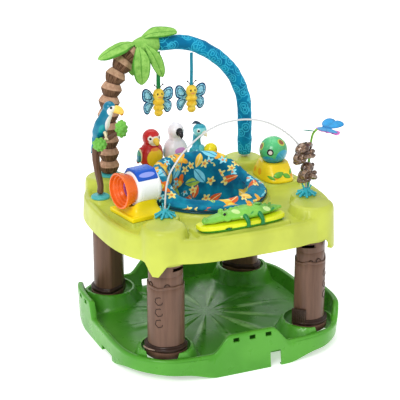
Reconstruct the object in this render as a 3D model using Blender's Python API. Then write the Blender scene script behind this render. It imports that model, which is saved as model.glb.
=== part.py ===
import math

import bmesh
import bpy
from mathutils import Matrix, Vector

# Clearances
GAP = 0.0003
RUNNING_GAP = 0.0006
WALL = 0.004

# Leg square
LEG_SPACING = 0.24
LEG_WIDTH = 0.114
LEG_ARC_CENTRE = -0.006
LEG_CREASE = -0.046
LEG_CHEEK = 0.050
LEG_CHEEK_DEPTH = -0.030
LEG_BOTTOM = 0.056
LEG_TOP = 0.290
LEG_SKIN = 0.003
LEG_WEB_UNDER = 0.0817
LEG_WEB_TOP = 0.0860
FOOT_RING_LOW = 0.062
FOOT_RING_HIGH = 0.082
FOOT_RING_GROWTH = 0.009
SLEEVE_INSET = 0.0036
SLEEVE_BOTTOM = 0.200
SLEEVE_TOP = 0.4550
SLEEVE_SKIN = 0.004
SLOT_WIDTH = 0.030
SLOT_HEIGHT = 0.010
SLOT_LEVEL = 0.342
CLIP_WIDTH = 0.044
CLIP_HEIGHT = 0.050
CLIP_THICKNESS = 0.008
CLIP_BOTTOM = 0.086

# Base tray
BASE_HALF_FRONT = 0.340
BASE_HALF_BACK = 0.355
BASE_HALF_SIDE = 0.372
BASE_DIAGONAL = 0.430
BASE_CORNER_POWER = 16
BASE_SEGMENTS = 48
BASE_RIM_LOW = 0.070
BASE_RIM_RAISED = 0.122
BASE_CORNER_LIFT = 0.022
BASE_RIM_WIDTH = 0.018
BASE_FLANGE = 0.012
BASE_FLOOR_EDGE = 0.030
BASE_FLOOR_RISE = 0.020
RIDGE_COUNT = 12
RIDGE_HEIGHT = 0.0035
CENTRE_FOOT_RADIUS = 0.030
CENTRE_FOOT_HEIGHT = 0.040
LEG_HOLE_RADIUS = 0.0745
COLLAR_TOP = 0.085
COLLAR_TOP_RADIUS = 0.083
COLLAR_FOOT_RADIUS = 0.108
COLLAR_FOOT = 0.0250
BRIDGE_LOW = 0.024
BRIDGE_HIGH = 0.032
BRIDGE_WIDTH = 0.036
VENT_WIDTH = 0.020
VENT_HEIGHT = 0.013
VENT_PITCH = 0.0535
VENT_LEVEL = 0.1065

# Bounce springs
SPRING_RADIUS = 0.016
SPRING_WIRE = 0.0016
SPRING_TURNS = 3
SPRING_POINTS_PER_TURN = 8

# Play tray
TRAY_HALF_FRONT = 0.338
TRAY_HALF_SIDE = 0.362
TRAY_DIAGONAL = 0.400
TRAY_CORNER_POWER = 10
TRAY_SEGMENTS = 48
TRAY_SKIRT_BOTTOM = 0.360
TRAY_RIM = 0.441
TRAY_DECK = 0.442
SEAT_COLLAR_TOP = 0.452
SEAT_HOLE_RADIUS = 0.168
POST_RADIUS = 0.064
POST_TOP = 0.470
TONGUE_TOP_HALF = 0.036
TONGUE_TIP_HALF = 0.007
TONGUE_TIP = 0.310
PAD_TOP = 0.4466
PAD_FOOT = 0.4240

# Seat
SEAT_RING_BORE = 0.1505
SEAT_RING_TUBE = 0.1665
SEAT_RING_FLANGE = 0.186
SEAT_RING_THICKNESS = 0.006
SEAT_RING_BOTTOM = 0.425
SEAT_SEGMENTS = 32
SEAT_OUTER = 0.163
SEAT_FRONT_TOP = 0.484
SEAT_BACK_TOP = 0.545
SEAT_BACK_ANGLE = math.radians(112)
LEG_OPENING_RADIUS = 0.040
LEG_OPENING_OFFSET = 0.066

# Toy arch
ARCH_TOP = 0.8835
ARCH_PLANE = 0.245
ARCH_TUBE_RADIUS = 0.0100
ARCH_BORE_RADIUS = 0.0112
SLEEVE_RADIUS = 0.0245
TRUNK_NECK = 0.0235
TRUNK_RIB = 0.0335
TRUNK_RIB_PITCH = 0.042
CROWN_RADII = (0.026, 0.033, 0.032, 0.026)
BEE_AXIS_LEFT = -0.058
BEE_AXIS_RIGHT = 0.057
BEE_CENTRE = 0.690
WING_SWEEP = 0.16
WING_THICKNESS = 0.005

# Wire arch
WIRE_PLANE = -0.178
WIRE_RADIUS = 0.0028

# Toy places on the tray
TOUCAN_PLACE = (-0.310, 0.113)
TOUCAN_TURN = math.radians(-23.9)
STAND_CENTRE = (0.012, 0.283)
STAND_SIZE = (0.262, 0.060, 0.014)
PARROT_PLACE = (-0.075, 0.275)
WHITE_BIRD_PLACE = (0.016, 0.285)
TEAL_BIRD_PLACE = (0.098, 0.285)
BIRD_TURN = math.radians(-72)
DRUM_CENTRE = (-0.255, -0.066)
DRUM_TURN = math.radians(190)
DRUM_AXIS_LEVEL = PAD_TOP + 0.0844
DRUM_RADIUS = 0.050
ROOF_RISE = 0.0090
ROOF_HALF_WIDTH = 0.046
ROOF_RIDGE_HALF = 0.027
BALL_PLACE = (0.273, 0.080)
BALL_RADIUS = 0.045
BALL_LEVEL = PAD_TOP + 0.0894
BALL_SEAT_DROP = 0.0351
GATOR_CENTRE = (-0.012, -0.276)
GATOR_TURN = math.radians(3)
MONKEY_RADIUS = 0.020


def clear_scene():
    for thing in list(bpy.data.objects):
        bpy.data.objects.remove(thing, do_unlink=True)


def paint(name, colour, roughness=0.4, metallic=0.0):
    material = bpy.data.materials.new(name)
    material.use_nodes = True
    shader = material.node_tree.nodes["Principled BSDF"]
    shader.inputs["Base Color"].default_value = (*colour, 1.0)
    shader.inputs["Roughness"].default_value = roughness
    shader.inputs["Metallic"].default_value = metallic
    return material


def tidy_mesh(bm):
    bmesh.ops.remove_doubles(bm, verts=bm.verts, dist=0.00001)
    bmesh.ops.recalc_face_normals(bm, faces=bm.faces)


def make(name, bm, smooth=True):
    mesh = bpy.data.meshes.new(name)
    for face in bm.faces:
        face.smooth = smooth
    bm.to_mesh(mesh)
    bm.free()
    thing = bpy.data.objects.new(name, mesh)
    bpy.context.scene.collection.objects.link(thing)
    return thing


def finish(thing, colour, roughness=0.4, metallic=0.0):
    thing.data.materials.clear()
    thing.data.materials.append(paint(thing.name, colour, roughness, metallic))
    return thing


def place(thing, location=(0, 0, 0), turn=0.0):
    thing.location = location
    thing.rotation_euler = (0, 0, turn)
    return thing


def bake(thing):
    bpy.context.view_layer.update()
    thing.data.transform(thing.matrix_world)
    thing.matrix_world = Matrix.Identity(4)
    return thing


def move_origin(thing, point):
    bake(thing)
    thing.data.transform(Matrix.Translation(-Vector(point)))
    thing.location = point
    return thing


def copy_of(thing, name, location, turn):
    twin = thing.copy()
    twin.name = name
    scene = bpy.context.scene
    scene.collection.objects.link(twin)
    twin.location = location
    twin.rotation_euler = (0, 0, turn)
    return twin


def triangulate(thing):
    bm = bmesh.new()
    bm.from_mesh(thing.data)
    bmesh.ops.triangulate(bm, faces=bm.faces)
    bm.to_mesh(thing.data)
    bm.free()


def ranked(items, key):
    for place_now, item in enumerate(sorted(items, key=key)):
        item.index = place_now
    items.sort(key=lambda item: item.index)


def combine(target, tool, operation):
    triangulate(target)
    triangulate(tool)
    bpy.context.view_layer.update()
    modifier = target.modifiers.new("shape", "BOOLEAN")
    modifier.operation = operation
    modifier.solver = "EXACT"
    modifier.object = tool
    bpy.context.view_layer.update()
    graph = bpy.context.evaluated_depsgraph_get()
    mesh = bpy.data.meshes.new_from_object(target.evaluated_get(graph))
    target.modifiers.clear()
    target.data = mesh
    bm = bmesh.new()
    bm.from_mesh(mesh)
    bmesh.ops.remove_doubles(bm, verts=bm.verts, dist=0.00002)
    bmesh.ops.dissolve_degenerate(bm, edges=bm.edges, dist=0.00002)
    ranked(bm.verts, lambda vert: tuple(round(c, 6) for c in vert.co))
    ranked(bm.edges, lambda edge: sorted(vert.index for vert in edge.verts))
    ranked(bm.faces, lambda face: sorted(vert.index for vert in face.verts))
    bmesh.ops.dissolve_limit(
        bm, angle_limit=math.radians(0.8), use_dissolve_boundaries=False,
        verts=bm.verts, edges=bm.edges,
    )
    bm.to_mesh(mesh)
    bm.free()
    bpy.data.objects.remove(tool, do_unlink=True)
    return target


def union(target, *tools):
    for tool in tools:
        combine(target, tool, "UNION")
    return target


def cut(target, *tools):
    for tool in tools:
        combine(target, tool, "DIFFERENCE")
    return target


def smoothstep(low, high, value):
    share = min(1.0, max(0.0, (value - low) / (high - low)))
    return share * share * (3 - 2 * share)


def stack(rings, cap_first=True, cap_last=True, closed=False):
    bm = bmesh.new()
    loop = [bm.verts.new(point) for point in rings[0]]
    count = len(loop)
    edges = [bm.edges.new((loop[i], loop[(i + 1) % count])) for i in range(count)]
    first = list(loop)
    for ring in rings[1:]:
        made = bmesh.ops.extrude_edge_only(bm, edges=edges)
        fresh = {item for item in made["geom"] if isinstance(item, bmesh.types.BMVert)}
        following = []
        for vert in loop:
            partner = [edge.other_vert(vert) for edge in vert.link_edges]
            following.append(next(item for item in partner if item in fresh))
        for vert, point in zip(following, ring):
            vert.co = point
        loop = following
        edges = [
            item for item in made["geom"]
            if isinstance(item, bmesh.types.BMEdge) and all(v in fresh for v in item.verts)
        ]
    if closed:
        for i in range(count):
            j = (i + 1) % count
            bm.faces.new((loop[i], loop[j], first[j], first[i]))
    else:
        caps = []
        if cap_first:
            caps.append(bm.faces.new(first))
        if cap_last:
            caps.append(bm.faces.new(list(reversed(loop))))
        if count > 32:
            bmesh.ops.poke(bm, faces=caps)
    bmesh.ops.recalc_face_normals(bm, faces=bm.faces)
    return bm


def lathe(profile, segments, closed=False):
    bm = bmesh.new()
    verts = [bm.verts.new((radius, 0, level)) for radius, level in profile]
    edges = [bm.edges.new(pair) for pair in zip(verts, verts[1:])]
    if closed:
        edges.append(bm.edges.new((verts[-1], verts[0])))
    bmesh.ops.spin(
        bm, geom=verts + edges, cent=(0, 0, 0), axis=(0, 0, 1),
        angle=math.tau, steps=segments, use_merge=True,
    )
    tidy_mesh(bm)
    return bm


def box(size, centre, bevel=0.0, segments=1):
    bm = bmesh.new()
    bmesh.ops.create_cube(bm, size=1.0)
    bmesh.ops.scale(bm, vec=size, verts=bm.verts)
    if bevel:
        bmesh.ops.bevel(
            bm, geom=list(bm.edges), offset=bevel, segments=segments,
            affect="EDGES", profile=0.5,
        )
    bmesh.ops.translate(bm, vec=centre, verts=bm.verts)
    bmesh.ops.recalc_face_normals(bm, faces=bm.faces)
    return bm


def cylinder(radius, low, high, segments, centre=(0, 0)):
    ring = [
        (centre[0] + radius * math.cos(math.tau * i / segments),
         centre[1] + radius * math.sin(math.tau * i / segments))
        for i in range(segments)
    ]
    return stack([[(x, y, low) for x, y in ring], [(x, y, high) for x, y in ring]])


def sphere(radius, centre, columns=12, rows=8, squash=(1, 1, 1)):
    bm = bmesh.new()
    bmesh.ops.create_uvsphere(bm, u_segments=columns, v_segments=rows, radius=radius)
    bmesh.ops.scale(bm, vec=squash, verts=bm.verts)
    bmesh.ops.translate(bm, vec=centre, verts=bm.verts)
    return bm


def along(points, count):
    path = [Vector(point) for point in points]
    ends = [path[0] * 2 - path[1]] + path + [path[-1] * 2 - path[-2]]
    fine = []
    for i in range(1, len(ends) - 2):
        a, b, c, d = ends[i - 1:i + 3]
        for k in range(16):
            t = k / 16
            fine.append(0.5 * (
                (2 * b) + (c - a) * t + (2 * a - 5 * b + 4 * c - d) * t * t
                + (3 * b - a - 3 * c + d) * t ** 3
            ))
    fine.append(path[-1])
    lengths = [0.0]
    for a, b in zip(fine, fine[1:]):
        lengths.append(lengths[-1] + (b - a).length)
    total = lengths[-1]
    spots = []
    place_now = 0
    for k in range(count + 1):
        goal = total * k / count
        while place_now < len(fine) - 2 and lengths[place_now + 1] < goal:
            place_now += 1
        step = lengths[place_now + 1] - lengths[place_now]
        share = (goal - lengths[place_now]) / step
        spots.append(fine[place_now].lerp(fine[place_now + 1], share))
    return spots, total


def frames(path, side, runs=None):
    result = []
    for i, point in enumerate(path):
        ahead = path[min(i + 1, len(path) - 1)]
        behind = path[max(i - 1, 0)]
        run = runs[i] if runs else (ahead - behind).normalized()
        across = (Vector(side) - run * run.dot(Vector(side))).normalized()
        up = across.cross(run)
        result.append((point, across, up))
    return result


def sweep(points, radii, sides, side=(0, 1, 0), flat=1.0, bore=None, bore_step=1, runs=None):
    path = [Vector(point) for point in points]
    outer = []
    inner = []
    last = len(path) - 1
    for number, ((centre, across, up), radius) in enumerate(zip(frames(path, side, runs), radii)):
        turn = [math.tau * i / sides for i in range(sides)]
        outer.append([
            centre + across * (radius * flat * math.cos(a)) + up * (radius * math.sin(a))
            for a in turn
        ])
        if bore and (number % bore_step == 0 or number == last):
            inner.append([
                centre + across * (bore * math.cos(a)) + up * (bore * math.sin(a)) for a in turn
            ])
    if bore:
        return stack(outer + inner[::-1], closed=True)
    return stack(outer)


def part_of_path(path, start, end, count):
    lengths = [0.0]
    for a, b in zip(path, path[1:]):
        lengths.append(lengths[-1] + (b - a).length)
    spots = []
    for k in range(count + 1):
        goal = start + (end - start) * k / count
        i = max(j for j in range(len(path) - 1) if lengths[j] <= goal + 1e-9)
        share = (goal - lengths[i]) / (lengths[i + 1] - lengths[i])
        spots.append(path[i].lerp(path[i + 1], min(1.0, share)))
    return spots


# Plan outlines
def plan_radius(angle, walls, power):
    total = 0.0
    for heading, distance in walls:
        facing = math.cos(angle - math.radians(heading))
        if facing > 0:
            total += (facing / distance) ** power
    return total ** (-1.0 / power)


def base_walls(shrink_side=0.0, grow_front=0.0, corner=0.0):
    return [
        (270, BASE_HALF_FRONT + grow_front),
        (90, BASE_HALF_BACK + grow_front),
        (0, BASE_HALF_SIDE - shrink_side),
        (180, BASE_HALF_SIDE - shrink_side),
        (45, BASE_DIAGONAL - corner),
        (135, BASE_DIAGONAL - corner),
        (225, BASE_DIAGONAL - corner),
        (315, BASE_DIAGONAL - corner),
    ]


TOP_WALLS = base_walls()
FOOT_WALLS = base_walls(0.002, 0.013, 0.006)
TRAY_WALLS = [
    (270, TRAY_HALF_FRONT), (90, TRAY_HALF_FRONT), (0, TRAY_HALF_SIDE), (180, TRAY_HALF_SIDE),
    (45, TRAY_DIAGONAL), (135, TRAY_DIAGONAL), (225, TRAY_DIAGONAL), (315, TRAY_DIAGONAL),
]


def base_angles():
    angles = [math.tau * i / BASE_SEGMENTS for i in range(BASE_SEGMENTS)]
    for level in (0.052, 0.072):
        near = math.atan2(level, -BASE_HALF_SIDE) % math.tau
        angles = [a for a in angles if abs(a - near) > 0.03]
        angles.append(near)
        far = (near + math.pi) % math.tau
        angles = [a for a in angles if abs(a - far) > 0.03]
        angles.append(far)
    return sorted(angles)


def rim_level(angle):
    radius = plan_radius(angle, TOP_WALLS, BASE_CORNER_POWER)
    x = radius * math.cos(angle)
    y = radius * math.sin(angle)
    if abs(y) > 0.30:
        raised = 1 - smoothstep(0.070, 0.132, abs(x))
    else:
        reach = y if x < 0 else -y
        raised = smoothstep(0.056, 0.070, reach) * (1 - smoothstep(0.235, 0.285, reach))
    return BASE_RIM_LOW + (BASE_RIM_RAISED - BASE_RIM_LOW) * raised


def foot_level(angle):
    return BASE_CORNER_LIFT * smoothstep(0.35, 0.85, math.sin(2 * angle) ** 2)


def base_ring(kind, inset, lift, angles):
    ring = []
    for angle in angles:
        top = plan_radius(angle, TOP_WALLS, BASE_CORNER_POWER)
        foot = plan_radius(angle, FOOT_WALLS, BASE_CORNER_POWER)
        if kind == "foot":
            radius, level = foot - inset, foot_level(angle) + lift
        elif kind == "rim":
            radius, level = top - inset, rim_level(angle) + lift
        else:
            radius, level = top - inset, BASE_FLOOR_EDGE + lift
        ring.append((radius * math.cos(angle), radius * math.sin(angle), level))
    return ring


def floor_ring(share, drop, angles):
    ring = []
    for angle in angles:
        radius = (plan_radius(angle, TOP_WALLS, BASE_CORNER_POWER) - 0.034) * share
        level = BASE_FLOOR_EDGE + BASE_FLOOR_RISE * (1 - share * share)
        ridge = RIDGE_HEIGHT * math.cos(RIDGE_COUNT * angle) * math.sin(math.pi * share)
        if drop:
            ridge = -RIDGE_HEIGHT
        ring.append((radius * math.cos(angle), radius * math.sin(angle), level + ridge - drop))
    return ring


def leg_places():
    return [
        ("left", (-LEG_SPACING, LEG_SPACING), math.radians(45)),
        ("front", (-LEG_SPACING, -LEG_SPACING), math.radians(135)),
        ("right", (LEG_SPACING, -LEG_SPACING), math.radians(225)),
        ("back", (LEG_SPACING, LEG_SPACING), math.radians(315)),
    ]


def build_base():
    angles = base_angles()
    foot = [(CENTRE_FOOT_RADIUS * math.cos(a), CENTRE_FOOT_RADIUS * math.sin(a)) for a in angles]
    rings = [
        [(x, y, 0.0) for x, y in foot],
        [(x, y, CENTRE_FOOT_HEIGHT) for x, y in foot],
        floor_ring(0.40, WALL, angles),
        floor_ring(0.72, WALL, angles),
        base_ring("floor", 0.030, -WALL, angles),
        base_ring("rim", 0.0145, -WALL, angles),
        base_ring("rim", 0.0060, -WALL, angles),
        base_ring("foot", WALL, WALL, angles),
        base_ring("foot", BASE_FLANGE, WALL, angles),
        base_ring("foot", BASE_FLANGE, 0.0, angles),
        base_ring("foot", 0.0, 0.0, angles),
        base_ring("rim", 0.0, -0.006, angles),
        base_ring("rim", 0.004, 0.0, angles),
        base_ring("rim", BASE_RIM_WIDTH, 0.0, angles),
        base_ring("floor", 0.034, 0.0, angles),
        floor_ring(0.72, 0.0, angles),
        floor_ring(0.42, 0.0, angles),
        floor_ring(0.16, 0.0, angles),
    ]
    base = make("base_tray", stack(rings))
    fence = base_ring("rim", 0.003, 0.0, angles)
    low = [(x, y, 0.0) for x, y, z in fence]
    high = [(x, y, 0.2) for x, y, z in fence]
    for name, (x, y), turn in leg_places():
        profile = [
            (0.066, BRIDGE_LOW), (0.079, BRIDGE_LOW), (0.079, COLLAR_FOOT),
            (COLLAR_FOOT_RADIUS, COLLAR_FOOT), (COLLAR_TOP_RADIUS, COLLAR_TOP - 0.003),
            (COLLAR_TOP_RADIUS - 0.003, COLLAR_TOP), (0.066, COLLAR_TOP),
        ]
        collar = bake(place(make("collar", lathe(profile, 16, True)), (x, y, 0)))
        combine(collar, make("fence", stack([low, high])), "INTERSECT")
        union(base, collar)
        hole = make("hole", cylinder(LEG_HOLE_RADIUS, -0.01, 0.14, 16, (x, y)))
        cut(base, hole)
        size = (BRIDGE_WIDTH, 2 * LEG_HOLE_RADIUS + 0.004, BRIDGE_HIGH - BRIDGE_LOW)
        bridge = make("bridge", box(size, (0, 0, (BRIDGE_LOW + BRIDGE_HIGH) / 2)))
        union(base, bake(place(bridge, (x, y, 0), turn)))
    for side in (-1, 1):
        for step in (-1, 0, 1):
            half = BASE_HALF_FRONT if side < 0 else BASE_HALF_BACK
            centre = (step * VENT_PITCH, side * (half + 0.005), VENT_LEVEL)
            vent = box((VENT_WIDTH, 0.030, VENT_HEIGHT), centre)
            cut(base, make("vent", vent))
            reach = -side * (0.159 + step * VENT_PITCH * 0.95)
            vent = box((0.030, VENT_WIDTH, VENT_HEIGHT), (side * 0.377, reach, VENT_LEVEL))
            cut(base, make("vent", vent))
        notch = box((0.036, 0.070, 0.100), (-side * 0.076, side * 0.350, 0.0))
        cut(base, make("notch", notch))
        relief = box((0.080, 0.088, 0.036), (side * 0.372, side * 0.076, 0.0))
        cut(base, make("relief", relief))
    return finish(base, (0.16, 0.48, 0.08), 0.35)


def leg_section(inset, flange=0.0):
    radius = LEG_WIDTH / 2 - inset + flange
    points = []
    steps = 8
    for i in range(steps + 1):
        angle = math.pi * i / steps
        points.append((radius * math.cos(angle), LEG_ARC_CENTRE + radius * math.sin(angle)))
    cheek = LEG_CHEEK - inset + flange * 0.9
    depth = LEG_CHEEK_DEPTH + inset * 0.6 - flange * 0.15
    points.append((-cheek, depth))
    points.append((0.0, LEG_CREASE + inset * 1.15 - flange * 0.17))
    points.append((cheek, depth))
    return points


def leg_ring(inset, level, flange=0.0):
    return [(x, y, level) for x, y in leg_section(inset, flange)]


def build_legs():
    rings = [
        leg_ring(LEG_SKIN, LEG_WEB_TOP),
        leg_ring(LEG_SKIN, LEG_TOP),
        leg_ring(0.0006, LEG_TOP),
        leg_ring(0.0, LEG_TOP - 0.002),
        leg_ring(0.0, FOOT_RING_HIGH),
        leg_ring(0.0, FOOT_RING_HIGH - 0.0005, FOOT_RING_GROWTH),
        leg_ring(0.0, FOOT_RING_LOW, FOOT_RING_GROWTH),
        leg_ring(0.0, FOOT_RING_LOW - 0.0005),
        leg_ring(0.0, LEG_BOTTOM),
        leg_ring(LEG_SKIN, LEG_BOTTOM),
        leg_ring(LEG_SKIN, LEG_WEB_UNDER),
    ]
    post = make("leg_post_left", stack(rings))
    rings = [
        leg_ring(SLEEVE_INSET + SLEEVE_SKIN, SLEEVE_TOP - 0.006),
        leg_ring(SLEEVE_INSET + SLEEVE_SKIN, SLEEVE_BOTTOM),
        leg_ring(SLEEVE_INSET, SLEEVE_BOTTOM),
        leg_ring(SLEEVE_INSET, SLEEVE_TOP),
    ]
    sleeve = make("leg_sleeve_left", stack(rings))
    for side in (-1, 1):
        slot = box((SLOT_WIDTH, 0.060, SLOT_HEIGHT), (side * 0.052, 0.020, SLOT_LEVEL))
        cut(sleeve, make("slot", slot))
    finish(post, (0.25, 0.16, 0.115), 0.45)
    finish(sleeve, (0.25, 0.16, 0.115), 0.45)
    for name, (x, y), turn in leg_places():
        if name == "left":
            place(post, (x, y, 0), turn)
            place(sleeve, (x, y, 0), turn)
        else:
            twin = copy_of(post, "leg_post_" + name, (x, y, 0), turn)
            if name == "right":
                bpy.context.view_layer.update()
                add_foot_pad(twin)
            copy_of(sleeve, "leg_sleeve_" + name, (x, y, 0), turn)


def add_foot_pad(post):
    post.data = post.data.copy()
    centre = (LEG_WIDTH / 2 - 0.001 + CLIP_THICKNESS / 2, -0.010, CLIP_BOTTOM + CLIP_HEIGHT / 2)
    pad = box((CLIP_THICKNESS, CLIP_WIDTH, CLIP_HEIGHT), (0, 0, 0), 0.0015)
    pad = make("pad", pad)
    pad.matrix_world = post.matrix_world @ Matrix.Translation(centre)
    union(post, pad)


def build_springs():
    bottom = BRIDGE_HIGH + GAP + SPRING_WIRE
    top = LEG_WEB_UNDER - GAP - SPRING_WIRE
    count = SPRING_TURNS * SPRING_POINTS_PER_TURN
    curve = bpy.data.curves.new("bounce_spring", "CURVE")
    curve.dimensions = "3D"
    curve.bevel_depth = SPRING_WIRE
    curve.bevel_resolution = 1
    curve.use_fill_caps = True
    curve.materials.append(paint("bounce_spring", (0.55, 0.56, 0.58), 0.3, 1.0))
    spline = curve.splines.new("POLY")
    spline.points.add(count)
    for i in range(count + 1):
        angle = math.tau * i / SPRING_POINTS_PER_TURN
        share = i / count
        spline.points[i].co = (
            SPRING_RADIUS * math.cos(angle), SPRING_RADIUS * math.sin(angle),
            bottom + (top - bottom) * share, 1.0,
        )
    spline.use_smooth = True
    for name, (x, y), turn in leg_places():
        spring = bpy.data.objects.new("bounce_spring_" + name, curve)
        bpy.context.scene.collection.objects.link(spring)
        spring.location = (x, y, 0)
    pitch = (top - bottom) / SPRING_TURNS
    print("bounce spring self gap", round(1000 * (pitch - 2 * SPRING_WIRE), 2), "mm")


def tray_ring(inset, level):
    ring = []
    for i in range(TRAY_SEGMENTS):
        angle = math.tau * i / TRAY_SEGMENTS
        radius = plan_radius(angle, TRAY_WALLS, TRAY_CORNER_POWER) - inset
        ring.append((radius * math.cos(angle), radius * math.sin(angle), level))
    return ring


def round_ring(radius, level, segments):
    return [
        (radius * math.cos(math.tau * i / segments), radius * math.sin(math.tau * i / segments), level)
        for i in range(segments)
    ]


def tongue(x, y, turn):
    blade = make("tongue", cylinder(POST_RADIUS, TONGUE_TIP, TRAY_SKIRT_BOTTOM + 0.010, 18))
    top = TRAY_SKIRT_BOTTOM + 0.020
    wedge = [
        (-TONGUE_TOP_HALF, top), (-TONGUE_TIP_HALF, TONGUE_TIP - 0.001),
        (TONGUE_TIP_HALF, TONGUE_TIP - 0.001), (TONGUE_TOP_HALF, top),
    ]
    near = [(a, 0.020, b) for a, b in wedge]
    far = [(a, 0.080, b) for a, b in wedge]
    combine(blade, make("wedge", stack([near, far])), "INTERSECT")
    return bake(place(blade, (x, y, 0), turn))


def build_tray():
    n = TRAY_SEGMENTS
    rings = [
        tray_ring(0.0, TRAY_SKIRT_BOTTOM),
        tray_ring(0.004, 0.431),
        tray_ring(0.012, TRAY_RIM - WALL),
        tray_ring(0.030, TRAY_DECK - WALL - 0.008),
        round_ring(0.262, TRAY_DECK - WALL, n),
        round_ring(0.197, TRAY_DECK - WALL, n),
        round_ring(0.189, SEAT_COLLAR_TOP - WALL, n),
        round_ring(0.177, SEAT_COLLAR_TOP - WALL, n),
        round_ring(0.173, 0.412, n),
        round_ring(SEAT_HOLE_RADIUS, 0.412, n),
        round_ring(SEAT_HOLE_RADIUS, SEAT_COLLAR_TOP - 0.003, n),
        round_ring(SEAT_HOLE_RADIUS + 0.003, SEAT_COLLAR_TOP, n),
        round_ring(0.192, SEAT_COLLAR_TOP, n),
        round_ring(0.200, TRAY_DECK, n),
        round_ring(0.260, TRAY_DECK, n),
        tray_ring(0.029, TRAY_DECK - 0.008),
        tray_ring(0.016, TRAY_RIM),
        tray_ring(0.007, TRAY_RIM - 0.002),
        tray_ring(0.0, TRAY_RIM - 0.009),
        tray_ring(-WALL, TRAY_SKIRT_BOTTOM),
    ]
    tray = make("play_tray", stack(rings, closed=True))
    for name, (x, y), turn in leg_places():
        profile = [
            (0.0, TRAY_SKIRT_BOTTOM - 0.003), (POST_RADIUS, TRAY_SKIRT_BOTTOM - 0.003),
            (POST_RADIUS, POST_TOP - 0.008), (POST_RADIUS - 0.003, POST_TOP - 0.002),
            (POST_RADIUS - 0.010, POST_TOP), (0.0, POST_TOP),
        ]
        union(tray, bake(place(make("post", lathe(profile, 18)), (x, y, 0))))
    extras = [((-0.210, -0.180), 0.040), ((0.258, -0.172), 0.046), ((0.284, -0.135), 0.026)]
    for (x, y), radius in extras:
        profile = [
            (0.0, PAD_FOOT), (radius + 0.004, PAD_FOOT), (radius, POST_TOP - 0.004),
            (radius - 0.004, POST_TOP - 0.0007), (0.0, POST_TOP - 0.0007),
        ]
        union(tray, bake(place(make("step", lathe(profile, 14)), (x, y, 0))))
    pads = [
        ((STAND_SIZE[0] + 0.016, STAND_SIZE[1] + 0.012), STAND_CENTRE, 0.0),
        ((0.126, 0.142), DRUM_CENTRE, DRUM_TURN),
        ((0.112, 0.158), BALL_PLACE, 0.0),
        ((0.300, 0.084), (GATOR_CENTRE[0], GATOR_CENTRE[1] + 0.004), GATOR_TURN),
    ]
    for (wide, deep), (x, y), turn in pads:
        pad = box((wide, deep, PAD_TOP - PAD_FOOT), (0, 0, (PAD_TOP + PAD_FOOT) / 2), 0.003)
        pad = make("pad", pad)
        union(tray, bake(place(pad, (x, y, 0), turn)))
    profile = [
        (0.0, PAD_FOOT), (0.033, PAD_FOOT), (0.033, PAD_TOP - 0.002), (0.031, PAD_TOP), (0.0, PAD_TOP),
    ]
    union(tray, bake(place(make("pad", lathe(profile, 16)), (*TOUCAN_PLACE, 0))))
    for name, (x, y), turn in leg_places():
        union(tray, tongue(x, y, turn))
        inset = SLEEVE_INSET - 0.0005
        pocket = stack([leg_ring(inset, 0.290), leg_ring(inset, SLEEVE_TOP + GAP)])
        cut(tray, bake(place(make("pocket", pocket), (x, y, 0), turn)))
    return finish(tray, (0.66, 0.76, 0.10), 0.35)


def build_seat():
    profile = [
        (SEAT_RING_BORE, SEAT_RING_BOTTOM),
        (SEAT_RING_BORE, SEAT_COLLAR_TOP + GAP + SEAT_RING_THICKNESS),
        (SEAT_RING_FLANGE, SEAT_COLLAR_TOP + GAP + SEAT_RING_THICKNESS),
        (SEAT_RING_FLANGE, SEAT_COLLAR_TOP + GAP),
        (SEAT_RING_TUBE, SEAT_COLLAR_TOP + GAP),
        (SEAT_RING_TUBE, SEAT_RING_BOTTOM),
    ]
    ring = make("seat_ring", lathe(profile, 28, True))
    finish(ring, (0.03, 0.20, 0.30), 0.4)
    rest = SEAT_COLLAR_TOP + 2 * GAP + SEAT_RING_THICKNESS

    def crown(angle):
        away = abs((angle - SEAT_BACK_ANGLE + math.pi) % math.tau - math.pi)
        share = 1 - smoothstep(math.radians(52), math.radians(112), away)
        return SEAT_FRONT_TOP + (SEAT_BACK_TOP - SEAT_FRONT_TOP) * share

    def seat_loop(radius, level, from_top=False, swell=0.0):
        loop = []
        for i in range(SEAT_SEGMENTS):
            angle = math.tau * i / SEAT_SEGMENTS
            r = radius + swell * math.cos(9 * angle)
            z = crown(angle) + level if from_top else level
            loop.append((r * math.cos(angle), r * math.sin(angle), z))
        return loop

    rings = [
        seat_loop(0.055, 0.271),
        seat_loop(0.112, 0.309),
        seat_loop(0.139, 0.380),
        seat_loop(0.1485, rest),
        seat_loop(0.157, rest),
        seat_loop(SEAT_OUTER, rest + 0.009),
        seat_loop(SEAT_OUTER - 0.001, -0.013, True, 0.001),
        seat_loop(0.155, -0.002, True, 0.001),
        seat_loop(0.146, 0.0, True),
        seat_loop(0.137, -0.007, True),
        seat_loop(0.131, -0.024, True, -0.001),
        seat_loop(0.133, 0.440),
        seat_loop(0.130, 0.384),
        seat_loop(0.104, 0.319),
        seat_loop(0.050, 0.281),
    ]
    fabric = make("seat_fabric", stack(rings))
    front = Vector((-math.cos(SEAT_BACK_ANGLE), -math.sin(SEAT_BACK_ANGLE), 0))
    across = Vector((-front.y, front.x, 0))
    for side in (-1, 1):
        spot = across * (side * LEG_OPENING_OFFSET) + front * 0.018
        cut(fabric, make("leg_hole", cylinder(LEG_OPENING_RADIUS, 0.24, 0.37, 20, spot.xy)))
    finish(fabric, (0.01, 0.16, 0.26), 0.85)


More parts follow.
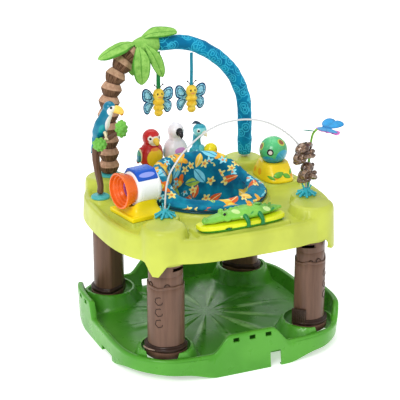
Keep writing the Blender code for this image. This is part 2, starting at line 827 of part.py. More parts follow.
# Toy arch
def arch_path():
    foot = POST_TOP + 5 * GAP
    across_share = [
        (-0.231, 0.0), (-0.231, 0.13228), (-0.231, 0.28762), (-0.23, 0.47209), (-0.227, 0.56675),
        (-0.22, 0.65413), (-0.21, 0.74393), (-0.193, 0.81917), (-0.164, 0.90898), (-0.128, 0.97451),
        (-0.09, 0.99879), (-0.05, 1), (0.022, 0.9915), (0.073, 0.9551), (0.121, 0.88956),
        (0.161, 0.81675), (0.199, 0.71723), (0.222, 0.62015), (0.242, 0.4915), (0.2475, 0.36529),
        (0.249, 0.19053), (0.249, 0.0),
    ]
    rise = ARCH_TOP - foot
    return along([(x, ARCH_PLANE, foot + rise * share) for x, share in across_share], 160)


def at_length(path, length):
    return part_of_path(path, 0.0, max(length, 1e-6), 1)[-1]


def spots_and_runs(path, total, stations):
    spots = [at_length(path, length) for length in stations]
    runs = []
    for length in stations:
        ahead = at_length(path, min(length + 0.004, total))
        behind = at_length(path, max(length - 0.004, 0.0))
        runs.append((ahead - behind).normalized())
    return spots, runs


def build_arch():
    path, total = arch_path()
    crown_start = 0.430
    crown_end = 0.505
    start = 0.0085
    ribs = 10
    pitch = (crown_start - GAP - start) / ribs
    steps = 15
    cover_start = crown_end + GAP
    cover_run = (total - 0.009 - cover_start) / steps
    rib_stations = [start + pitch * k for k in range(ribs + 1)]
    crown_stations = [crown_start + (crown_end - crown_start) * k / 3 for k in range(4)]
    cover_stations = [cover_start + cover_run * k for k in range(steps + 1)]
    stations = [0.0] + rib_stations + crown_stations[1:] + cover_stations[1:] + [total]
    spots, runs = spots_and_runs(path, total, stations)
    tube = sweep(spots, [ARCH_TUBE_RADIUS] * len(spots), 8, runs=runs)
    finish(make("arch_tube", tube), (0.75, 0.76, 0.78), 0.35, 0.6)
    lengths = []
    radii = []
    for k in range(ribs):
        for share, radius in ((0.0, TRUNK_NECK), (0.42, TRUNK_RIB), (0.60, TRUNK_RIB)):
            lengths.append(start + pitch * (k + share))
            radii.append(radius)
    lengths.append(rib_stations[-1])
    radii.append(TRUNK_NECK)
    spots, runs = spots_and_runs(path, total, lengths)
    trunk = sweep(spots, radii, 10, bore=ARCH_BORE_RADIUS, bore_step=3, runs=runs)
    finish(make("palm_trunk", trunk), (0.20, 0.12, 0.075), 0.9)
    spots, runs = spots_and_runs(path, total, cover_stations)
    radii = [SLEEVE_RADIUS - 0.002] + [SLEEVE_RADIUS] * (steps - 1) + [SLEEVE_RADIUS - 0.003]
    cover = sweep(spots, radii, 10, bore=ARCH_BORE_RADIUS, runs=runs)
    finish(make("arch_sleeve", cover), (0.0, 0.16, 0.30), 0.85)
    spots, runs = spots_and_runs(path, total, crown_stations)
    hub = sweep(spots, CROWN_RADII, 10, bore=ARCH_BORE_RADIUS, runs=runs)
    finish(make("palm_crown", hub), (0.30, 0.62, 0.08), 0.9)
    profile = [
        (ARCH_BORE_RADIUS, POST_TOP + GAP), (0.034, POST_TOP + GAP), (0.032, POST_TOP + 0.0055),
        (0.027, POST_TOP + 0.0088), (ARCH_BORE_RADIUS, POST_TOP + 0.0088),
    ]
    collar = place(make("trunk_collar", lathe(profile, 14, True)), (path[0].x, ARCH_PLANE, 0))
    finish(bake(collar), (0.10, 0.50, 0.48), 0.4)
    return spots, runs


def leaf(name, points, width, side, thickness=0.0055, square=0.0):
    path, total = along(points, 7)
    shares = [0.22, 0.55, 0.84, 1.0, 0.98, 0.82, 0.52, 0.10 + square]
    rings = []
    for (centre, across, up), share in zip(frames(path, side), shares):
        half = width / 2 * share
        thick = thickness * (0.35 + 0.65 * share)
        fold = half * 0.28
        rings.append([
            centre - across * half - up * fold,
            centre - across * half * 0.5 + up * (thick - fold * 0.3),
            centre + up * thick * 0.45,
            centre + across * half * 0.5 + up * (thick - fold * 0.3),
            centre + across * half - up * fold,
            centre + across * half * 0.5 - up * (thick + fold * 0.3),
            centre - up * thick * 0.65,
            centre - across * half * 0.5 - up * (thick + fold * 0.3),
        ])
    return finish(make(name, stack(rings)), (0.30, 0.62, 0.08), 0.9)


def build_leaves(crown_spots, crown_runs):
    y = ARCH_PLANE
    specs = [
        ("palm_leaf_left", [
            (-0.136, y - 0.004, 0.0135), (-0.172, y - 0.012, 0.0245), (-0.215, y - 0.016, 0.0095),
            (-0.262, y - 0.020, -0.0215),
        ], 0.050, (0, 1, 0.35), 0.0),
        ("palm_leaf_front", [
            (-0.132, y - 0.024, 0.0005), (-0.128, y - 0.045, -0.0215), (-0.122, y - 0.050, -0.0585),
            (-0.118, y - 0.046, -0.1175),
        ], 0.054, (1, 0.1, 0), 0.0),
        ("palm_leaf_inner", [
            (-0.110, y - 0.024, 0.0065), (-0.090, y - 0.043, -0.0175), (-0.070, y - 0.043, -0.0485),
            (-0.046, y - 0.038, -0.1005),
        ], 0.034, (0.8, -0.2, 0.5), 0.0),
        ("palm_leaf_top", [
            (-0.118, y - 0.006, 0.0245), (-0.085, y - 0.010, 0.04), (-0.040, y - 0.010, 0.041),
            (0.004, y - 0.010, 0.0385),
        ], 0.042, (0, 1, 0.75), 0.42),
        ("palm_leaf_back", [
            (-0.130, y + 0.024, 0.0005), (-0.128, y + 0.048, -0.0175), (-0.126, y + 0.056, -0.0555),
            (-0.124, y + 0.054, -0.1115),
        ], 0.052, (1, 0.1, 0), 0.0),
    ]
    for name, points, width, side, square in specs:
        points = [(px, py, ARCH_TOP + level) for px, py, level in points]
        thing = leaf(name, points, width, side, square=square)
        around = [radius + 2.2 * GAP for radius in CROWN_RADII]
        cut(thing, make("around", sweep(crown_spots, around, 10, runs=crown_runs)))


def build_bee(name, x, strap_top, strap_width, strap_colour):
    y = ARCH_PLANE
    top = BEE_CENTRE + 0.046
    length = strap_top - top - GAP
    strap = box((strap_width, 0.0022, length), (x, y, top + GAP + length / 2))
    strap = make(name + "_strap", strap, False)
    move_origin(finish(strap, strap_colour, 0.8), (x, y, strap_top))
    profile = [
        (0.0, -0.046), (0.009, -0.043), (0.0145, -0.034), (0.0115, -0.0265), (0.0175, -0.017),
        (0.0135, -0.0085), (0.0190, 0.001), (0.0140, 0.0110), (0.0170, 0.022), (0.0175, 0.032),
        (0.0105, 0.043), (0.0, 0.046),
    ]
    body = make(name + "_body", lathe(profile, 10))
    body.data.transform(Matrix.Diagonal((1.0, 0.72, 1.0, 1.0)))
    body.location = (x, y, BEE_CENTRE)
    bake(body)
    outline = [
        (0.000, 0.010), (0.019, 0.020), (0.034, 0.040), (0.048, 0.043), (0.052, 0.028),
        (0.047, 0.004), (0.049, -0.014), (0.040, -0.034), (0.029, -0.036), (0.021, -0.016),
        (0.000, -0.006),
    ]
    left = [(-a, b) for a, b in outline[1:-1]][::-1]
    loop = outline + left
    back = y + 0.0142
    plate = [
        [(x + a, back + lift - WING_SWEEP * abs(a), BEE_CENTRE + b) for a, b in loop]
        for lift in (0.0, WING_THICKNESS)
    ]
    wings = make(name + "_wings", stack(plate))
    finish(wings, (0.30, 0.62, 0.80), 0.85)
    for thing in (body, wings):
        move_origin(thing, (x, y, strap_top))
    finish(body, (0.86, 0.66, 0.10), 0.85)


# Wire arch with its spinners
def wire_path():
    across_height = [
        (-0.213, 0.002), (-0.213, 0.030), (-0.209, 0.085), (-0.198, 0.127), (-0.176, 0.162),
        (-0.15, 0.193), (-0.106, 0.229), (-0.066, 0.251), (-0.015, 0.265), (0.05, 0.266),
        (0.112, 0.251), (0.166, 0.221), (0.212, 0.182), (0.24, 0.140), (0.251, 0.090),
        (0.2555, 0.040), (0.2565, 0.002),
    ]
    return along([(x, WIRE_PLANE, POST_TOP + z) for x, z in across_height], 120)


def splash(name, x, y, turn):
    rings = []
    low = POST_TOP + GAP
    for radius_in, radius_out, level in (
        (0.012, 0.030, low), (0.012, 0.031, low + 0.0034), (0.0075, 0.014, low + 0.0095),
        (0.0068, 0.0068, low + 0.0250),
    ):
        ring = []
        for i in range(16):
            angle = math.tau * i / 16 + turn
            r = radius_out if i % 2 == 0 else (radius_in + radius_out) / 2 * 0.78
            ring.append((x + r * math.cos(angle), y + r * math.sin(angle), level))
        rings.append(ring)
    return make(name, stack(rings))


def build_wire():
    path, total = wire_path()
    wire = make("wire_arch", sweep(part_of_path(path, 0.0, total, 32), [WIRE_RADIUS] * 33, 6))
    finish(wire, (0.85, 0.85, 0.84), 0.3)
    for name, spot in (("splash_front", path[0]), ("splash_right", path[-1])):
        star = splash(name, spot.x, spot.y, 0.2)
        low = POST_TOP - 0.01
        bore = make("bore", cylinder(WIRE_RADIUS + 0.0010, low, low + 0.05, 10, (spot.x, spot.y)))
        cut(star, bore)
        finish(star, (0.10, 0.50, 0.58), 0.4)
    return path, total


def bore_radii(path, total, centre, rise, stations):
    wire = part_of_path(path, 0.0, total, 32)
    fine = [a.lerp(b, k / 8) for a, b in zip(wire, wire[1:]) for k in range(9)]
    radii = []
    for station in stations:
        away = 0.0
        for point in fine:
            offset = point - centre
            level = offset.dot(rise)
            if offset.length < 0.060 and abs(level - station) <= 0.0045:
                away = max(away, (offset - rise * level).length)
        radii.append((away + WIRE_RADIUS + RUNNING_GAP) / math.cos(math.pi / 12))
    return radii


def build_monkey(name, path, total, back, lean):
    high, centre, low = part_of_path(path, total - back - 0.030, total - back + 0.030, 2)
    rise = (high - low).normalized()
    centre = centre * 0.55 + (high + low) * 0.225
    body = make(name, sphere(MONKEY_RADIUS, (0, 0, -0.006), 8, 5, (1.0, 0.95, 0.85)))
    head = make("head", sphere(0.0165, (0.004, -0.004, 0.0155), 8, 5))
    union(body, head)
    limbs = [
        ((-0.012, -0.012, -0.012), (-0.026, -0.014, 0.000), (-0.022, -0.018, 0.015)),
        ((0.012, 0.010, -0.010), (0.027, 0.004, 0.002), (0.024, -0.006, 0.016)),
        ((0.008, -0.012, -0.014), (0.020, -0.024, -0.016), (0.026, -0.018, -0.004)),
        ((-0.010, 0.012, -0.010), (-0.022, 0.014, -0.018), (-0.030, 0.002, -0.010)),
    ]
    for points in limbs:
        union(body, make("limb", sweep(points, [0.0075, 0.0085, 0.0065], 5, (0.1, 0.2, 1))))
    body.rotation_euler = (0, 0, lean)
    bake(body)
    body.matrix_world = Vector((0, 0, 1)).rotation_difference(rise).to_matrix().to_4x4()
    body.location = centre
    bake(body)
    stations = [0.006 * k for k in range(-7, 8)]
    radii = bore_radii(path, total, centre, rise, stations)
    hole = sweep([centre + rise * station for station in stations], radii, 12)
    cut(body, make("hole", hole))
    move_origin(body, centre)
    finish(body, (0.16, 0.10, 0.065), 0.4)
    print(name, "axis point", [round(v, 5) for v in centre], "axis", [round(v, 5) for v in rise])


def build_butterfly():
    foot = Vector((0.284, -0.135, POST_TOP - 0.0007 + GAP + 0.005))
    points = [
        foot, (0.287, -0.134, POST_TOP + 0.070), (0.290, -0.137, POST_TOP + 0.140),
        (0.288, -0.152, POST_TOP + 0.182), (0.284, -0.172, POST_TOP + 0.202),
    ]
    spots, total = along(points, 8)
    stem = make("butterfly_stem", sweep(spots, [0.0042] * 3 + [0.0036] * 6, 8, (1, 0, 0)))
    union(stem, make("foot", sphere(0.005, foot, 8, 6)))
    finish(move_origin(stem, foot), (0.35, 0.65, 0.12), 0.4)
    forward = Vector((0.914, -0.405, -0.06)).normalized()
    start = Vector((0.284, -0.1725, POST_TOP + 0.202)) + forward * 0.004
    body = sweep(
        [start, start + forward * 0.014, start + forward * 0.034, start + forward * 0.052,
         start + forward * 0.062, start + forward * 0.074],
        [0.004, 0.0068, 0.0072, 0.0056, 0.0078, 0.003], 8, (0, 0, 1),
    )
    body = make("butterfly_body", body)
    side = Vector((0.405, 0.914, 0))
    outline = [
        (0.018, 0.000), (0.008, 0.022), (0.014, 0.042), (0.032, 0.050), (0.044, 0.040),
        (0.058, 0.052), (0.076, 0.046), (0.080, 0.030), (0.066, 0.014), (0.046, 0.000),
    ]
    loop = outline + [(a, -b) for a, b in outline[1:-1]][::-1]
    rings = []
    for lift in (0.0076, 0.0104):
        rings.append([
            start + forward * a + side * b + Vector((0, 0, 0.45 * abs(b) + lift)) for a, b in loop
        ])
    wings = make("butterfly_wings", stack(rings))
    for thing, colour in ((body, (0.62, 0.22, 0.55)), (wings, (0.12, 0.45, 0.75))):
        finish(move_origin(thing, foot), colour, 0.4)


# Toucan on its tree
def build_toucan():
    x, y = TOUCAN_PLACE
    profile = [
        (0.0, GAP), (0.029, GAP), (0.029, 0.0064), (0.024, 0.0099),
        (0.013, 0.0109), (0.0, 0.0109),
    ]
    base = make("toucan_base", lathe(profile, 16))
    place(base, (x, y, PAD_TOP), TOUCAN_TURN)
    finish(bake(base), (0.15, 0.55, 0.55), 0.4)
    foot_radius = 0.008
    foot = 0.0109 + GAP + foot_radius
    branch = [
        (0, 0, foot), (0.001, 0, 0.0434), (-0.006, 0, 0.0834), (-0.011, 0, 0.1284), (-0.008, 0, 0.1684),
        (0.010, 0, 0.1874), (0.036, 0, 0.1964), (0.058, 0, 0.2134),
    ]
    girth = [0.0078, 0.0078, 0.0085, 0.0098, 0.0105, 0.0085, 0.0070, 0.0060]
    tree = make("toucan_tree", sweep(branch, girth, 8))
    union(tree, make("foot", sphere(foot_radius, (0, 0, foot), 8, 6)))
    union(tree, make("bush", sphere(0.0215, (-0.004, -0.021, 0.1794), 10, 6, (1.0, 1.0, 0.92))))
    union(tree, make("bush", sphere(0.0190, (0.062, 0.0, 0.2294), 10, 6, (1.0, 0.9, 1.75))))
    bird = make("toucan_body", sweep(
        [(-0.030, 0.026, 0.1364), (-0.022, 0.024, 0.1654), (-0.014, 0.020, 0.1934),
         (-0.005, 0.014, 0.2214), (0.006, 0.011, 0.2494), (0.017, 0.009, 0.2754), (0.024, 0.008, 0.2914)],
        [0.005, 0.0095, 0.0150, 0.0215, 0.0225, 0.0195, 0.0180], 10,
    ))
    union(bird, make("head", sphere(0.0215, (0.028, 0.008, 0.2974), 10, 8)))
    for hand in (-1, 1):
        peg = sweep([(0.020, 0.008 + hand * 0.009, 0.2334), (0.022, hand * 0.005, 0.1954)],
                    [0.0045, 0.0042], 6)
        union(bird, make("leg", peg))
    cut(bird, make("perch", sweep(branch, [radius + 1.2 * GAP for radius in girth], 8)))
    beak = make("toucan_beak", sweep(
        [(0.040, 0.008, 0.2904), (0.055, 0.008, 0.2914), (0.066, 0.008, 0.2844), (0.073, 0.008, 0.2694)],
        [0.0115, 0.0105, 0.0080, 0.0030], 8, flat=0.75,
    ))
    cut(beak, make("socket", sphere(0.0220, (0.028, 0.008, 0.2974), 10, 8)))
    for thing, colour in (
        (tree, (0.18, 0.11, 0.07)), (bird, (0.0, 0.22, 0.42)), (beak, (0.90, 0.60, 0.10)),
    ):
        place(thing, (x, y, PAD_TOP), TOUCAN_TURN)
        move_origin(thing, (x, y, PAD_TOP + foot))
        finish(thing, colour, 0.35)


# Birds behind the seat
def build_birds():
    x, y = STAND_CENTRE
    level = PAD_TOP + GAP + STAND_SIZE[2] / 2
    stand = make("bird_stand", box(STAND_SIZE, (x, y, level), 0.004), False)
    finish(stand, (0.62, 0.74, 0.10), 0.4)
    rest = PAD_TOP + GAP + STAND_SIZE[2] + 0.0005
    for name, (bx, by), colour in (
        ("red_parrot", PARROT_PLACE, (0.62, 0.03, 0.03)),
        ("white_bird", WHITE_BIRD_PLACE, (0.80, 0.79, 0.80)),
        ("teal_bird", TEAL_BIRD_PLACE, (0.05, 0.42, 0.55)),
    ):
        pivot = rest + (0.0290 if name == "teal_bird" else 0.0365)
        if name == "teal_bird":
            body = make(name, sphere(0.0285, (0, 0, 0), 10, 7, (1.0, 1.0, 1.02)))
            body.location = (0, 0, rest + 0.0291)
            bake(body)
            neck = sweep(
                [(-0.004, 0, rest + 0.040), (-0.008, 0, rest + 0.062), (-0.006, 0, rest + 0.082),
                 (0.002, 0, rest + 0.096), (0.006, 0, rest + 0.104)],
                [0.0215, 0.0150, 0.0135, 0.0150, 0.0130], 8,
            )
            union(body, make("neck", neck))
            union(body, make("head", sphere(0.0205, (0.006, 0, rest + 0.109), 9, 6)))
            bill = sweep([(0.018, 0, rest + 0.108), (0.032, 0, rest + 0.104), (0.044, 0, rest + 0.097)],
                         [0.0085, 0.0065, 0.0025], 6)
            union(body, make("bill", bill))
            crest = sweep([(0.0, 0, rest + 0.124), (-0.012, 0, rest + 0.137), (-0.026, 0, rest + 0.139)],
                          [0.006, 0.0045, 0.0018], 6)
            union(body, make("crest", crest))
        else:
            parrot = name == "red_parrot"
            tall = 0.0425 if parrot else 0.0440
            body = make(name, sphere(0.0375, (0, 0, 0), 10, 7, (0.92, 1.05, tall / 0.0375)))
            body.location = (0, 0, rest + tall)
            bake(body)
            rise = 0.098 if parrot else 0.107
            head_radius = 0.0275 if parrot else 0.0255
            union(body, make("neck", sweep(
                [(0, 0, rest + 0.060), (0.002, 0, rest + rise)], [0.026, 0.020], 10)))
            union(body, make("head", sphere(head_radius, (0.003, 0, rest + rise), 10, 7)))
            bill = sweep(
                [(0.020, 0, rest + rise - 0.001), (0.034, 0, rest + rise - 0.006),
                 (0.038, 0, rest + rise - 0.018)],
                [0.0105, 0.0085, 0.0030], 6)
            union(body, make("bill", bill))
            if parrot:
                for hand in (-1, 1):
                    fin = sphere(0.020, (-0.006, hand * 0.033, rest + 0.046), 8, 6, (0.75, 0.55, 1.25))
                    union(body, make("fin", fin))
        place(body, (bx, by, 0), BIRD_TURN)
        move_origin(body, (bx, by, pivot))
        finish(body, colour, 0.3)
        print(name, "pivot level", round(pivot, 5))
    bx, by = TEAL_BIRD_PLACE
    belly = Vector((bx + 0.0315, by - 0.0315, rest + 0.044))
    ball = make("sun_ball", sphere(0.0205, belly, 10, 8))
    trim = make("trim", sphere(0.0285 + 1.3 * GAP, (0, 0, 0), 10, 7, (1.0, 1.0, 1.02)))
    cut(ball, bake(place(trim, (bx, by, rest + 0.0291), BIRD_TURN)))
    move_origin(ball, (bx, by, pivot))
    finish(ball, (0.90, 0.75, 0.02), 0.4)


# Drum with its turning funnel
def build_drum():
    cx, cy = DRUM_CENTRE
    level = DRUM_AXIS_LEVEL
    low = PAD_TOP + GAP
    base = make("drum_base", box((0.118, 0.134, 0.014), (0, 0, low + 0.007), 0.003), False)
    saddle = box((0.052, 0.070, 0.050), (-0.014, 0, low + 0.012 + 0.020))
    union(base, make("saddle", saddle))
    tool = make("tool", cylinder(DRUM_RADIUS + GAP, -0.10, 0.10, 24))
    tool.rotation_euler = (0, math.pi / 2, 0)
    tool.location = (0, 0, level)
    cut(base, bake(tool))
    profile = [
        (0.0, -0.056), (0.040, -0.056), (DRUM_RADIUS, -0.049), (DRUM_RADIUS, 0.020),
        (0.046, 0.026), (0.0, 0.026),
    ]
    barrel = make("drum_barrel", lathe(profile, 24))
    crown = level + DRUM_RADIUS + ROOF_RISE
    rings = []
    for half_x, half_y, height in (
        (0.035, ROOF_HALF_WIDTH, level + 0.014), (0.035, ROOF_HALF_WIDTH, level + 0.026),
        (0.033, ROOF_RIDGE_HALF, crown - 0.002), (0.031, ROOF_RIDGE_HALF - 0.002, crown),
    ):
        rings.append([
            (-0.012 - half_x, -half_y, height), (-0.012 + half_x, -half_y, height),
            (-0.012 + half_x, half_y, height), (-0.012 - half_x, half_y, height),
        ])
    roof = make("drum_roof", stack(rings), False)
    roof_tool = make("tool", cylinder(DRUM_RADIUS + GAP, -0.10, 0.10, 24))
    roof_tool.rotation_euler = (0, math.pi / 2, 0)
    roof_tool.location = (0, 0, level)
    cut(roof, bake(roof_tool))
    outer = [(0.0440, 0.0263), (0.0465, 0.034), (0.0550, 0.062), (0.0545, 0.067), (0.0490, 0.067)]
    inner = [
        (0.0475, 0.058), (0.0440, 0.056), (0.0425, 0.049), (0.0385, 0.048), (0.0370, 0.041),
        (0.0335, 0.040), (0.0300, 0.033), (0.0300, 0.0300), (0.0, 0.0300),
    ]
    funnel = make("drum_funnel", lathe([(0.0, 0.0263)] + outer + inner, 16))
    mirror = make("drum_mirror", lathe(
        [(0.0, 0.0303), (0.0275, 0.0303), (0.0275, 0.0325), (0.0255, 0.0335), (0.0, 0.0335)], 16))
    for thing in (barrel, funnel, mirror):
        thing.rotation_euler = (0, math.pi / 2, 0)
        thing.location = (0, 0, level)
        bake(thing)
    for thing, colour, rough in (
        (base, (0.90, 0.70, 0.02), 0.35), (barrel, (0.80, 0.80, 0.80), 0.3),
        (roof, (0.02, 0.14, 0.55), 0.35), (funnel, (0.90, 0.18, 0.02), 0.3),
        (mirror, (0.35, 0.12, 0.45), 0.15),
    ):
        place(thing, (cx, cy, 0), DRUM_TURN)
        move_origin(thing, (cx, cy, level))
        finish(thing, colour, rough)


# Roller ball and alligator
def build_ball():
    x, y = BALL_PLACE
    low = PAD_TOP + GAP
    rings = []
    for half_x, half_y, level in (
        (0.053, 0.076, low), (0.053, 0.076, low + 0.010), (0.048, 0.062, low + 0.034),
        (0.042, 0.048, BALL_LEVEL - BALL_SEAT_DROP),
    ):
        ring = []
        for i in range(20):
            angle = math.tau * i / 20
            c = math.cos(angle)
            s = math.sin(angle)
            ring.append((
                x + half_x * math.copysign(abs(c) ** 0.6, c),
                y + half_y * math.copysign(abs(s) ** 0.75, s), level,
            ))
        rings.append(ring)
    base = make("ball_base", stack(rings))
    cut(base, make("socket", sphere(BALL_RADIUS + 0.0008, (x, y, BALL_LEVEL), 18, 12)))
    finish(base, (0.90, 0.68, 0.03), 0.35)
    ball = make("turtle_ball", sphere(BALL_RADIUS, (x, y, BALL_LEVEL), 18, 12))
    finish(move_origin(ball, (x, y, BALL_LEVEL)), (0.10, 0.52, 0.42), 0.3)


def build_gator():
    x, y = GATOR_CENTRE
    low = PAD_TOP + GAP
    rings = []
    for half_x, half_y, level in (
        (0.134, 0.034, low), (0.143, 0.040, low + 0.008), (0.143, 0.040, low + 0.017),
        (0.138, 0.035, low + 0.020),
    ):
        ring = []
        for i in range(24):
            angle = math.tau * i / 24
            c = math.cos(angle)
            s = math.sin(angle)
            ring.append((
                half_x * math.copysign(abs(c) ** 0.8, c),
                half_y * math.copysign(abs(s) ** 0.6, s), level,
            ))
        rings.append(ring)
    base = make("gator_base", stack(rings))
    slot = box((0.022, 0.020, 0.0068), (-0.060, -0.044, low + 0.010))
    cut(base, make("slot", slot))
    top = low + 0.020 + GAP
    body = make("gator_body", sweep(
        [(-0.118, 0, top + 0.008), (-0.095, 0, top + 0.010), (-0.070, 0, top + 0.012),
         (-0.045, 0, top + 0.014), (0.0, 0, top + 0.016), (0.050, 0, top + 0.015),
         (0.090, 0.004, top + 0.012), (0.120, 0.012, top + 0.009), (0.138, 0.020, top + 0.007)],
        [0.006, 0.011, 0.0125, 0.0160, 0.0190, 0.0180, 0.0130, 0.0080, 0.003], 10, flat=1.35,
    ))
    for px, py, radius in ((-0.062, -0.010, 0.0085), (-0.062, 0.010, 0.0085)):
        union(body, make("eye", sphere(radius, (px, py, top + 0.0235), 6, 5)))
    for px in (-0.030, -0.004, 0.062, 0.084):
        union(body, make("bump", sphere(0.0110, (px, 0.0, top + 0.0275), 6, 4, (1.1, 0.9, 0.8))))
    floor = box((0.40, 0.12, 0.040), (0, 0, top - 0.020))
    cut(body, make("floor", floor))
    press_spots = {"gator_flower_button": (0.028, 0.0)}
    presses = []
    for name, (px, py) in press_spots.items():
        well = cylinder(0.0100, top + 0.024, top + 0.060, 12, (px, py))
        cut(body, make("well", well))
        profile = [
            (0.0, top + 0.0275), (0.0093, top + 0.0275), (0.0093, top + 0.0370),
            (0.0070, top + 0.0400), (0.0, top + 0.0410),
        ]
        button = make(name, lathe(profile, 12))
        button.location = (px, py, 0)
        presses.append(bake(button))
    switch = make("gator_switch", box((0.010, 0.006, 0.0060), (-0.060, -0.0395, low + 0.010), 0.001), False)
    colours = {
        "gator_base": (0.55, 0.72, 0.05), "gator_body": (0.10, 0.52, 0.06),
        "gator_flower_button": (0.90, 0.50, 0.05),
        "gator_switch": (0.06, 0.30, 0.08),
    }
    for thing in [base, body, switch] + presses:
        place(thing, (x, y, 0), GATOR_TURN)
        bake(thing)
        finish(thing, colours[thing.name], 0.35)
    for thing in presses + [switch]:
        corner = [sum(v.co[k] for v in thing.data.vertices) / len(thing.data.vertices) for k in range(3)]
        move_origin(thing, corner)


def main():
    clear_scene()
    build_base()
    build_legs()
    build_springs()
    build_tray()
    build_seat()
    crown_spots, crown_runs = build_arch()
    build_leaves(crown_spots, crown_runs)
    build_bee("left_bee", BEE_AXIS_LEFT, ARCH_TOP - 0.0262, 0.013, (0.05, 0.42, 0.12))
    build_bee("right_bee", BEE_AXIS_RIGHT, ARCH_TOP - 0.0410, 0.010, (0.03, 0.38, 0.50))
    path, total = build_wire()
    build_monkey("lower_monkey", path, total, 0.070, 0.4)
    build_monkey("upper_monkey", path, total, 0.137, 1.3)
    build_butterfly()
    build_toucan()
    build_birds()
    build_drum()
    build_ball()
    build_gator()


main()
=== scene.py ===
import math

import bmesh
import bpy
from mathutils import Matrix, Vector


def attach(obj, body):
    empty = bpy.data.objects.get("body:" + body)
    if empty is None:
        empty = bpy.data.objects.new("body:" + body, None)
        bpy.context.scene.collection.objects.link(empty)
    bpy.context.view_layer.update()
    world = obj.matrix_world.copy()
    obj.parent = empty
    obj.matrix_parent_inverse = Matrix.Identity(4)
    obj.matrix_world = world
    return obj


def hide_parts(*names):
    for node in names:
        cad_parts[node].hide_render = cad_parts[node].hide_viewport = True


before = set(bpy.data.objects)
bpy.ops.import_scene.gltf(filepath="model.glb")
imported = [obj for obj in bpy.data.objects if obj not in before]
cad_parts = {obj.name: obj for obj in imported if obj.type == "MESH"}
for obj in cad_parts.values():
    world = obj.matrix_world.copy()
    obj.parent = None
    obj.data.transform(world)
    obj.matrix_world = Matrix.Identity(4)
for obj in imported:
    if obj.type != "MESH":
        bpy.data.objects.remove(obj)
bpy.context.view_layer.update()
scene = bpy.context.scene
# the turn from point to point that spreads them evenly over a ball
goldenTurn = 2.39996
# the gap that each toy keeps over the tray
toyGap = 0.0003


# Selecting and shaping
def deselectAll():
    if bpy.context.object and bpy.context.object.mode != "OBJECT":
        bpy.ops.object.mode_set(mode="OBJECT")
    bpy.ops.object.select_all(action="DESELECT")


def only(piece):
    deselectAll()
    piece.select_set(True)
    bpy.context.view_layer.objects.active = piece
    return piece


def renamed(piece, name):
    piece.name = name
    piece.data.name = name
    return piece


def named(name):
    return renamed(bpy.context.object, name)


def applyModifier(piece, kind, **settings):
    only(piece)
    modifier = piece.modifiers.new(kind.lower(), kind)
    for key, value in settings.items():
        setattr(modifier, key, value)
    bpy.ops.object.modifier_apply(modifier=modifier.name)
    return piece


def settle(piece):
    only(piece)
    bpy.ops.object.transform_apply(location=True, rotation=True, scale=True)
    return piece


def closeUp(piece):
    only(piece)
    bpy.ops.object.mode_set(mode="EDIT")
    bpy.ops.mesh.select_all(action="SELECT")
    bpy.ops.mesh.remove_doubles(threshold=0.000001)
    bpy.ops.mesh.normals_make_consistent(inside=False)
    bpy.ops.object.mode_set(mode="OBJECT")
    return piece


def smoothShade(piece, degrees=40):
    only(piece)
    bpy.ops.object.shade_smooth_by_angle(angle=math.radians(degrees))
    return piece


def skinRings(name, rings, closed=False):
    # a circle is extruded ring by ring, and each new ring is set in place
    deselectAll()
    count = len(rings[0])
    bpy.ops.mesh.primitive_circle_add(vertices=count, radius=0.1, fill_type="NOTHING")
    piece = named(name)
    bpy.ops.object.mode_set(mode="EDIT")
    bm = bmesh.from_edit_mesh(piece.data)
    bm.verts.ensure_lookup_table()
    for vert, point in zip(bm.verts, rings[0]):
        vert.co = point
    for ring in rings[1:]:
        bpy.ops.mesh.extrude_edges_move()
        bm = bmesh.from_edit_mesh(piece.data)
        bm.verts.ensure_lookup_table()
        fresh = [vert for vert in bm.verts if vert.select]
        for vert, point in zip(fresh, ring):
            vert.co = point
    total = count * len(rings)
    bm = bmesh.from_edit_mesh(piece.data)
    bm.verts.ensure_lookup_table()
    first = list(bm.verts[:count])
    last = list(bm.verts[total - count:total])
    if closed:
        for i in range(count):
            j = (i + 1) % count
            bm.faces.new((last[i], last[j], first[j], first[i]))
    else:
        bm.faces.new(first)
        bm.faces.new(last[::-1])
    bmesh.update_edit_mesh(piece.data)
    bpy.ops.mesh.select_all(action="SELECT")
    bpy.ops.mesh.normals_make_consistent(inside=False)
    bpy.ops.object.mode_set(mode="OBJECT")
    return piece


def roundRing(radius, level, count, centre=(0, 0)):
    turn = [math.tau * i / count for i in range(count)]
    return [(centre[0] + radius * math.cos(a), centre[1] + radius * math.sin(a), level) for a in turn]


def turnedPiece(name, profile, count=48, closed=False):
    rings = [roundRing(max(radius, 0.00012), level, count) for radius, level in profile]
    return skinRings(name, rings, closed)


def curveAt(a, b, c, d, t):
    # a smooth curve from b to c
    return 0.5 * ((2 * b) + (c - a) * t + (2 * a - 5 * b + 4 * c - d) * t * t + (3 * b - a - 3 * c + d)
        * t ** 3)


def softPath(points, count):
    path = [Vector(point) for point in points]
    ends = [path[0] * 2 - path[1]] + path + [path[-1] * 2 - path[-2]]
    fine = [curveAt(*ends[i - 1:i + 3], k / 16) for i in range(1, len(ends) - 2) for k in range(16)]
    fine.append(path[-1])
    return evenly(fine, 0.0, 1.0, count)


def evenly(fine, start, end, count):
    lengths = [0.0]
    for a, b in zip(fine, fine[1:]):
        lengths.append(lengths[-1] + (b - a).length)
    spots = []
    i = 0
    for k in range(count + 1):
        goal = lengths[-1] * (start + (end - start) * k / count)
        while i < len(fine) - 2 and lengths[i + 1] < goal:
            i += 1
        share = (goal - lengths[i]) / max(1e-9, lengths[i + 1] - lengths[i])
        spots.append(fine[i].lerp(fine[i + 1], min(1.0, max(0.0, share))))
    return spots


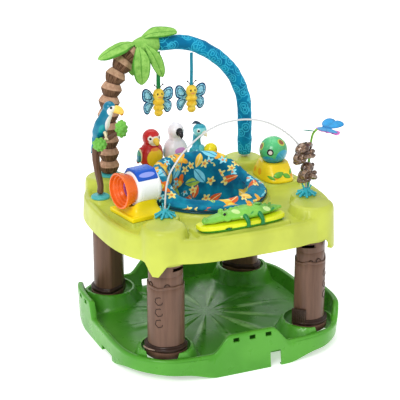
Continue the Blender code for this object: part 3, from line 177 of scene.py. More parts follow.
def frameAt(path, i, side):
    # the two directions that a ring lies in at this point of the path
    run = (path[min(i + 1, len(path) - 1)] - path[max(i - 1, 0)]).normalized()
    across = (Vector(side) - run * run.dot(Vector(side))).normalized()
    return across, across.cross(run)


def valueAt(values, at):
    i = min(int(at), len(values) - 2)
    return values[i] + (values[i + 1] - values[i]) * (at - i)


def tubeRings(path, radii, sides, side=(0, 1, 0), flat=1.0):
    rings = []
    turn = [math.tau * k / sides for k in range(sides)]
    for i, (centre, radius) in enumerate(zip(path, radii)):
        across, up = frameAt(path, i, side)
        rings.append([centre + across * (radius * flat * math.cos(a)) + up * (radius * math.sin(a))
            for a in turn])
    return rings


def tubePiece(name, points, radii, sides=16, side=(0, 1, 0), flat=1.0, steps=0):
    if steps:
        path = softPath(points, steps)
        spread = []
        for k in range(steps + 1):
            at = k * (len(radii) - 1) / steps
            i = min(int(at), len(radii) - 2)
            share = at - i
            share = share * share * (3 - 2 * share)
            spread.append(radii[i] + (radii[i + 1] - radii[i]) * share)
        radii = spread
    else:
        path = [Vector(point) for point in points]
    return skinRings(name, tubeRings(path, radii, sides, side, flat))


def ballPiece(name, radius, centre, squash=(1, 1, 1), turn=(0, 0, 0), columns=24, rows=16):
    deselectAll()
    bpy.ops.mesh.primitive_uv_sphere_add(
        segments=columns, ring_count=rows, radius=radius, location=centre, rotation=turn)
    piece = named(name)
    piece.scale = squash
    return settle(piece)


def blockPiece(name, size, centre, edge=0.002, steps=3, turn=(0, 0, 0)):
    deselectAll()
    bpy.ops.mesh.primitive_cube_add(size=1, location=centre, rotation=turn)
    piece = named(name)
    piece.scale = size
    settle(piece)
    if edge:
        applyModifier(piece, "BEVEL", width=edge, segments=steps, limit_method="NONE")
    return piece


def cylinderPiece(name, radius, low, high, centre=(0, 0), count=48):
    return skinRings(name, [roundRing(radius, low, count, centre), roundRing(radius, high, count, centre)])


def joined(name, pieces):
    deselectAll()
    for piece in pieces:
        piece.select_set(True)
    bpy.context.view_layer.objects.active = pieces[0]
    if len(pieces) > 1:
        bpy.ops.object.join()
    return named(name)


def combined(piece, tool, how):
    applyModifier(piece, "BOOLEAN", operation=how, solver="EXACT", object=tool)
    bpy.data.objects.remove(tool, do_unlink=True)
    return piece


def melted(name, pieces, grain=0.0015, rounds=6, factor=0.6):
    # the shapes are joined, remeshed as one skin and eased
    piece = joined(name, pieces)
    applyModifier(piece, "REMESH", mode="VOXEL", voxel_size=grain, adaptivity=0.0)
    applyModifier(piece, "SMOOTH", factor=factor, iterations=rounds)
    return piece


def moved(piece, place=(0, 0, 0), turn=(0, 0, 0)):
    piece.location = place
    piece.rotation_euler = turn
    return settle(piece)


def twin(piece, name):
    double = piece.copy()
    double.data = piece.data.copy()
    scene.collection.objects.link(renamed(double, name))
    return double


def grounded(piece, floor=0.0):
    for vert in piece.data.vertices:
        vert.co.z = max(vert.co.z, floor)
    return piece


def squaredRing(halfX, halfY, powers, level, count, centre):
    # a rounded rectangle: lower powers make squarer corners
    ring = []
    for i in range(count):
        angle = math.tau * i / count
        c, s = math.cos(angle), math.sin(angle)
        ring.append((centre[0] + halfX * math.copysign(abs(c) ** powers[0], c),
                     centre[1] + halfY * math.copysign(abs(s) ** powers[1], s), level))
    return ring


def paintOn(at, turn):
    # painted areas in the toy's own frame: place, reach each way, colour, tilt
    return lambda place, reach, colour, tilt=(0, 0): (at(*place), reach, (*tilt, turn), colour)


def toyPlace(place, degrees):
    # a toy's own points, pieces and paint spots, brought to its place on the tray
    turn = math.radians(degrees)
    spin = Matrix.Rotation(turn, 3, "Z")

    def at(x, y, z):
        return tuple(Vector(place) + spin @ Vector((x, y, z)))

    def setDown(piece):
        return moved(piece, place, (0, 0, turn))

    return at, setDown, paintOn(at, turn)


def finishPiece(piece, material, body, nodes=(), degrees=40):
    piece.data.materials.clear()
    piece.data.materials.append(material)
    smoothShade(piece, degrees)
    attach(piece, body)
    if nodes:
        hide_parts(*nodes)
    return piece


def smoothStep(low, high, value):
    share = min(1.0, max(0.0, (value - low) / (high - low)))
    return share * share * (3 - 2 * share)


def smoothMax(a, b, ease):
    gap = max(ease - abs(a - b), 0.0) / ease
    return max(a, b) + gap * gap * ease * 0.25


# Materials
def startMaterial(name):
    material = bpy.data.materials.new(name)
    material.use_nodes = True
    tree = material.node_tree
    shader = tree.nodes["Principled BSDF"]
    coords = tree.nodes.new("ShaderNodeTexCoord")
    return material, tree, shader, coords.outputs["Object"]


def addNode(tree, kind, **settings):
    node = tree.nodes.new(kind)
    for key, value in settings.items():
        setattr(node, key, value)
    return node


def setSocket(tree, socket, value):
    # numbers and colours are set on the socket, and an output is linked to it
    if isinstance(value, (int, float, tuple)):
        socket.default_value = value
    else:
        tree.links.new(value, socket)


shaderSockets = {
    "tone": "Base Color", "rough": "Roughness", "metal": "Metallic", "specular": "Specular IOR Level",
    "coat": "Coat Weight", "coatRough": "Coat Roughness", "sheen": "Sheen Weight",
    "sheenRough": "Sheen Roughness", "sheenTint": "Sheen Tint", "glow": "Emission Color",
    "glowPower": "Emission Strength",
}


def dress(tree, shader, **values):
    for key, value in values.items():
        setSocket(tree, shader.inputs[shaderSockets[key]], value)


def mathNode(tree, operation, *values):
    node = addNode(tree, "ShaderNodeMath", operation=operation)
    for socket, value in zip(node.inputs, values):
        setSocket(tree, socket, value)
    return node.outputs[0]


def vectorNode(tree, operation, *values):
    node = addNode(tree, "ShaderNodeVectorMath", operation=operation)
    for socket, value in zip(node.inputs, values):
        setSocket(tree, socket, value)
    return node.outputs["Value"] if operation == "LENGTH" else node.outputs[0]


def plus(tree, a, b):
    return mathNode(tree, "ADD", a, b)


def less(tree, a, b):
    return mathNode(tree, "SUBTRACT", a, b)


def times(tree, a, b):
    return mathNode(tree, "MULTIPLY", a, b)


def larger(tree, a, b):
    return mathNode(tree, "MAXIMUM", a, b)


def apart(tree, a, b):
    return mathNode(tree, "ABSOLUTE", less(tree, a, b))


def ramp(tree, value, low, high, start=0.0, end=1.0):
    node = addNode(tree, "ShaderNodeMapRange", interpolation_type="SMOOTHSTEP")
    tree.links.new(value, node.inputs["Value"])
    for key, limit in (("From Min", low), ("From Max", high), ("To Min", start), ("To Max", end)):
        node.inputs[key].default_value = limit
    return node.outputs["Result"]


def blended(tree, factor, first, second):
    node = addNode(tree, "ShaderNodeMix", data_type="RGBA", blend_type="MIX")
    for key, value in (("Factor", factor), ("A", first), ("B", second)):
        setSocket(tree, node.inputs[key], (*value, 1.0) if isinstance(value, tuple) else value)
    return node.outputs["Result"]


def noiseNode(tree, coords, scale, detail=3.0, roughness=0.5):
    node = addNode(tree, "ShaderNodeTexNoise")
    node.inputs["Scale"].default_value = scale
    node.inputs["Detail"].default_value = detail
    node.inputs["Roughness"].default_value = roughness
    tree.links.new(coords, node.inputs["Vector"])
    return node.outputs["Fac"]


def addBump(tree, shader, height, strength, distance):
    bump = addNode(tree, "ShaderNodeBump")
    bump.inputs["Strength"].default_value = strength
    bump.inputs["Distance"].default_value = distance
    tree.links.new(height, bump.inputs["Height"])
    tree.links.new(bump.outputs["Normal"], shader.inputs["Normal"])


def spotMask(tree, coords, centre, radii, turn):
    mapping = addNode(tree, "ShaderNodeMapping", vector_type="TEXTURE")
    for key, value in (("Location", centre), ("Rotation", turn), ("Scale", radii)):
        mapping.inputs[key].default_value = value
    tree.links.new(coords, mapping.inputs["Vector"])
    reach = vectorNode(tree, "LENGTH", mapping.outputs["Vector"])
    return ramp(tree, reach, 0.94, 1.06, 1.0, 0.0)


def stretched(tree, coords, scale):
    mapping = addNode(tree, "ShaderNodeMapping")
    mapping.inputs["Scale"].default_value = scale
    tree.links.new(coords, mapping.inputs["Vector"])
    return mapping.outputs["Vector"]


def splitAxes(tree, vector):
    node = addNode(tree, "ShaderNodeSeparateXYZ")
    tree.links.new(vector, node.inputs[0])
    return node.outputs


def mottled(tree, coords, scale, low, high, first, second):
    # two tones that run into each other in soft patches
    return blended(tree, ramp(tree, noiseNode(tree, coords, scale), low, high), first, second)


def mouldedPlastic(name, colour, roughness=0.34, spots=(), grain=0.25, coat=0.15, deepen=0.1):
    # spots are painted areas: place, reach each way, turn, colour
    material, tree, shader, coords = startMaterial(name)
    broad = noiseNode(tree, coords, 9.0, 3.0)
    fine = noiseNode(tree, coords, 900.0, 2.0, 0.6)
    dark = tuple(channel * (1.0 - deepen) for channel in colour)
    light = tuple(min(1.0, channel * (1.0 + deepen * 0.6)) for channel in colour)
    base = blended(tree, ramp(tree, broad, 0.35, 0.65), dark, light)
    for centre, radii, turn, spotColour in spots:
        base = blended(tree, spotMask(tree, coords, centre, radii, turn), base, spotColour)
    dress(tree, shader, tone=base, rough=ramp(tree, noiseNode(tree, coords, 30.0, 4.0), 0.3, 0.7,
        roughness * 0.85, roughness * 1.2), coat=coat, coatRough=0.22, specular=0.34)
    addBump(tree, shader, fine, grain, 0.0002)
    return material


def plushCloth(name, colour, second, spots):
    material, tree, shader, coords = startMaterial(name)
    broad = noiseNode(tree, coords, 34.0, 4.0, 0.6)
    pile = noiseNode(tree, coords, 620.0, 3.0, 0.7)
    base = blended(tree, ramp(tree, broad, 0.32, 0.68), second, colour)
    shade = tuple(min(1.0, channel * 1.18) for channel in colour)
    base = blended(tree, ramp(tree, pile, 0.45, 0.75, 0.0, 0.45), base, shade)
    for centre, radii, turn, spotColour in spots:
        base = blended(tree, spotMask(tree, coords, centre, radii, turn), base, spotColour)
    dress(tree, shader, tone=base, rough=0.88, sheen=0.16, sheenRough=0.45, specular=0.2)
    height = plus(tree, times(tree, pile, 0.6), broad)
    addBump(tree, shader, height, 0.55, 0.0009)
    return material


def barkPlastic(name, colour):
    material, tree, shader, coords = startMaterial(name)
    grain = noiseNode(tree, stretched(tree, coords, (60.0, 60.0, 5.0)), 1.0, 4.0, 0.6)
    fine = noiseNode(tree, coords, 700.0, 2.0, 0.6)
    dark = tuple(channel * 0.84 for channel in colour)
    light = tuple(min(1.0, channel * 1.1) for channel in colour)
    base = blended(tree, ramp(tree, grain, 0.35, 0.65), dark, light)
    dress(tree, shader, tone=base, rough=ramp(tree, grain, 0.3, 0.7, 0.32, 0.46), coat=0.12, specular=0.3)
    height = plus(tree, times(tree, fine, 0.4), grain)
    addBump(tree, shader, height, 0.25, 0.0003)
    return material


def wrapCoords(tree):
    return addNode(tree, "ShaderNodeUVMap", uv_map="wrap").outputs["UV"]


# Camera and light
def placeCamera():
    look = {"place": (-1.68739, -3.75941, 1.92227), "down": 19.9, "round": -23.9, "lens": 126}
    data = bpy.data.cameras.new("camera")
    camera = bpy.data.objects.new("camera", data)
    scene.collection.objects.link(camera)
    camera.location = look["place"]
    camera.rotation_euler = (math.radians(90 - look["down"]), 0, math.radians(look["round"]))
    data.lens = look["lens"]
    data.sensor_width = 36
    data.clip_end = 50
    scene.camera = camera


def softBox(name, place, size, power):
    data = bpy.data.lights.new(name, "AREA")
    data.shape = "RECTANGLE"
    data.size = size[0]
    data.size_y = size[1]
    data.energy = power
    lamp = bpy.data.objects.new(name, data)
    scene.collection.objects.link(lamp)
    lamp.location = place
    lamp.rotation_euler = (Vector((0, 0, 0.45)) - Vector(place)).to_track_quat("-Z", "Y").to_euler()


def lightStudio():
    softBox("keyBox", (-2.6, -2.4, 3.0), (1.6, 1.6), 62)
    softBox("fillBox", (2.8, -2.2, 2.2), (2.4, 2.4), 7)
    softBox("topBox", (0.2, 0.6, 3.4), (2.4, 2.4), 22)
    softBox("backBox", (0.6, 3.2, 1.8), (2.4, 1.8), 9)
    world = bpy.data.worlds.new("studio")
    world.use_nodes = True
    sky = world.node_tree.nodes["Background"].inputs
    sky["Color"].default_value = (0.97, 0.985, 1.0, 1)
    sky["Strength"].default_value = 0.56
    scene.world = world
    scene.view_settings.view_transform = "Standard"
    scene.view_settings.look = "Medium High Contrast"


def layFloor():
    deselectAll()
    bpy.ops.mesh.primitive_plane_add(size=60, location=(0, 0, -0.0005))
    floor = named("studioFloor")
    material, tree, shader, coords = startMaterial("studioFloor")
    tone = blended(tree, ramp(tree, noiseNode(tree, coords, 1.2, 2.0), 0.3, 0.7), (0.93, 0.93, 0.93),
        (0.96, 0.96, 0.96))
    dress(tree, shader, tone=tone, rough=0.75, glow=tone, glowPower=0.42)
    floor.data.materials.append(material)


placeCamera()
lightStudio()
layFloor()
print("studio ready")


# Base tray
basePlan = {
    "front": 0.34, "back": 0.355, "side": 0.372, "diagonal": 0.43, "power": 16,
    "spread": 0.013, "rimLow": 0.07, "rimRaised": 0.122, "cornerLift": 0.022,
    "floorEdge": 0.03, "floorRise": 0.02, "legs": 0.24, "hole": 0.0745,
    "collarTop": 0.085, "collarTopRadius": 0.083, "collarFootRadius": 0.108, "around": 432,
    "inset": 0.034, "floorUnder": 0.026, "ventLevel": 0.1065, "ventSize": (0.02, 0.034, 0.013),
}


def planRadius(angle, walls, power):
    total = 0.0
    for heading, distance in walls:
        facing = math.cos(angle - math.radians(heading))
        if facing > 0:
            total += (facing / distance) ** power
    return total ** (-1.0 / power)


def baseWalls(grow=0.0, side=0.0, corner=0.0):
    b = basePlan
    walls = [(270, b["front"] + grow), (90, b["back"] + grow), (0, b["side"] - side),
        (180, b["side"] - side)]
    return walls + [(turn, b["diagonal"] - corner) for turn in (45, 135, 225, 315)]


legPlaces = {
    "left": (-0.24, 0.24, 45), "front": (-0.24, -0.24, 135),
    "right": (0.24, -0.24, 225), "back": (0.24, 0.24, 315),
}


def baseRimLevel(angle):
    b = basePlan
    radius = planRadius(angle, baseWalls(), b["power"])
    x = radius * math.cos(angle)
    y = radius * math.sin(angle)
    if abs(y) > 0.3:
        raised = 1 - smoothStep(0.07, 0.132, abs(x))
    else:
        reach = y if x < 0 else -y
        raised = smoothStep(0.052, 0.074, reach) * (1 - smoothStep(0.235, 0.285, reach))
    return b["rimLow"] + (b["rimRaised"] - b["rimLow"]) * raised


def baseFootLevel(angle):
    return basePlan["cornerLift"] * smoothStep(0.35, 0.85, math.sin(2 * angle) ** 2)


def leafRidge(angle, share):
    # fronds fan out from the middle, each with a raised keel and hollow flanks
    wave = math.cos(12 * angle + 0.5 * math.sin(3 * angle))
    keel = max(0.0, wave) ** 2.2
    reach = smoothStep(0.03, 0.3, share) * (1 - smoothStep(0.58 + 0.14 * math.cos(6 * angle), 0.92, share))
    return 0.0032 * reach * (keel - 0.3)


def baseFloorLevel(x, y):
    b = basePlan
    angle = math.atan2(y, x)
    edge = planRadius(angle, baseWalls(), b["power"]) - b["inset"]
    share = min(1.0, math.hypot(x, y) / edge)
    level = b["floorEdge"] + b["floorRise"] * (1 - share * share) + leafRidge(angle, share)
    for lx, ly, _ in legPlaces.values():
        away = math.hypot(x - lx, y - ly)
        slope = (b["collarTop"] - b["floorUnder"]) / (b["collarFootRadius"] - b["collarTopRadius"])
        cone = min(b["collarTop"], b["collarTop"] - (away - b["collarTopRadius"]) * slope)
        if cone > level - 0.02:
            level = smoothMax(level, cone, 0.01)
    return level


def baseRings():
    b = basePlan
    n = b["around"]
    angles = [math.tau * i / n for i in range(n)]
    top = [planRadius(a, baseWalls(), b["power"]) for a in angles]
    foot = [planRadius(a, baseWalls(b["spread"], 0.002, 0.006), b["power"]) for a in angles]
    rim = [baseRimLevel(a) for a in angles]
    lift = [baseFootLevel(a) for a in angles]

    def ring(radii, levels):
        return [(r * math.cos(a), r * math.sin(a), z) for r, a, z in zip(radii, angles, levels)]

    def wallRing(share):
        radii = [f + (t - f) * share for f, t in zip(foot, top)]
        return ring(radii, [low + (high - low) * share for low, high in zip(lift, rim)])

    rings = [
        ring([0.03] * n, [0.0] * n),
        ring([0.03] * n, [0.036] * n),
        ring([0.034] * n, [0.04] * n),
        ring([(t - b["inset"]) * 0.4 for t in top], [0.0393] * n),
        ring([(t - b["inset"]) * 0.72 for t in top], [0.0326] * n),
        ring([t - 0.03 for t in top], [b["floorUnder"]] * n),
        ring([t - 0.0145 for t in top], [z - 0.006 for z in rim]),
        ring([t - 0.006 for t in top], [z - 0.006 for z in rim]),
        ring([f - 0.004 for f in foot], [z + 0.004 for z in lift]),
        ring([f - 0.012 for f in foot], [z + 0.004 for z in lift]),
        ring([f - 0.012 for f in foot], lift),
        ring([f - 0.0015 for f in foot], lift),
        ring([f - 0.0003 for f in foot], [z + 0.0006 for z in lift]),
        ring(foot, [z + 0.0022 for z in lift]),
    ]
    rings += [wallRing(share) for share in (0.12, 0.3, 0.5, 0.7, 0.84)]
    for inset, drop in ((0.0, 0.0085), (0.0008, 0.0048), (0.0026, 0.0019), (0.0052, 0.0004), (0.0085, 0.0),
                        (0.0125, 0.0), (0.0152, 0.0005), (0.0172, 0.002), (0.0184, 0.0048)):
        rings.append(ring([t - inset for t in top], [z - drop for z in rim]))
    for share in (0.2, 0.42, 0.64, 0.82, 0.93):
        radii = [t - 0.0184 - 0.015 * share for t in top]
        levels = []
        for r, a, z in zip(radii, angles, rim):
            inner = (z - 0.005) + (b["floorEdge"] - z + 0.005) * share
            x, y = r * math.cos(a), r * math.sin(a)
            levels.append(smoothMax(inner, baseFloorLevel(x, y), 0.006))
        rings.append(ring(radii, levels))
    steps = 56
    for k in range(steps):
        share = 1 - k / steps
        radii = [(t - b["inset"]) * share for t in top]
        levels = [baseFloorLevel(r * math.cos(a), r * math.sin(a)) for r, a in zip(radii, angles)]
        rings.append(ring(radii, levels))
    return rings


def baseTools():
    # leg holes, side vents, notches and reliefs
    b = basePlan
    tools = []
    for lx, ly, _ in legPlaces.values():
        tools.append(cylinderPiece("hole", b["hole"], 0.0, 0.16, (lx, ly), 64))
    wide, deep, high = b["ventSize"]
    for side in (-1, 1):
        half = b["front"] if side < 0 else b["back"]
        for step in (-1, 0, 1):
            tools.append(blockPiece("vent", (wide, deep, high), (step * 0.0535, side * (half + 0.004),
                b["ventLevel"]), 0.0015, 2))
            reach = -side * (0.159 + step * 0.0508)
            tools.append(blockPiece("vent", (deep, wide, high), (side * 0.376, reach, b["ventLevel"]),
                0.0015, 2))
        tools.append(blockPiece("notch", (0.036, 0.07, 0.1), (-side * 0.076, side * 0.35, 0.0), 0.003, 2))
        tools.append(blockPiece("relief", (0.08, 0.088, 0.036), (side * 0.372, side * 0.076, 0.0), 0.003,
            2))
    return joined("cutters", tools)


def springBars():
    bars = []
    for lx, ly, turn in legPlaces.values():
        bars.append(blockPiece("bar", (0.036, 0.1485, 0.008), (lx, ly, 0.028), 0.001, 2,
            (0, 0, math.radians(turn))))
    return joined("springBars", bars)


def greenBasePlastic():
    material, tree, shader, coords = startMaterial("greenBasePlastic")
    broad = noiseNode(tree, coords, 7.0, 3.0)
    fine = noiseNode(tree, coords, 900.0, 2.0, 0.6)
    tone = blended(tree, ramp(tree, broad, 0.35, 0.65), (0.088, 0.335, 0.032), (0.116, 0.395, 0.044))
    # painted shade: the middle of the base, which lies under the tray, is darkened towards deep green
    spread = vectorNode(tree, "MULTIPLY", coords, (1, 1, 0))
    reach = vectorNode(tree, "LENGTH", spread)
    inside = ramp(tree, reach, 0.2, 0.36, 1.0, 0.0)
    tone = blended(tree, times(tree, inside, 0.7), tone, (0.034, 0.2, 0.018))
    # painted highlights: pale fronds that fan out from the middle, wide in their middle and pointed at both
    # ends, as light catching the raised leaves
    parts = splitAxes(tree, spread)
    angle = mathNode(tree, "ARCTAN2", parts["Y"], parts["X"])
    sway = times(tree, mathNode(tree, "SINE", times(tree, angle, 3.0)), 0.5)
    wave = mathNode(tree, "COSINE", plus(tree, times(tree, angle, 12.0), sway))
    share = mathNode(tree, "DIVIDE", reach, 0.235)
    swell = times(tree, times(tree, share, less(tree, 1.0, share)), 3.4)
    frond = ramp(tree, plus(tree, wave, swell), 0.95, 1.55)
    patchy = ramp(tree, noiseNode(tree, coords, 13.0, 3.0), 0.4, 0.62)
    pale = times(tree, times(tree, frond, patchy), 0.56)
    tone = blended(tree, times(tree, pale, inside), tone, (0.4, 0.64, 0.33))
    dress(tree, shader, tone=tone, rough=ramp(tree, noiseNode(tree, coords, 26.0, 4.0), 0.3, 0.7, 0.26,
        0.38), coat=0.22, coatRough=0.18, specular=0.36)
    addBump(tree, shader, fine, 0.22, 0.0002)
    return material


def buildBase():
    base = skinRings("base_shell", baseRings())
    combined(base, baseTools(), "DIFFERENCE")
    bars = springBars()
    material = greenBasePlastic()
    finishPiece(base, material, "base", ("base_tray",), 34)
    finishPiece(bars, material, "base", (), 34)
    print("base tray", len(base.data.polygons))


buildBase()


# Legs
legShape = {
    "outer": 0.057, "arc": -0.006, "crease": -0.046, "cheek": 0.05, "depth": -0.03,
    "bottom": 0.056, "top": 0.29, "ringLow": 0.062, "ringHigh": 0.082, "ringGrowth": 0.009,
    "sleeveInset": 0.0036, "sleeveBottom": 0.2, "sleeveTop": 0.4545, "slotLevel": 0.342,
    "wall": 0.003, "web": (0.082, 0.086), "coil": (0.0339, 0.0596, 0.016),
    "innerCoil": (0.0565, 0.0798, 0.012),
}


def legOutline(inset, flange):
    arcSteps = 28
    s = legShape
    radius = s["outer"] - inset + flange
    points = []
    for i in range(arcSteps + 1):
        angle = math.pi * i / arcSteps
        points.append(Vector((radius * math.cos(angle), s["arc"] + radius * math.sin(angle))))
    cheek = s["cheek"] - inset + flange * 0.9
    depth = s["depth"] + inset * 0.6 - flange * 0.15
    left = Vector((-cheek, depth))
    right = Vector((cheek, depth))
    crease = Vector((0.0, s["crease"] + inset * 1.15 - flange * 0.17))
    corners = [points[-1], left, crease, right, points[0]]
    for i in (1, 2, 3):
        before, here, after = corners[i - 1:i + 2]
        ease = 0.006 if i != 2 else 0.01
        a = here + (before - here).normalized() * min(ease, (before - here).length * 0.45)
        c = here + (after - here).normalized() * min(ease, (after - here).length * 0.45)
        for t in (0.0, 0.25, 0.5, 0.75, 1.0):
            points.append(a * (1 - t) ** 2 + here * 2 * t * (1 - t) + c * t * t)
        if i < 3:
            following = corners[i + 1] + (here - corners[i + 1]).normalized() * 0.01
            points.append((c + following) / 2)
    return points


def legLoop(inset, level, flange=0.0, wave=0.0):
    ring = []
    for point in legOutline(inset, flange):
        angle = math.atan2(point.y, point.x)
        rise = wave * (math.sin(3.0 * angle + 0.6) + 0.5 * math.sin(7.0 * angle)) * smoothStep(-0.3, 0.3,
            math.sin(angle))
        ring.append((point.x, point.y, level + rise))
    return ring


def legPostPiece():
    s = legShape
    wave = 0.0028
    top, high, low, growth = s["top"], s["ringHigh"], s["ringLow"], s["ringGrowth"]
    rings = [legLoop(s["wall"], s["bottom"]), legLoop(s["wall"], high)]
    # the lip, thinned to its rim, and a groove under it
    for inset, drop in ((0.003, 0.006), (0.003, 0.0005), (0.002, 0.0), (0.0008, 0.0004), (0.0, 0.0018),
                        (0.0, 0.0075), (0.0009, 0.0086), (0.0, 0.0098)):
        rings.append(legLoop(inset, top - drop, 0, wave))
    rings += [legLoop(0.0, level) for level in (0.26, 0.22, 0.18, 0.14, 0.105)]
    # the ring that stands in the base's collar
    for inset, level, flange in ((0.0, high + 0.004, 0.0), (0.0006, high + 0.0012, 0.0022),
            (0.0, high, growth * 0.75), (0.0, high - 0.002, growth), (0.0, low + 0.002, growth),
            (0.0, low, growth * 0.8), (0.0, low - 0.0005, 0.001), (0.0, s["bottom"], 0.0)):
        rings.append(legLoop(inset, level, flange))
    post = skinRings("legPost", rings, closed=True)
    # the web that rests on the spring, carried inside the post
    web = skinRings("web", [legLoop(s["wall"], level) for level in s["web"]])
    return joined("legPost", [post, web])


def footRingPiece():
    # raised dark ring round the post, just over the base's leg collar
    growth = legShape["ringGrowth"]
    steps = [(0.0834, 0.0), (0.0834, 0.8), (0.0846, 0.95), (0.0858, 1.05), (0.09, 1.15), (0.0925, 1.1),
        (0.0945, 0.85), (0.0952, 0.55), (0.0975, 0.42), (0.099, 0.3), (0.0998, 0.0)]
    rings = [legLoop(-0.0003 if share == 0.0 else 0.0, level, growth * share, 0.0006 if level > 0.09
        else 0.0) for level, share in steps]
    return skinRings("footRing", rings, closed=True)


def legMarksPiece():
    parts = [barkRing(level) for level in (0.2456, 0.2097, 0.174)]
    parts += [barkCurl(-0.62, 0.011), barkCurl(0.42, 0.012), barkCurl(0.95, 0.008)]
    return joined("legMarks", parts)


def onLeg(angle, level, proud=0.0):
    radius = legShape["outer"] + proud
    return Vector((radius * math.sin(angle), legShape["arc"] + radius * math.cos(angle), level))


def barkRing(level):
    # an open ring in relief on the outer face
    rings = []
    count = 34
    for k in range(count + 1):
        turn = math.radians(-30 + 292 * k / count)
        size = 0.0118 + 0.0008 * math.sin(k * 0.9)
        spot = onLeg(size * math.sin(turn) / legShape["outer"], level + size * math.cos(turn), 0.0)
        rings.append(spot)
    radii = [0.0005] + [0.0013] * (count - 1) + [0.0005]
    return skinRings("barkRing", tubeRings(rings, radii, 8, (0, 1, 0)))


def barkCurl(angle, size):
    points = []
    for k in range(16):
        share = k / 15
        turn = share * 4.4
        reach = size * (1 - 0.62 * share)
        points.append(onLeg(angle + (size - reach * math.cos(turn)) / legShape["outer"],
            0.2905 + reach * math.sin(turn), -0.0022))
    radii = [0.0006] + [0.0013] * 14 + [0.0005]
    return skinRings("barkCurl", tubeRings(points, radii, 8, (0, 1, 0)))


def legSleevePiece():
    s = legShape
    inset = s["sleeveInset"]
    foot, top = s["sleeveBottom"], s["sleeveTop"]
    rows = [(0.004, foot), (0.0006, foot), (0.0, foot + 0.001), (0.0, 0.24), (0.0, 0.28), (0.0, 0.3),
        (0.0, 0.318), (0.0008, 0.3195), (0.0, 0.321), (0.0, 0.36), (0.0, 0.4), (0.0, top), (0.004, top),
        (0.004, 0.3)]
    rings = [legLoop(inset + more, level) for more, level in rows]
    sleeve = skinRings("legSleeve", rings, closed=True)
    tools = []
    for side in (-1, 1):
        tools.append(blockPiece("slot", (0.03, 0.06, 0.01), (side * 0.052, 0.02, s["slotLevel"]), 0.001, 2))
    return combined(sleeve, joined("slots", tools), "DIFFERENCE")


def springPiece(name, place, low, high, reach):
    # a coil of two turns
    steps = 24
    points = []
    for k in range(2 * steps + 1):
        turn = math.tau * k / steps
        points.append(Vector((place[0] + reach * math.cos(turn), place[1] + reach * math.sin(turn),
                              low + (high - low) * k / (2 * steps))))
    return skinRings(name, tubeRings(points, [0.0016] * len(points), 8, (0, 0, 1)))


def buildLegs():
    brown = barkPlastic("brownLegPlastic", (0.172, 0.098, 0.068))
    # this dark brown is painted shade on the bark rings and curls, whose relief is the leg's own brown; it
    # also colours the foot rings
    groove = barkPlastic("grooveBrownPlastic", (0.045, 0.022, 0.015))
    dark = barkPlastic("darkBrownPlastic", (0.06, 0.036, 0.024))
    steel, tree, shader, coords = startMaterial("springSteel")
    tone = blended(tree, ramp(tree, noiseNode(tree, coords, 300.0), 0.3, 0.7), (0.45, 0.46, 0.48),
        (0.6, 0.61, 0.63))
    dress(tree, shader, tone=tone, metal=1.0, rough=0.32)
    post = legPostPiece()
    marks = legMarksPiece()
    footRing = footRingPiece()
    sleeve = legSleevePiece()
    for name, (x, y, turn) in legPlaces.items():
        shared = [
            (post, "leg_post_shell_", brown, "legs", ("leg_post_" + name,), 45),
            (marks, "leg_marks_", groove, "legs", (), 60),
            (footRing, "leg_foot_ring_", groove, "legs", (), 45),
            (sleeve, "leg_sleeve_shell_", brown, "tray", ("leg_sleeve_" + name,), 35),
        ]
        for piece, start, material, body, nodes, degrees in shared:
            copy = moved(twin(piece, start + name), (x, y, 0), (0, 0, math.radians(turn)))
            finishPiece(copy, material, body, nodes, degrees)
        # two coils, one in the other, so the spring shortens when the legs sink
        outer = springPiece("coil_" + name, (x, y), *legShape["coil"])
        finishPiece(outer, steel, "base", ("bounce_spring_" + name,), 60)
        inner = springPiece("inner_coil_" + name, (x, y), *legShape["innerCoil"])
        finishPiece(inner, steel, "legs", (), 60)
    for piece in (post, marks, footRing, sleeve):
        bpy.data.objects.remove(piece, do_unlink=True)
    # ribbed pad on the right leg's inner side, in dark brown: painted shade of the shaded inner face
    ribs = [blockPiece("pad", (0.008, 0.044, 0.05), (0.0605, -0.01, 0.111), 0.0012, 2)]
    for k in range(7):
        ribs.append(blockPiece("rib", (0.0022, 0.003, 0.046), (0.0648, -0.028 + k * 0.006, 0.111), 0.0007,
            2))
    pad = joined("leg_foot_pad", ribs)
    x, y, turn = legPlaces["right"]
    finishPiece(moved(pad, (x, y, 0), (0, 0, math.radians(turn))), dark, "legs", (), 30)
    # small pale latch at the front leg's foot: a light-brown clip, its pale tone partly a painted highlight
    # on the foot ring
    latch = []
    for k in range(8):
        latch.append(onLeg(0.15 + 0.115 * k, 0.0905 - 0.0006 * k, 0.0098 + 0.0005 * k))
    latch = skinRings("leg_foot_latch",
        tubeRings(latch, [0.0016, 0.0034, 0.0036, 0.0036, 0.0036, 0.0036, 0.0034, 0.0016], 12, (0, 0, 1),
        0.5))
    x, y, turn = legPlaces["front"]
    light = barkPlastic("paleBrownPlastic", (0.42, 0.3, 0.235))
    finishPiece(moved(latch, (x, y, 0), (0, 0, math.radians(turn))), light, "legs", (), 50)
    print("legs and springs")


buildLegs()


# Play tray
trayPlan = {
    "front": 0.338, "side": 0.362, "diagonal": 0.4, "power": 10, "skirt": 0.369, "rim": 0.441,
    "deck": 0.442, "collar": 0.452, "hole": 0.168, "boss": 0.067, "bossOut": 1.013, "bossTop": 0.47,
    "around": 528,
    "tongueTop": 0.036, "tongueTip": 0.011, "tongueLow": 0.332, "pad": 0.4466,
    "topEdge": 0.0125, "underEdge": 0.0155, "underHole": 0.186, "round": 0.006,
}
# round steps: place, radius, top
trayRounds = [((-0.21, -0.18), 0.04, 0.4693), ((0.258, -0.172), 0.046, 0.4693),
    ((0.284, -0.135), 0.026, 0.4693), ((-0.31, 0.113), 0.033, 0.4466)]
# flat pads: place, width and depth, turn
trayPads = [((0.012, 0.283), (0.278, 0.072), 0.0), ((-0.255, -0.066), (0.126, 0.142), 190.0),
            ((0.273, 0.08), (0.112, 0.158), 0.0), ((-0.012, -0.272), (0.3, 0.084), 3.0)]


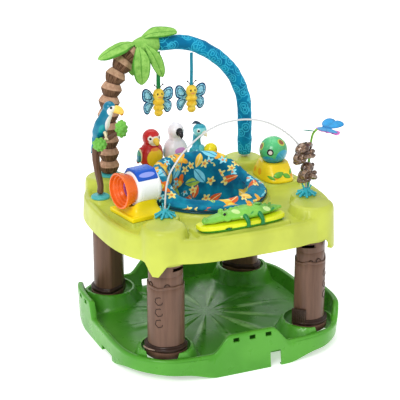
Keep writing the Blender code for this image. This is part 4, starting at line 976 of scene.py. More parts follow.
def bossReach(angle):
    # how far out the corner bosses stand in this direction
    t = trayPlan
    reach = 0.0
    for x, y, _ in legPlaces.values():
        away = angle - math.atan2(y, x)
        distance = math.hypot(x, y) * t["bossOut"]
        across = distance * math.sin(away)
        if abs(across) < t["boss"] and math.cos(away) > 0:
            reach = max(reach, distance * math.cos(away) + math.sqrt(t["boss"] ** 2 - across ** 2))
    return reach


def trayOutline(angle):
    t = trayPlan
    walls = [(270, t["front"]), (90, t["front"]), (0, t["side"]), (180, t["side"])]
    walls += [(turn, t["diagonal"]) for turn in (45, 135, 225, 315)]
    plain = planRadius(angle, walls, t["power"])
    boss = bossReach(angle)
    return smoothMax(plain, boss, 0.006) if boss > plain - 0.02 else plain


def trayLow(angle):
    t = trayPlan
    level = t["skirt"]
    for x, y, _ in legPlaces.values():
        away = angle - math.atan2(y, x)
        if math.cos(away) > 0.8:
            across = abs(0.4 * math.sin(away))
            share = (across - t["tongueTip"]) / (t["tongueTop"] - t["tongueTip"])
            share = min(1.0, max(0.0, share))
            ragged = 0.0022 * math.sin(across * 520) * math.sin(math.pi * min(1.0, share * 1.4))
            level = min(level, t["tongueLow"] + (t["skirt"] - t["tongueLow"]) * share ** 0.85 + ragged)
    return level


def trayTop(x, y, edge):
    t = trayPlan
    distance = math.hypot(x, y)
    level = t["deck"] - 0.008 * smoothStep(0.262, edge - 0.034, distance) + 0.007 * smoothStep(edge - 0.03,
        edge - 0.016, distance)
    level += (t["collar"] - t["deck"]) * (1 - smoothStep(0.1925, 0.2005, distance))
    for (px, py), radius, top in trayRounds:
        away = math.hypot(x - px, y - py)
        height = level + (top - level) * (1 - smoothStep(radius - 0.003, radius + 0.004, away))
        level = max(level, height)
    for (px, py), (wide, deep), turn in trayPads:
        c, s = math.cos(math.radians(turn)), math.sin(math.radians(turn))
        u = abs((x - px) * c + (y - py) * s) - wide / 2
        v = abs(-(x - px) * s + (y - py) * c) - deep / 2
        ease = t["round"]
        out = math.hypot(max(u + ease, 0), max(v + ease, 0)) - ease if max(u, v) > -ease else -ease
        level = max(level, level + (t["pad"] - level) * (1 - smoothStep(-0.003, 0.0025, out)))
    for lx, ly, _ in legPlaces.values():
        away = math.hypot(x - lx * t["bossOut"], y - ly * t["bossOut"])
        if away < t["boss"] + 0.02:
            top = t["bossTop"] - 0.0045 * smoothStep(t["boss"] - 0.014, t["boss"] - 0.003, away)
            height = level + (top - level) * (1 - smoothStep(t["boss"] - 0.0035, t["boss"] + 0.0055, away))
            level = max(level, height)
    return level


def trayUnder(x, y, top):
    t = trayPlan
    level = min(top, t["deck"]) - 0.004
    for lx, ly, _ in legPlaces.values():
        away = math.hypot(x - lx, y - ly)
        level += (0.357 - level) * (1 - smoothStep(t["boss"] - 0.004, t["boss"] + 0.001, away))
    return level


def buildTray():
    t = trayPlan
    n = t["around"]
    angles = [math.tau * i / n for i in range(n)]
    outline = [trayOutline(a) for a in angles]
    low = [trayLow(a) for a in angles]

    def ring(inset, levelOf):
        loop = []
        for a, edge, bottom in zip(angles, outline, low):
            r = edge - inset
            loop.append((r * math.cos(a), r * math.sin(a), levelOf(r * math.cos(a), r * math.sin(a), edge,
                bottom)))
        return loop

    rings = []
    for inset, share in ((-0.0032, 0.0), (-0.004, 0.012), (-0.0039, 0.05), (-0.0034, 0.2), (-0.0026, 0.4),
            (-0.0018, 0.6), (-0.001, 0.8)):
        rings.append(ring(inset, lambda x, y, e, b, share=share: b + (t["rim"] - 0.01 - b) * share))
    for inset, drop in ((-0.0002, 0.011), (0.0006, 0.0062), (0.0024, 0.0028), (0.0052, 0.0008),
            (0.009, 0.0)):
        rings.append(ring(inset, lambda x, y, e, b, drop=drop: max(t["rim"], trayTop(x, y, e)) - drop))
    steps = 84
    for k in range(steps + 1):
        share = k / steps
        loop = []
        for a, edge in zip(angles, outline):
            r = (edge - t["topEdge"]) + (t["hole"] + 0.0075 - edge + t["topEdge"]) * share
            x, y = r * math.cos(a), r * math.sin(a)
            loop.append((x, y, trayTop(x, y, edge)))
        rings.append(loop)
    for radius, level in ((0.1722, 0.4515), (0.17, 0.4502), (0.1686, 0.448), (0.168, 0.445),
            (0.168, 0.4128), (0.1688, 0.412), (0.1722, 0.412), (0.173, 0.413), (0.1765, 0.444),
            (0.179, 0.4475)):
        rings.append([(radius * math.cos(a), radius * math.sin(a), level) for a in angles])
    for k in range(1, 31):
        share = k / 30
        loop = []
        for a, edge in zip(angles, outline):
            r = t["underHole"] + (edge - t["underEdge"] - t["underHole"]) * share
            x, y = r * math.cos(a), r * math.sin(a)
            loop.append((x, y, trayUnder(x, y, trayTop(x, y, edge))))
        rings.append(loop)
    rings.append(ring(0.005, lambda x, y, e, b: t["rim"] - 0.014))
    rings.append(ring(0.0012, lambda x, y, e, b: t["skirt"] + 0.006))
    thick = [0.0008 + 0.011 * smoothStep(0.356, 0.33, z) for z in low]
    rings.append([((e - k) * math.cos(a), (e - k) * math.sin(a), z) for a, e, z, k in zip(angles, outline,
        low, thick)])
    tray = skinRings("tray_shell", rings, closed=True)
    pockets = []
    for x, y, turn in legPlaces.values():
        pocket = skinRings("pocket", [legLoop(0.0031, 0.3), legLoop(0.0031, t["bossTop"] - 0.0155)])
        pockets.append(moved(pocket, (x, y, 0), (0, 0, math.radians(turn))))
    combined(tray, joined("pockets", pockets), "DIFFERENCE")
    lime = mouldedPlastic("limeTrayPlastic", (0.535, 0.59, 0.092), 0.36, (), 0.22, 0.14, 0.08)
    finishPiece(tray, lime, "tray", ("play_tray",), 38)
    print("play tray", len(tray.data.polygons))


buildTray()


# Soft toy arch
archShape = {
    "foot": 0.4715, "top": 0.8835, "plane": 0.245, "tube": 0.01, "bore": 0.0113, "sleeve": 0.0245,
    "neck": 0.0232, "rib": 0.0335, "ribs": 10, "trunkStart": 0.0085, "crownStart": 0.43, "crownEnd": 0.505,
    "crown": (0.026, 0.0305, 0.03, 0.026),
    "line": [
        (-0.231, 0.0), (-0.231, 0.1323), (-0.231, 0.28762), (-0.23, 0.47209), (-0.227, 0.56675),
        (-0.22, 0.65413), (-0.21, 0.74393), (-0.193, 0.81917), (-0.164, 0.90898), (-0.128, 0.97451),
        (-0.09, 0.99879), (-0.05, 1.0), (0.022, 0.9915), (0.073, 0.9551), (0.121, 0.88956),
        (0.161, 0.81675), (0.199, 0.71723), (0.222, 0.62015), (0.242, 0.4915), (0.2475, 0.36529),
        (0.249, 0.19053), (0.249, 0.0),
    ],
}


def archPath():
    a = archShape
    rise = a["top"] - a["foot"]
    return softPath([(x, a["plane"], a["foot"] + rise * share) for x, share in a["line"]], 900)


def spotAt(path, share):
    # the path's points are evenly spaced
    at = share * (len(path) - 1)
    i = min(len(path) - 2, int(at))
    return path[i].lerp(path[i + 1], at - i)


def runOf(path):
    return sum((b - a).length for a, b in zip(path, path[1:]))


def alongPiece(name, path, total, stations, radii, sides, shape=None):
    # a tube on chosen stations of the path, with its section shaped by angle
    rings = []
    across = Vector((0, 1, 0))
    for length, radius in zip(stations, radii):
        centre = spotAt(path, length / total)
        ahead = spotAt(path, min(1.0, (length + 0.004) / total))
        behind = spotAt(path, max(0.0, (length - 0.004) / total))
        run = (ahead - behind).normalized()
        up = across.cross(run).normalized()
        ring = []
        for k in range(sides):
            angle = math.tau * k / sides
            reach = radius * (shape(length, angle) if shape else 1.0)
            ring.append(centre + across * (reach * math.cos(angle)) + up * (reach * math.sin(angle)))
        rings.append(ring)
    return skinRings(name, rings)


def wrapRings(piece, sides, lengths, girth):
    # each ring's place along the tube, and round it, as a map in metres
    uv = piece.data.uv_layers.new(name="wrap")
    for polygon in piece.data.polygons:
        columns = [v % sides for v in polygon.vertices]
        split = max(columns) - min(columns) > sides / 2
        for loop in polygon.loop_indices:
            vertex = piece.data.loops[loop].vertex_index
            column = vertex % sides
            if split and column < sides / 2:
                column += sides
            uv.data[loop].uv = (girth * column / sides, lengths[min(vertex // sides, len(lengths) - 1)])
    return piece


def fabricBump(tree, shader, coords, weave=900.0, crease=26.0, strength=0.5):
    fine = noiseNode(tree, coords, weave, 2.0, 0.6)
    broad = noiseNode(tree, coords, crease, 4.0, 0.6)
    height = plus(tree, times(tree, fine, 0.3), broad)
    addBump(tree, shader, height, strength, 0.0016)


def lineArt(tree, coords, scale, width, seed=0.0):
    # loose rings and wandering lines, as on a printed leaf pattern
    shifted = vectorNode(tree, "ADD", coords, (seed, seed * 0.7, seed * 1.3))
    warp = addNode(tree, "ShaderNodeTexNoise")
    warp.inputs["Scale"].default_value = scale * 0.9
    tree.links.new(shifted, warp.inputs["Vector"])
    bent = vectorNode(tree, "ADD", shifted, vectorNode(tree, "MULTIPLY", warp.outputs["Color"],
        (0.35 / scale,) * 3))
    cells = addNode(tree, "ShaderNodeTexVoronoi", voronoi_dimensions="2D")
    cells.inputs["Scale"].default_value = scale
    tree.links.new(bent, cells.inputs["Vector"])
    reach = cells.outputs["Distance"]
    lines = None
    for radius in (0.16, 0.36):
        ring = apart(tree, reach, radius)
        mask = ramp(tree, ring, width * 0.5, width, 1.0, 0.0)
        lines = mask if lines is None else larger(tree, lines, mask)
    wave = apart(tree, noiseNode(tree, shifted, scale * 1.15, 1.0), 0.5)
    lines = larger(tree, lines, ramp(tree, wave, width * 0.16, width * 0.34, 1.0, 0.0))
    return lines


def sleeveCloth():
    material, tree, shader, coords = startMaterial("printedBlueCloth")
    wrap = wrapCoords(tree)
    tone = mottled(tree, coords, 22.0, 0.35, 0.65, (0.0, 0.17, 0.33), (0.0, 0.255, 0.455))
    lines = lineArt(tree, wrap, 27.0, 0.06, 0.4)
    base = blended(tree, times(tree, lines, 0.72), tone, (0.06, 0.54, 0.74))
    dress(tree, shader, tone=base, rough=0.72, sheen=0.04, specular=0.22)
    fabricBump(tree, shader, coords, 1100.0, 30.0, 0.45)
    return material


def trunkCloth():
    a = archShape
    material, tree, shader, coords = startMaterial("trunkPlush")
    wrap = wrapCoords(tree)
    parts = splitAxes(tree, wrap)
    pitch = (a["crownStart"] - 0.0003 - a["trunkStart"]) / a["ribs"]
    share = mathNode(tree, "FRACT",
        mathNode(tree, "DIVIDE", less(tree, parts["Y"], a["trunkStart"] - pitch * 20), pitch))
    upper = times(tree, ramp(tree, share, 0.5, 0.56), ramp(tree, share, 0.955, 0.985, 1.0, 0.0))
    stripes = noiseNode(tree, stretched(tree, wrap, (420.0, 26.0, 1.0)), 1.0, 2.0, 0.6)
    brown = blended(tree, ramp(tree, stripes, 0.4, 0.6), (0.085, 0.042, 0.024), (0.23, 0.132, 0.08))
    tan = mottled(tree, coords, 90.0, 0.3, 0.7, (0.44, 0.262, 0.175), (0.62, 0.4, 0.275))
    base = blended(tree, upper, brown, tan)
    dress(tree, shader, tone=base, rough=0.9, sheen=0.1, specular=0.2)
    fabricBump(tree, shader, coords, 800.0, 60.0, 0.6)
    return material


def leafCloth(name="leafPlush", stitched=False):
    material, tree, shader, coords = startMaterial(name)
    broad = noiseNode(tree, coords, 60.0, 4.0, 0.65)
    pile = noiseNode(tree, coords, 520.0, 3.0, 0.7)
    base = blended(tree, ramp(tree, broad, 0.32, 0.68), (0.21, 0.455, 0.09), (0.33, 0.6, 0.15))
    base = blended(tree, ramp(tree, pile, 0.5, 0.75, 0.0, 0.4), base, (0.5, 0.74, 0.27))
    if stitched:
        parts = splitAxes(tree, wrapCoords(tree))
        across = apart(tree, parts["X"], 0.5)
        seam = larger(tree, ramp(tree, across, 0.405, 0.455), ramp(tree, across, 0.01, 0.045, 0.9, 0.0))
        base = blended(tree, times(tree, seam, 0.85), base, (0.065, 0.26, 0.03))
    dress(tree, shader, tone=base, rough=0.92, sheen=0.15, specular=0.2, sheenTint=(0.75, 1.0, 0.45, 1.0))
    addBump(tree, shader, plus(tree, times(tree, pile, 0.5), broad), 0.6, 0.0012)
    return material


def leafPiece(name, points, width, side, thickness, tip):
    steps = 34
    sides = 28
    path = softPath(points, steps)
    rings = []
    for k, centre in enumerate(path):
        share = k / steps
        across, up = frameAt(path, k, side)
        full = math.sin(math.pi * min(1.0, 0.13 + share * 0.8)) ** 0.62
        full = min(full, 0.2 + 2.2 * share)
        if share > 0.8:
            fall = (share - 0.8) / 0.2
            full *= max(0.05, math.sqrt(max(0.0, 1 - fall ** tip)))
        half = max(0.0006, width / 2 * full)
        thick = max(0.0005, thickness * (0.3 + 0.7 * full)
            * (1.0 if share < 0.8 else math.sqrt(max(0.02, 1 - ((share - 0.8) / 0.2) ** 3))))
        ring = []
        for j in range(sides):
            angle = math.tau * j / sides
            c, s = math.cos(angle), math.sin(angle)
            crease = 1.0 - 0.42 * math.exp(-(c / 0.16) ** 2)
            puff = 1.0 + 0.1 * math.sin(share * 40 + 3 * abs(c))
            lift = math.copysign(abs(s) ** 0.85, s) * thick * crease * puff
            ring.append(centre + across * (half * c) + up * (lift - half * 0.28 * c * c))
        rings.append(ring)
    leaf = skinRings(name, rings)
    uv = leaf.data.uv_layers.new(name="wrap")
    for loop in leaf.data.loops:
        row, column = divmod(loop.vertex_index, sides)
        uv.data[loop.index].uv = (0.5 + 0.5 * math.cos(math.tau * column / sides), min(1.0, row / steps))
    return leaf


leafShape = {
    "palm_leaf_left": ([(-0.136, -0.006, 0.0095), (-0.174, -0.014, 0.0105), (-0.218, -0.018, -0.0035),
        (-0.268, -0.022, -0.026)], 0.058, (0, 1, 0.35), 2.0),
    "palm_leaf_front": ([(-0.134, -0.024, 0.0005), (-0.137, -0.046, -0.0215), (-0.138, -0.051, -0.0585),
        (-0.132, -0.047, -0.116)], 0.062, (1, 0.1, 0), 2.0),
    "palm_leaf_inner": ([(-0.112, -0.024, 0.0065), (-0.096, -0.043, -0.0175), (-0.08, -0.043, -0.0485),
        (-0.058, -0.038, -0.1005)], 0.04, (0.8, -0.2, 0.5), 2.0),
    "palm_leaf_top": ([(-0.118, -0.006, 0.0225), (-0.085, -0.012, 0.0345), (-0.04, -0.012, 0.0355),
        (0.003, -0.012, 0.0345)], 0.043, (0, 1, 0.75), 6.0),
    "palm_leaf_back": ([(-0.13, 0.024, 0.0005), (-0.128, 0.048, -0.0175), (-0.126, 0.056, -0.0555),
        (-0.124, 0.054, -0.1115)], 0.052, (1, 0.1, 0), 2.0),
}


def buildArch():
    a = archShape
    path = archPath()
    total = runOf(path)
    # stiff inner tube, seen only between the covers
    stations = [total * k / 120 for k in range(121)]
    tube = alongPiece("arch_core", path, total, stations, [a["tube"]] * 121, 24)
    finishPiece(tube, mouldedPlastic("paleTubePlastic", (0.6, 0.62, 0.64), 0.4), "tray", ("arch_tube",))
    # ribbed palm trunk
    pitch = (a["crownStart"] - 0.0003 - a["trunkStart"]) / a["ribs"]
    lengths = []
    radii = []
    for k in range(a["ribs"]):
        for share in (0.0, 0.035, 0.1, 0.18, 0.27, 0.36, 0.43, 0.475, 0.51, 0.545, 0.585, 0.64, 0.72, 0.81,
                0.9, 0.965):
            lengths.append(a["trunkStart"] + pitch * (k + share))
            slope = share / 0.5 if share < 0.5 else (1 - share) / 0.46
            full = min(1.0, slope) ** 0.85
            radii.append(a["neck"] + (a["rib"] - a["neck"]) * full - 0.0012 * (1 - min(1.0, slope * 6)))
    lengths.append(a["crownStart"] - 0.0006)
    radii.append(a["neck"] - 0.0012)

    def facet(length, angle):
        turn = 0.8 * int((length - a["trunkStart"]) / pitch)
        return 1.0 + 0.018 * math.cos(8 * angle + turn) + 0.006 * math.cos(19 * angle + length * 90)

    trunk = alongPiece("trunk_cover", path, total, lengths, radii, 64, shape=facet)
    wrapRings(trunk, 64, lengths, math.tau * 0.028)
    finishPiece(trunk, trunkCloth(), "tray", ("palm_trunk",), 32)
    # blue cloth tube with creases on the inner side of its bend
    low = a["crownEnd"] + 0.0006
    high = total - 0.0092
    count = 190
    lengths = [low + (high - low) * k / count for k in range(count + 1)]
    radii = []
    for length in lengths:
        end = min(length - low, high - length)
        radii.append(a["sleeve"] - 0.0012 + 0.0005 * math.sin(length * 97) - 0.0034
            * (1 - smoothStep(0, 0.01, end)))

    def crease(length, angle):
        inner = 0.5 - 0.5 * math.sin(angle)
        fold = math.sin(length * 210 + 1.3 * math.sin(angle * 2)) * 0.5 + math.sin(length * 131 + 2.0) * 0.5
        return 1.0 + (0.01 + 0.018 * inner) * fold

    cover = alongPiece("arch_cover", path, total, lengths, radii, 64, shape=crease)
    wrapRings(cover, 64, lengths, math.tau * a["sleeve"])
    finishPiece(cover, sleeveCloth(), "tray", ("arch_sleeve",), 60)
    # crown hub and leaves
    lime = leafCloth()
    stitched = leafCloth("stitchedLeafPlush", True)
    count = 26
    lengths = [a["crownStart"] + (a["crownEnd"] - a["crownStart"]) * k / count for k in range(count + 1)]
    radii = [valueAt(a["crown"], 3 * k / count) for k in range(count + 1)]
    radii[0] -= 0.004
    radii[-1] -= 0.004

    def gathered(length, angle):
        return 1.0 + 0.035 * math.cos(5 * angle + 9 * length) + 0.012 * math.sin(length * 260)

    hub = alongPiece("crown_hub", path, total, lengths, radii, 56, shape=gathered)
    finishPiece(hub, lime, "tray", ("palm_crown",), 60)
    for name, (points, width, side, tip) in leafShape.items():
        points = [(x, a["plane"] + y, a["top"] + z) for x, y, z in points]
        leaf = leafPiece(name.replace("palm_leaf", "frond"), points, width, side, 0.0068, tip)
        finishPiece(leaf, stitched, "tray", (name,), 60)
    # aqua collar round the trunk's foot
    collar = [(a["bore"], 0.0003), (0.034, 0.0003), (0.0346, 0.0012), (0.0342, 0.0026), (0.0326, 0.0052),
        (0.0305, 0.0066), (0.0275, 0.0085), (0.0262, 0.0088), (a["bore"], 0.0088)]
    collar = turnedPiece("trunk_collar_ring", [(r, 0.47 + z) for r, z in collar], 56, True)
    settle(moved(collar, (path[0].x, a["plane"], 0)))
    finishPiece(collar, mouldedPlastic("aquaPlastic", (0.08, 0.44, 0.43), 0.34), "tray", ("trunk_collar",),
        40)
    print("toy arch", round(total, 4))


buildArch()


def pillowPiece(name, outline, centre, thickness, place, around=96):
    # a stuffed flat shape: the outline shrinks to its middle as it rises, on both sides
    rounds = (1.0, 0.985, 0.95, 0.88, 0.77, 0.62, 0.44, 0.24, 0.06)
    loop = closedPath(outline, around)
    levels = [(share, -1) for share in reversed(rounds)] + [(share, 1) for share in rounds[1:]]
    rings = []
    for share, hand in levels:
        lift = thickness * math.sqrt(max(0.0, 1 - share ** 2.2)) * hand
        rings.append([place(centre[0] + (x - centre[0]) * share, centre[1] + (y - centre[1]) * share, lift)
            for x, y in loop])
    piece = skinRings(name, rings)
    uv = piece.data.uv_layers.new(name="wrap")
    for polygon in piece.data.polygons:
        for corner in polygon.loop_indices:
            vertex = piece.data.loops[corner].vertex_index
            row = min(vertex // around, len(levels) - 1)
            uv.data[corner].uv = ((vertex % around) / around, levels[row][0])
    return piece


def closedPath(points, count):
    path = [Vector((*point, 0)) for point in points]
    ends = [path[-1]] + path + path[:2]
    fine = [curveAt(*ends[i:i + 4], k / 12) for i in range(len(path)) for k in range(12)]
    fine.append(path[0])
    return [(spot.x, spot.y) for spot in evenly(fine, 0.0, 1.0, count)[:-1]]


# Hanging bees
beeShape = {
    "plane": 0.245, "centre": 0.69, "strapFoot": 0.044, "left": (-0.058, 0.8573, 0.013),
    "right": (0.057, 0.8425, 0.01),
    "profile": [
        (0.0, -0.046), (0.006, -0.0452), (0.0105, -0.0425), (0.0142, -0.037), (0.0148, -0.0325),
        (0.0128, -0.0285), (0.0118, -0.0268), (0.0138, -0.0248), (0.0172, -0.021), (0.018, -0.017),
        (0.0168, -0.0125), (0.014, -0.0092), (0.0134, -0.0078), (0.0152, -0.0058), (0.0186, -0.0024),
        (0.0193, 0.001), (0.0184, 0.005), (0.0158, 0.0088), (0.0138, 0.0112), (0.0148, 0.0135),
        (0.017, 0.018), (0.0184, 0.0235), (0.0184, 0.029), (0.017, 0.035), (0.0138, 0.041),
        (0.0085, 0.0447), (0.0, 0.046),
    ],
    "upperWing": [(0.004, 0.006), (0.012, 0.021), (0.026, 0.04), (0.041, 0.047), (0.0515, 0.042),
        (0.0545, 0.026), (0.05, 0.008), (0.036, 0.0), (0.016, -0.004)],
    "lowerWing": [(0.004, 0.002), (0.018, 0.006), (0.036, 0.004), (0.048, -0.006), (0.0485, -0.024),
        (0.041, -0.037), (0.03, -0.0385), (0.02, -0.024), (0.01, -0.01)],
}


def wingCloth():
    material, tree, shader, coords = startMaterial("wingCloth")
    wrap = wrapCoords(tree)
    parts = splitAxes(tree, wrap)
    share = parts["Y"]
    pale = mottled(tree, coords, 80.0, 0.35, 0.65, (0.22, 0.56, 0.76), (0.42, 0.78, 0.92))
    edge = ramp(tree, share, 0.76, 0.84)
    veins = mathNode(tree, "ABSOLUTE", mathNode(tree, "SINE", times(tree, parts["X"], 22.0)))
    veins = times(tree, ramp(tree, veins, 0.12, 0.24, 1.0, 0.0), ramp(tree, share, 0.18, 0.3))
    inner = apart(tree, share, 0.55)
    ring = ramp(tree, inner, 0.045, 0.075, 1.0, 0.0)
    dark = larger(tree, edge, larger(tree, times(tree, veins, 0.9), ring))
    base = blended(tree, dark, pale, (0.006, 0.05, 0.15))
    dress(tree, shader, tone=base, rough=0.85, sheen=0.06, specular=0.25)
    fabricBump(tree, shader, coords, 900.0, 120.0, 0.5)
    return material


def strapWeb(name, colour):
    material, tree, shader, coords = startMaterial(name)
    ribs = addNode(tree, "ShaderNodeTexWave", wave_type="BANDS", bands_direction="Z")
    ribs.inputs["Scale"].default_value = 260.0
    tree.links.new(coords, ribs.inputs["Vector"])
    tone = mottled(tree, coords, 120.0, 0.3, 0.7, tuple(c * 0.8 for c in colour), colour)
    dress(tree, shader, tone=tone, rough=0.75, sheen=0.05)
    addBump(tree, shader, ribs.outputs["Fac"], 0.35, 0.0004)
    return material


def buildBees():
    b = beeShape
    wing = wingCloth()
    dark = mouldedPlastic("darkThread", (0.012, 0.01, 0.012), 0.5)
    straps = {"left": strapWeb("greenWeb", (0.015, 0.27, 0.075)),
        "right": strapWeb("tealWeb", (0.02, 0.3, 0.42))}
    for name in ("left", "right"):
        x, top, wide = b[name]
        y, z = b["plane"], b["centre"]
        body = name + "_bee"
        yellow = plushCloth("yellowPlush_" + name, (0.95, 0.74, 0.15), (0.8, 0.48, 0.03),
            [((x, y - 0.013, z + 0.0205), (0.0075, 0.01, 0.0026), (0, 0, 0), (0.8, 0.36, 0.16))])
        # webbing strap from the arch's underside to the head
        low = z + b["strapFoot"]
        section = [(-1, -0.0011), (-0.5, -0.0013), (0.5, -0.0013), (1, -0.0011), (1, 0.0009), (0.5, 0.0011),
            (-0.5, 0.0011), (-1, 0.0009)]
        rings = []
        for k in range(40):
            share = k / 39
            level = low + (top - low - 0.0002) * share
            sway = 0.0006 * math.sin(share * 9)
            half = wide / 2
            rings.append([(x + half * across, y + deep + sway, level) for across, deep in section])
        strap = skinRings(name + "_strap_web", rings)
        finishPiece(strap, straps[name], body, (name + "_bee_strap",), 30)
        # segmented stuffed body
        plush = turnedPiece(name + "_bee_plush", b["profile"], 48)
        for vert in plush.data.vertices:
            vert.co = (x + vert.co.x, y + vert.co.y * 0.72, z + vert.co.z)
        finishPiece(plush, yellow, body, (name + "_bee_body",), 60)
        marks = []
        for hand in (-1, 1):
            marks.append(ballPiece("eye", 0.003, (x + hand * 0.0066, y - 0.0114, z + 0.03), (1, 0.5, 1.3),
                columns=16, rows=10))
            points = [(x + hand * 0.004, y, z + 0.0445), (x + hand * 0.008, y - 0.001, z + 0.053),
                (x + hand * 0.0145, y - 0.002, z + 0.0595)]
            marks.append(tubePiece("feeler", points, [0.0013, 0.0012, 0.0011], 8, steps=12))
            marks.append(ballPiece("feelerTip", 0.0027, points[-1], columns=12, rows=8))
        finishPiece(joined(name + "_bee_marks", marks), dark, body, (), 60)

        def lay(hand):
            return lambda a, c, lift: (x + hand * a, y + 0.0166 - 0.16 * abs(a) + lift * 0.98, z + c)

        wings = []
        for hand in (-1, 1):
            wings.append(pillowPiece("upper", b["upperWing"], (0.036, 0.026), 0.0034, lay(hand)))
            wings.append(pillowPiece("lower", b["lowerWing"], (0.036, -0.015), 0.0031, lay(hand)))
        for wingPart in wings:
            closeUp(wingPart)
        wings = joined(name + "_bee_wing_pads", wings)
        finishPiece(wings, wing, body, (name + "_bee_wings",), 60)
    print("bees")


buildBees()


# Turning seat
seatShape = {
    "ringBottom": 0.425, "bore": 0.1505, "tube": 0.1665, "flange": 0.186, "ledge": 0.4523,
    "ringTop": 0.4583,
    "rest": 0.4592, "front": 0.484, "back": 0.545, "backTurn": 112, "outer": 0.1895, "around": 112,
    "slack": 0.0016, "legReach": 0.066, "legForward": 0.018, "legHole": 0.04, "voxel": 0.0045, "cap": 0.006,
}


def seatCrest(angle):
    s = seatShape
    away = abs((angle - math.radians(s["backTurn"]) + math.pi) % math.tau - math.pi)
    return s["front"] + (s["back"] - s["front"]) * (1 - smoothStep(math.radians(52), math.radians(112),
        away))


def seatRingPiece():
    s = seatShape
    profile = [
        (s["bore"], s["ringBottom"] + 0.001), (s["bore"], s["ringTop"] - 0.0008),
        (s["bore"] + 0.0008, s["ringTop"]), (s["flange"] - 0.0035, s["ringTop"]),
        (s["flange"] - 0.0012, s["ringTop"] - 0.0008), (s["flange"], s["ringTop"] - 0.0026),
        (s["flange"], s["ledge"] + 0.001), (s["flange"] - 0.0008, s["ledge"]),
        (s["tube"] + 0.0008, s["ledge"]), (s["tube"], s["ledge"] - 0.001),
        (s["tube"], s["ringBottom"] + 0.001), (s["tube"] - 0.001, s["ringBottom"]),
        (s["bore"] + 0.001, s["ringBottom"]),
    ]
    ring = turnedPiece("seat_ring_turned", profile, 160, True)
    tools = []
    for k in range(24):
        angle = math.tau * k / 24
        tools.append(blockPiece("notch", (0.01, 0.0045, 0.003),
            (0.1805 * math.cos(angle), 0.1805 * math.sin(angle), s["ringTop"]), 0.0008, 2, (0, 0, angle)))
    return combined(ring, joined("notches", tools), "DIFFERENCE")


def seatMotif(tree, local, angle, kind):
    # a leaf or a five-petalled flower round the middle of each cell
    parts = splitAxes(tree, local)
    c = mathNode(tree, "COSINE", angle)
    s = mathNode(tree, "SINE", angle)
    u = plus(tree, times(tree, parts["X"], c), times(tree, parts["Y"], s))
    v = less(tree, times(tree, parts["Y"], c), times(tree, parts["X"], s))
    reach = mathNode(tree, "SQRT", plus(tree, times(tree, u, u), times(tree, v, v)))
    if kind == "leaf":
        long = mathNode(tree, "DIVIDE", u, 0.42)
        width = times(tree, less(tree, 1.0, times(tree, long, long)), 0.2)
        body = ramp(tree, less(tree, width, mathNode(tree, "ABSOLUTE", v)), 0.0, 0.03)
        vein = ramp(tree, mathNode(tree, "ABSOLUTE", v), 0.012, 0.03, 1.0, 0.0)
        return body, vein
    turn = mathNode(tree, "ARCTAN2", v, u)
    petals = times(tree, mathNode(tree, "COSINE", times(tree, turn, 5.0)), 0.085)
    edge = plus(tree, petals, 0.26)
    body = ramp(tree, less(tree, edge, reach), 0.0, 0.03)
    heart = ramp(tree, reach, 0.085, 0.115, 1.0, 0.0)
    return body, heart


def jungleCloth():
    material, tree, shader, coords = startMaterial("jungleCloth")
    ground = mottled(tree, coords, 26.0, 0.35, 0.65, (0.0, 0.15, 0.27), (0.004, 0.265, 0.4))
    flat = addNode(tree, "ShaderNodeMapping")
    flat.inputs["Rotation"].default_value = (math.radians(-62), 0.0, math.radians(23.9))
    tree.links.new(coords, flat.inputs["Vector"])
    base = ground
    layers = [
        (11.0, 0.0, "flower", 0.8, [(0.86, 0.2, 0.02), (0.92, 0.46, 0.05)], (0.92, 0.72, 0.12)),
        (14.0, 3.7, "leaf", 0.85, [(0.26, 0.7, 0.86), (0.5, 0.68, 0.12)], (0.02, 0.26, 0.4)),
        (17.0, 8.1, "leaf", 0.7, [(0.9, 0.6, 0.1), (0.8, 0.16, 0.04)], (0.92, 0.8, 0.45)),
        (24.0, 5.3, "flower", 0.75, [(0.36, 0.8, 0.9), (0.9, 0.78, 0.28)], (0.8, 0.24, 0.06)),
    ]
    for scale, seed, kind, share, colours, mark in layers:
        shifted = vectorNode(tree, "ADD", flat.outputs["Vector"], (seed, seed * 0.37, seed * 0.61))
        cells = addNode(tree, "ShaderNodeTexVoronoi")
        cells.inputs["Scale"].default_value = scale
        cells.inputs["Randomness"].default_value = 0.9
        tree.links.new(shifted, cells.inputs["Vector"])
        local = vectorNode(tree, "SUBTRACT", vectorNode(tree, "MULTIPLY", shifted, (scale,) * 3),
                           vectorNode(tree, "MULTIPLY", cells.outputs["Position"], (scale,) * 3))
        tint = addNode(tree, "ShaderNodeSeparateColor")
        tree.links.new(cells.outputs["Color"], tint.inputs[0])
        angle = times(tree, tint.outputs[1], 6.283)
        body, inner = seatMotif(tree, local, angle, kind)
        depth = addNode(tree, "ShaderNodeSeparateXYZ")
        tree.links.new(local, depth.inputs[0])
        near = ramp(tree, mathNode(tree, "ABSOLUTE", depth.outputs["Z"]), 0.4, 0.46, 1.0, 0.0)
        shown = times(tree, ramp(tree, tint.outputs[0], share - 0.01, share + 0.01, 1.0, 0.0), near)
        body = times(tree, body, shown)
        shade = blended(tree, ramp(tree, tint.outputs[2], 0.49, 0.51), colours[0], colours[1])
        shade = blended(tree, times(tree, inner, 0.85), shade, mark)
        base = blended(tree, body, base, shade)
    dress(tree, shader, tone=base, rough=0.8, sheen=0.12, specular=0.25)
    fabricBump(tree, shader, coords, 1000.0, 38.0, 0.45)
    return material


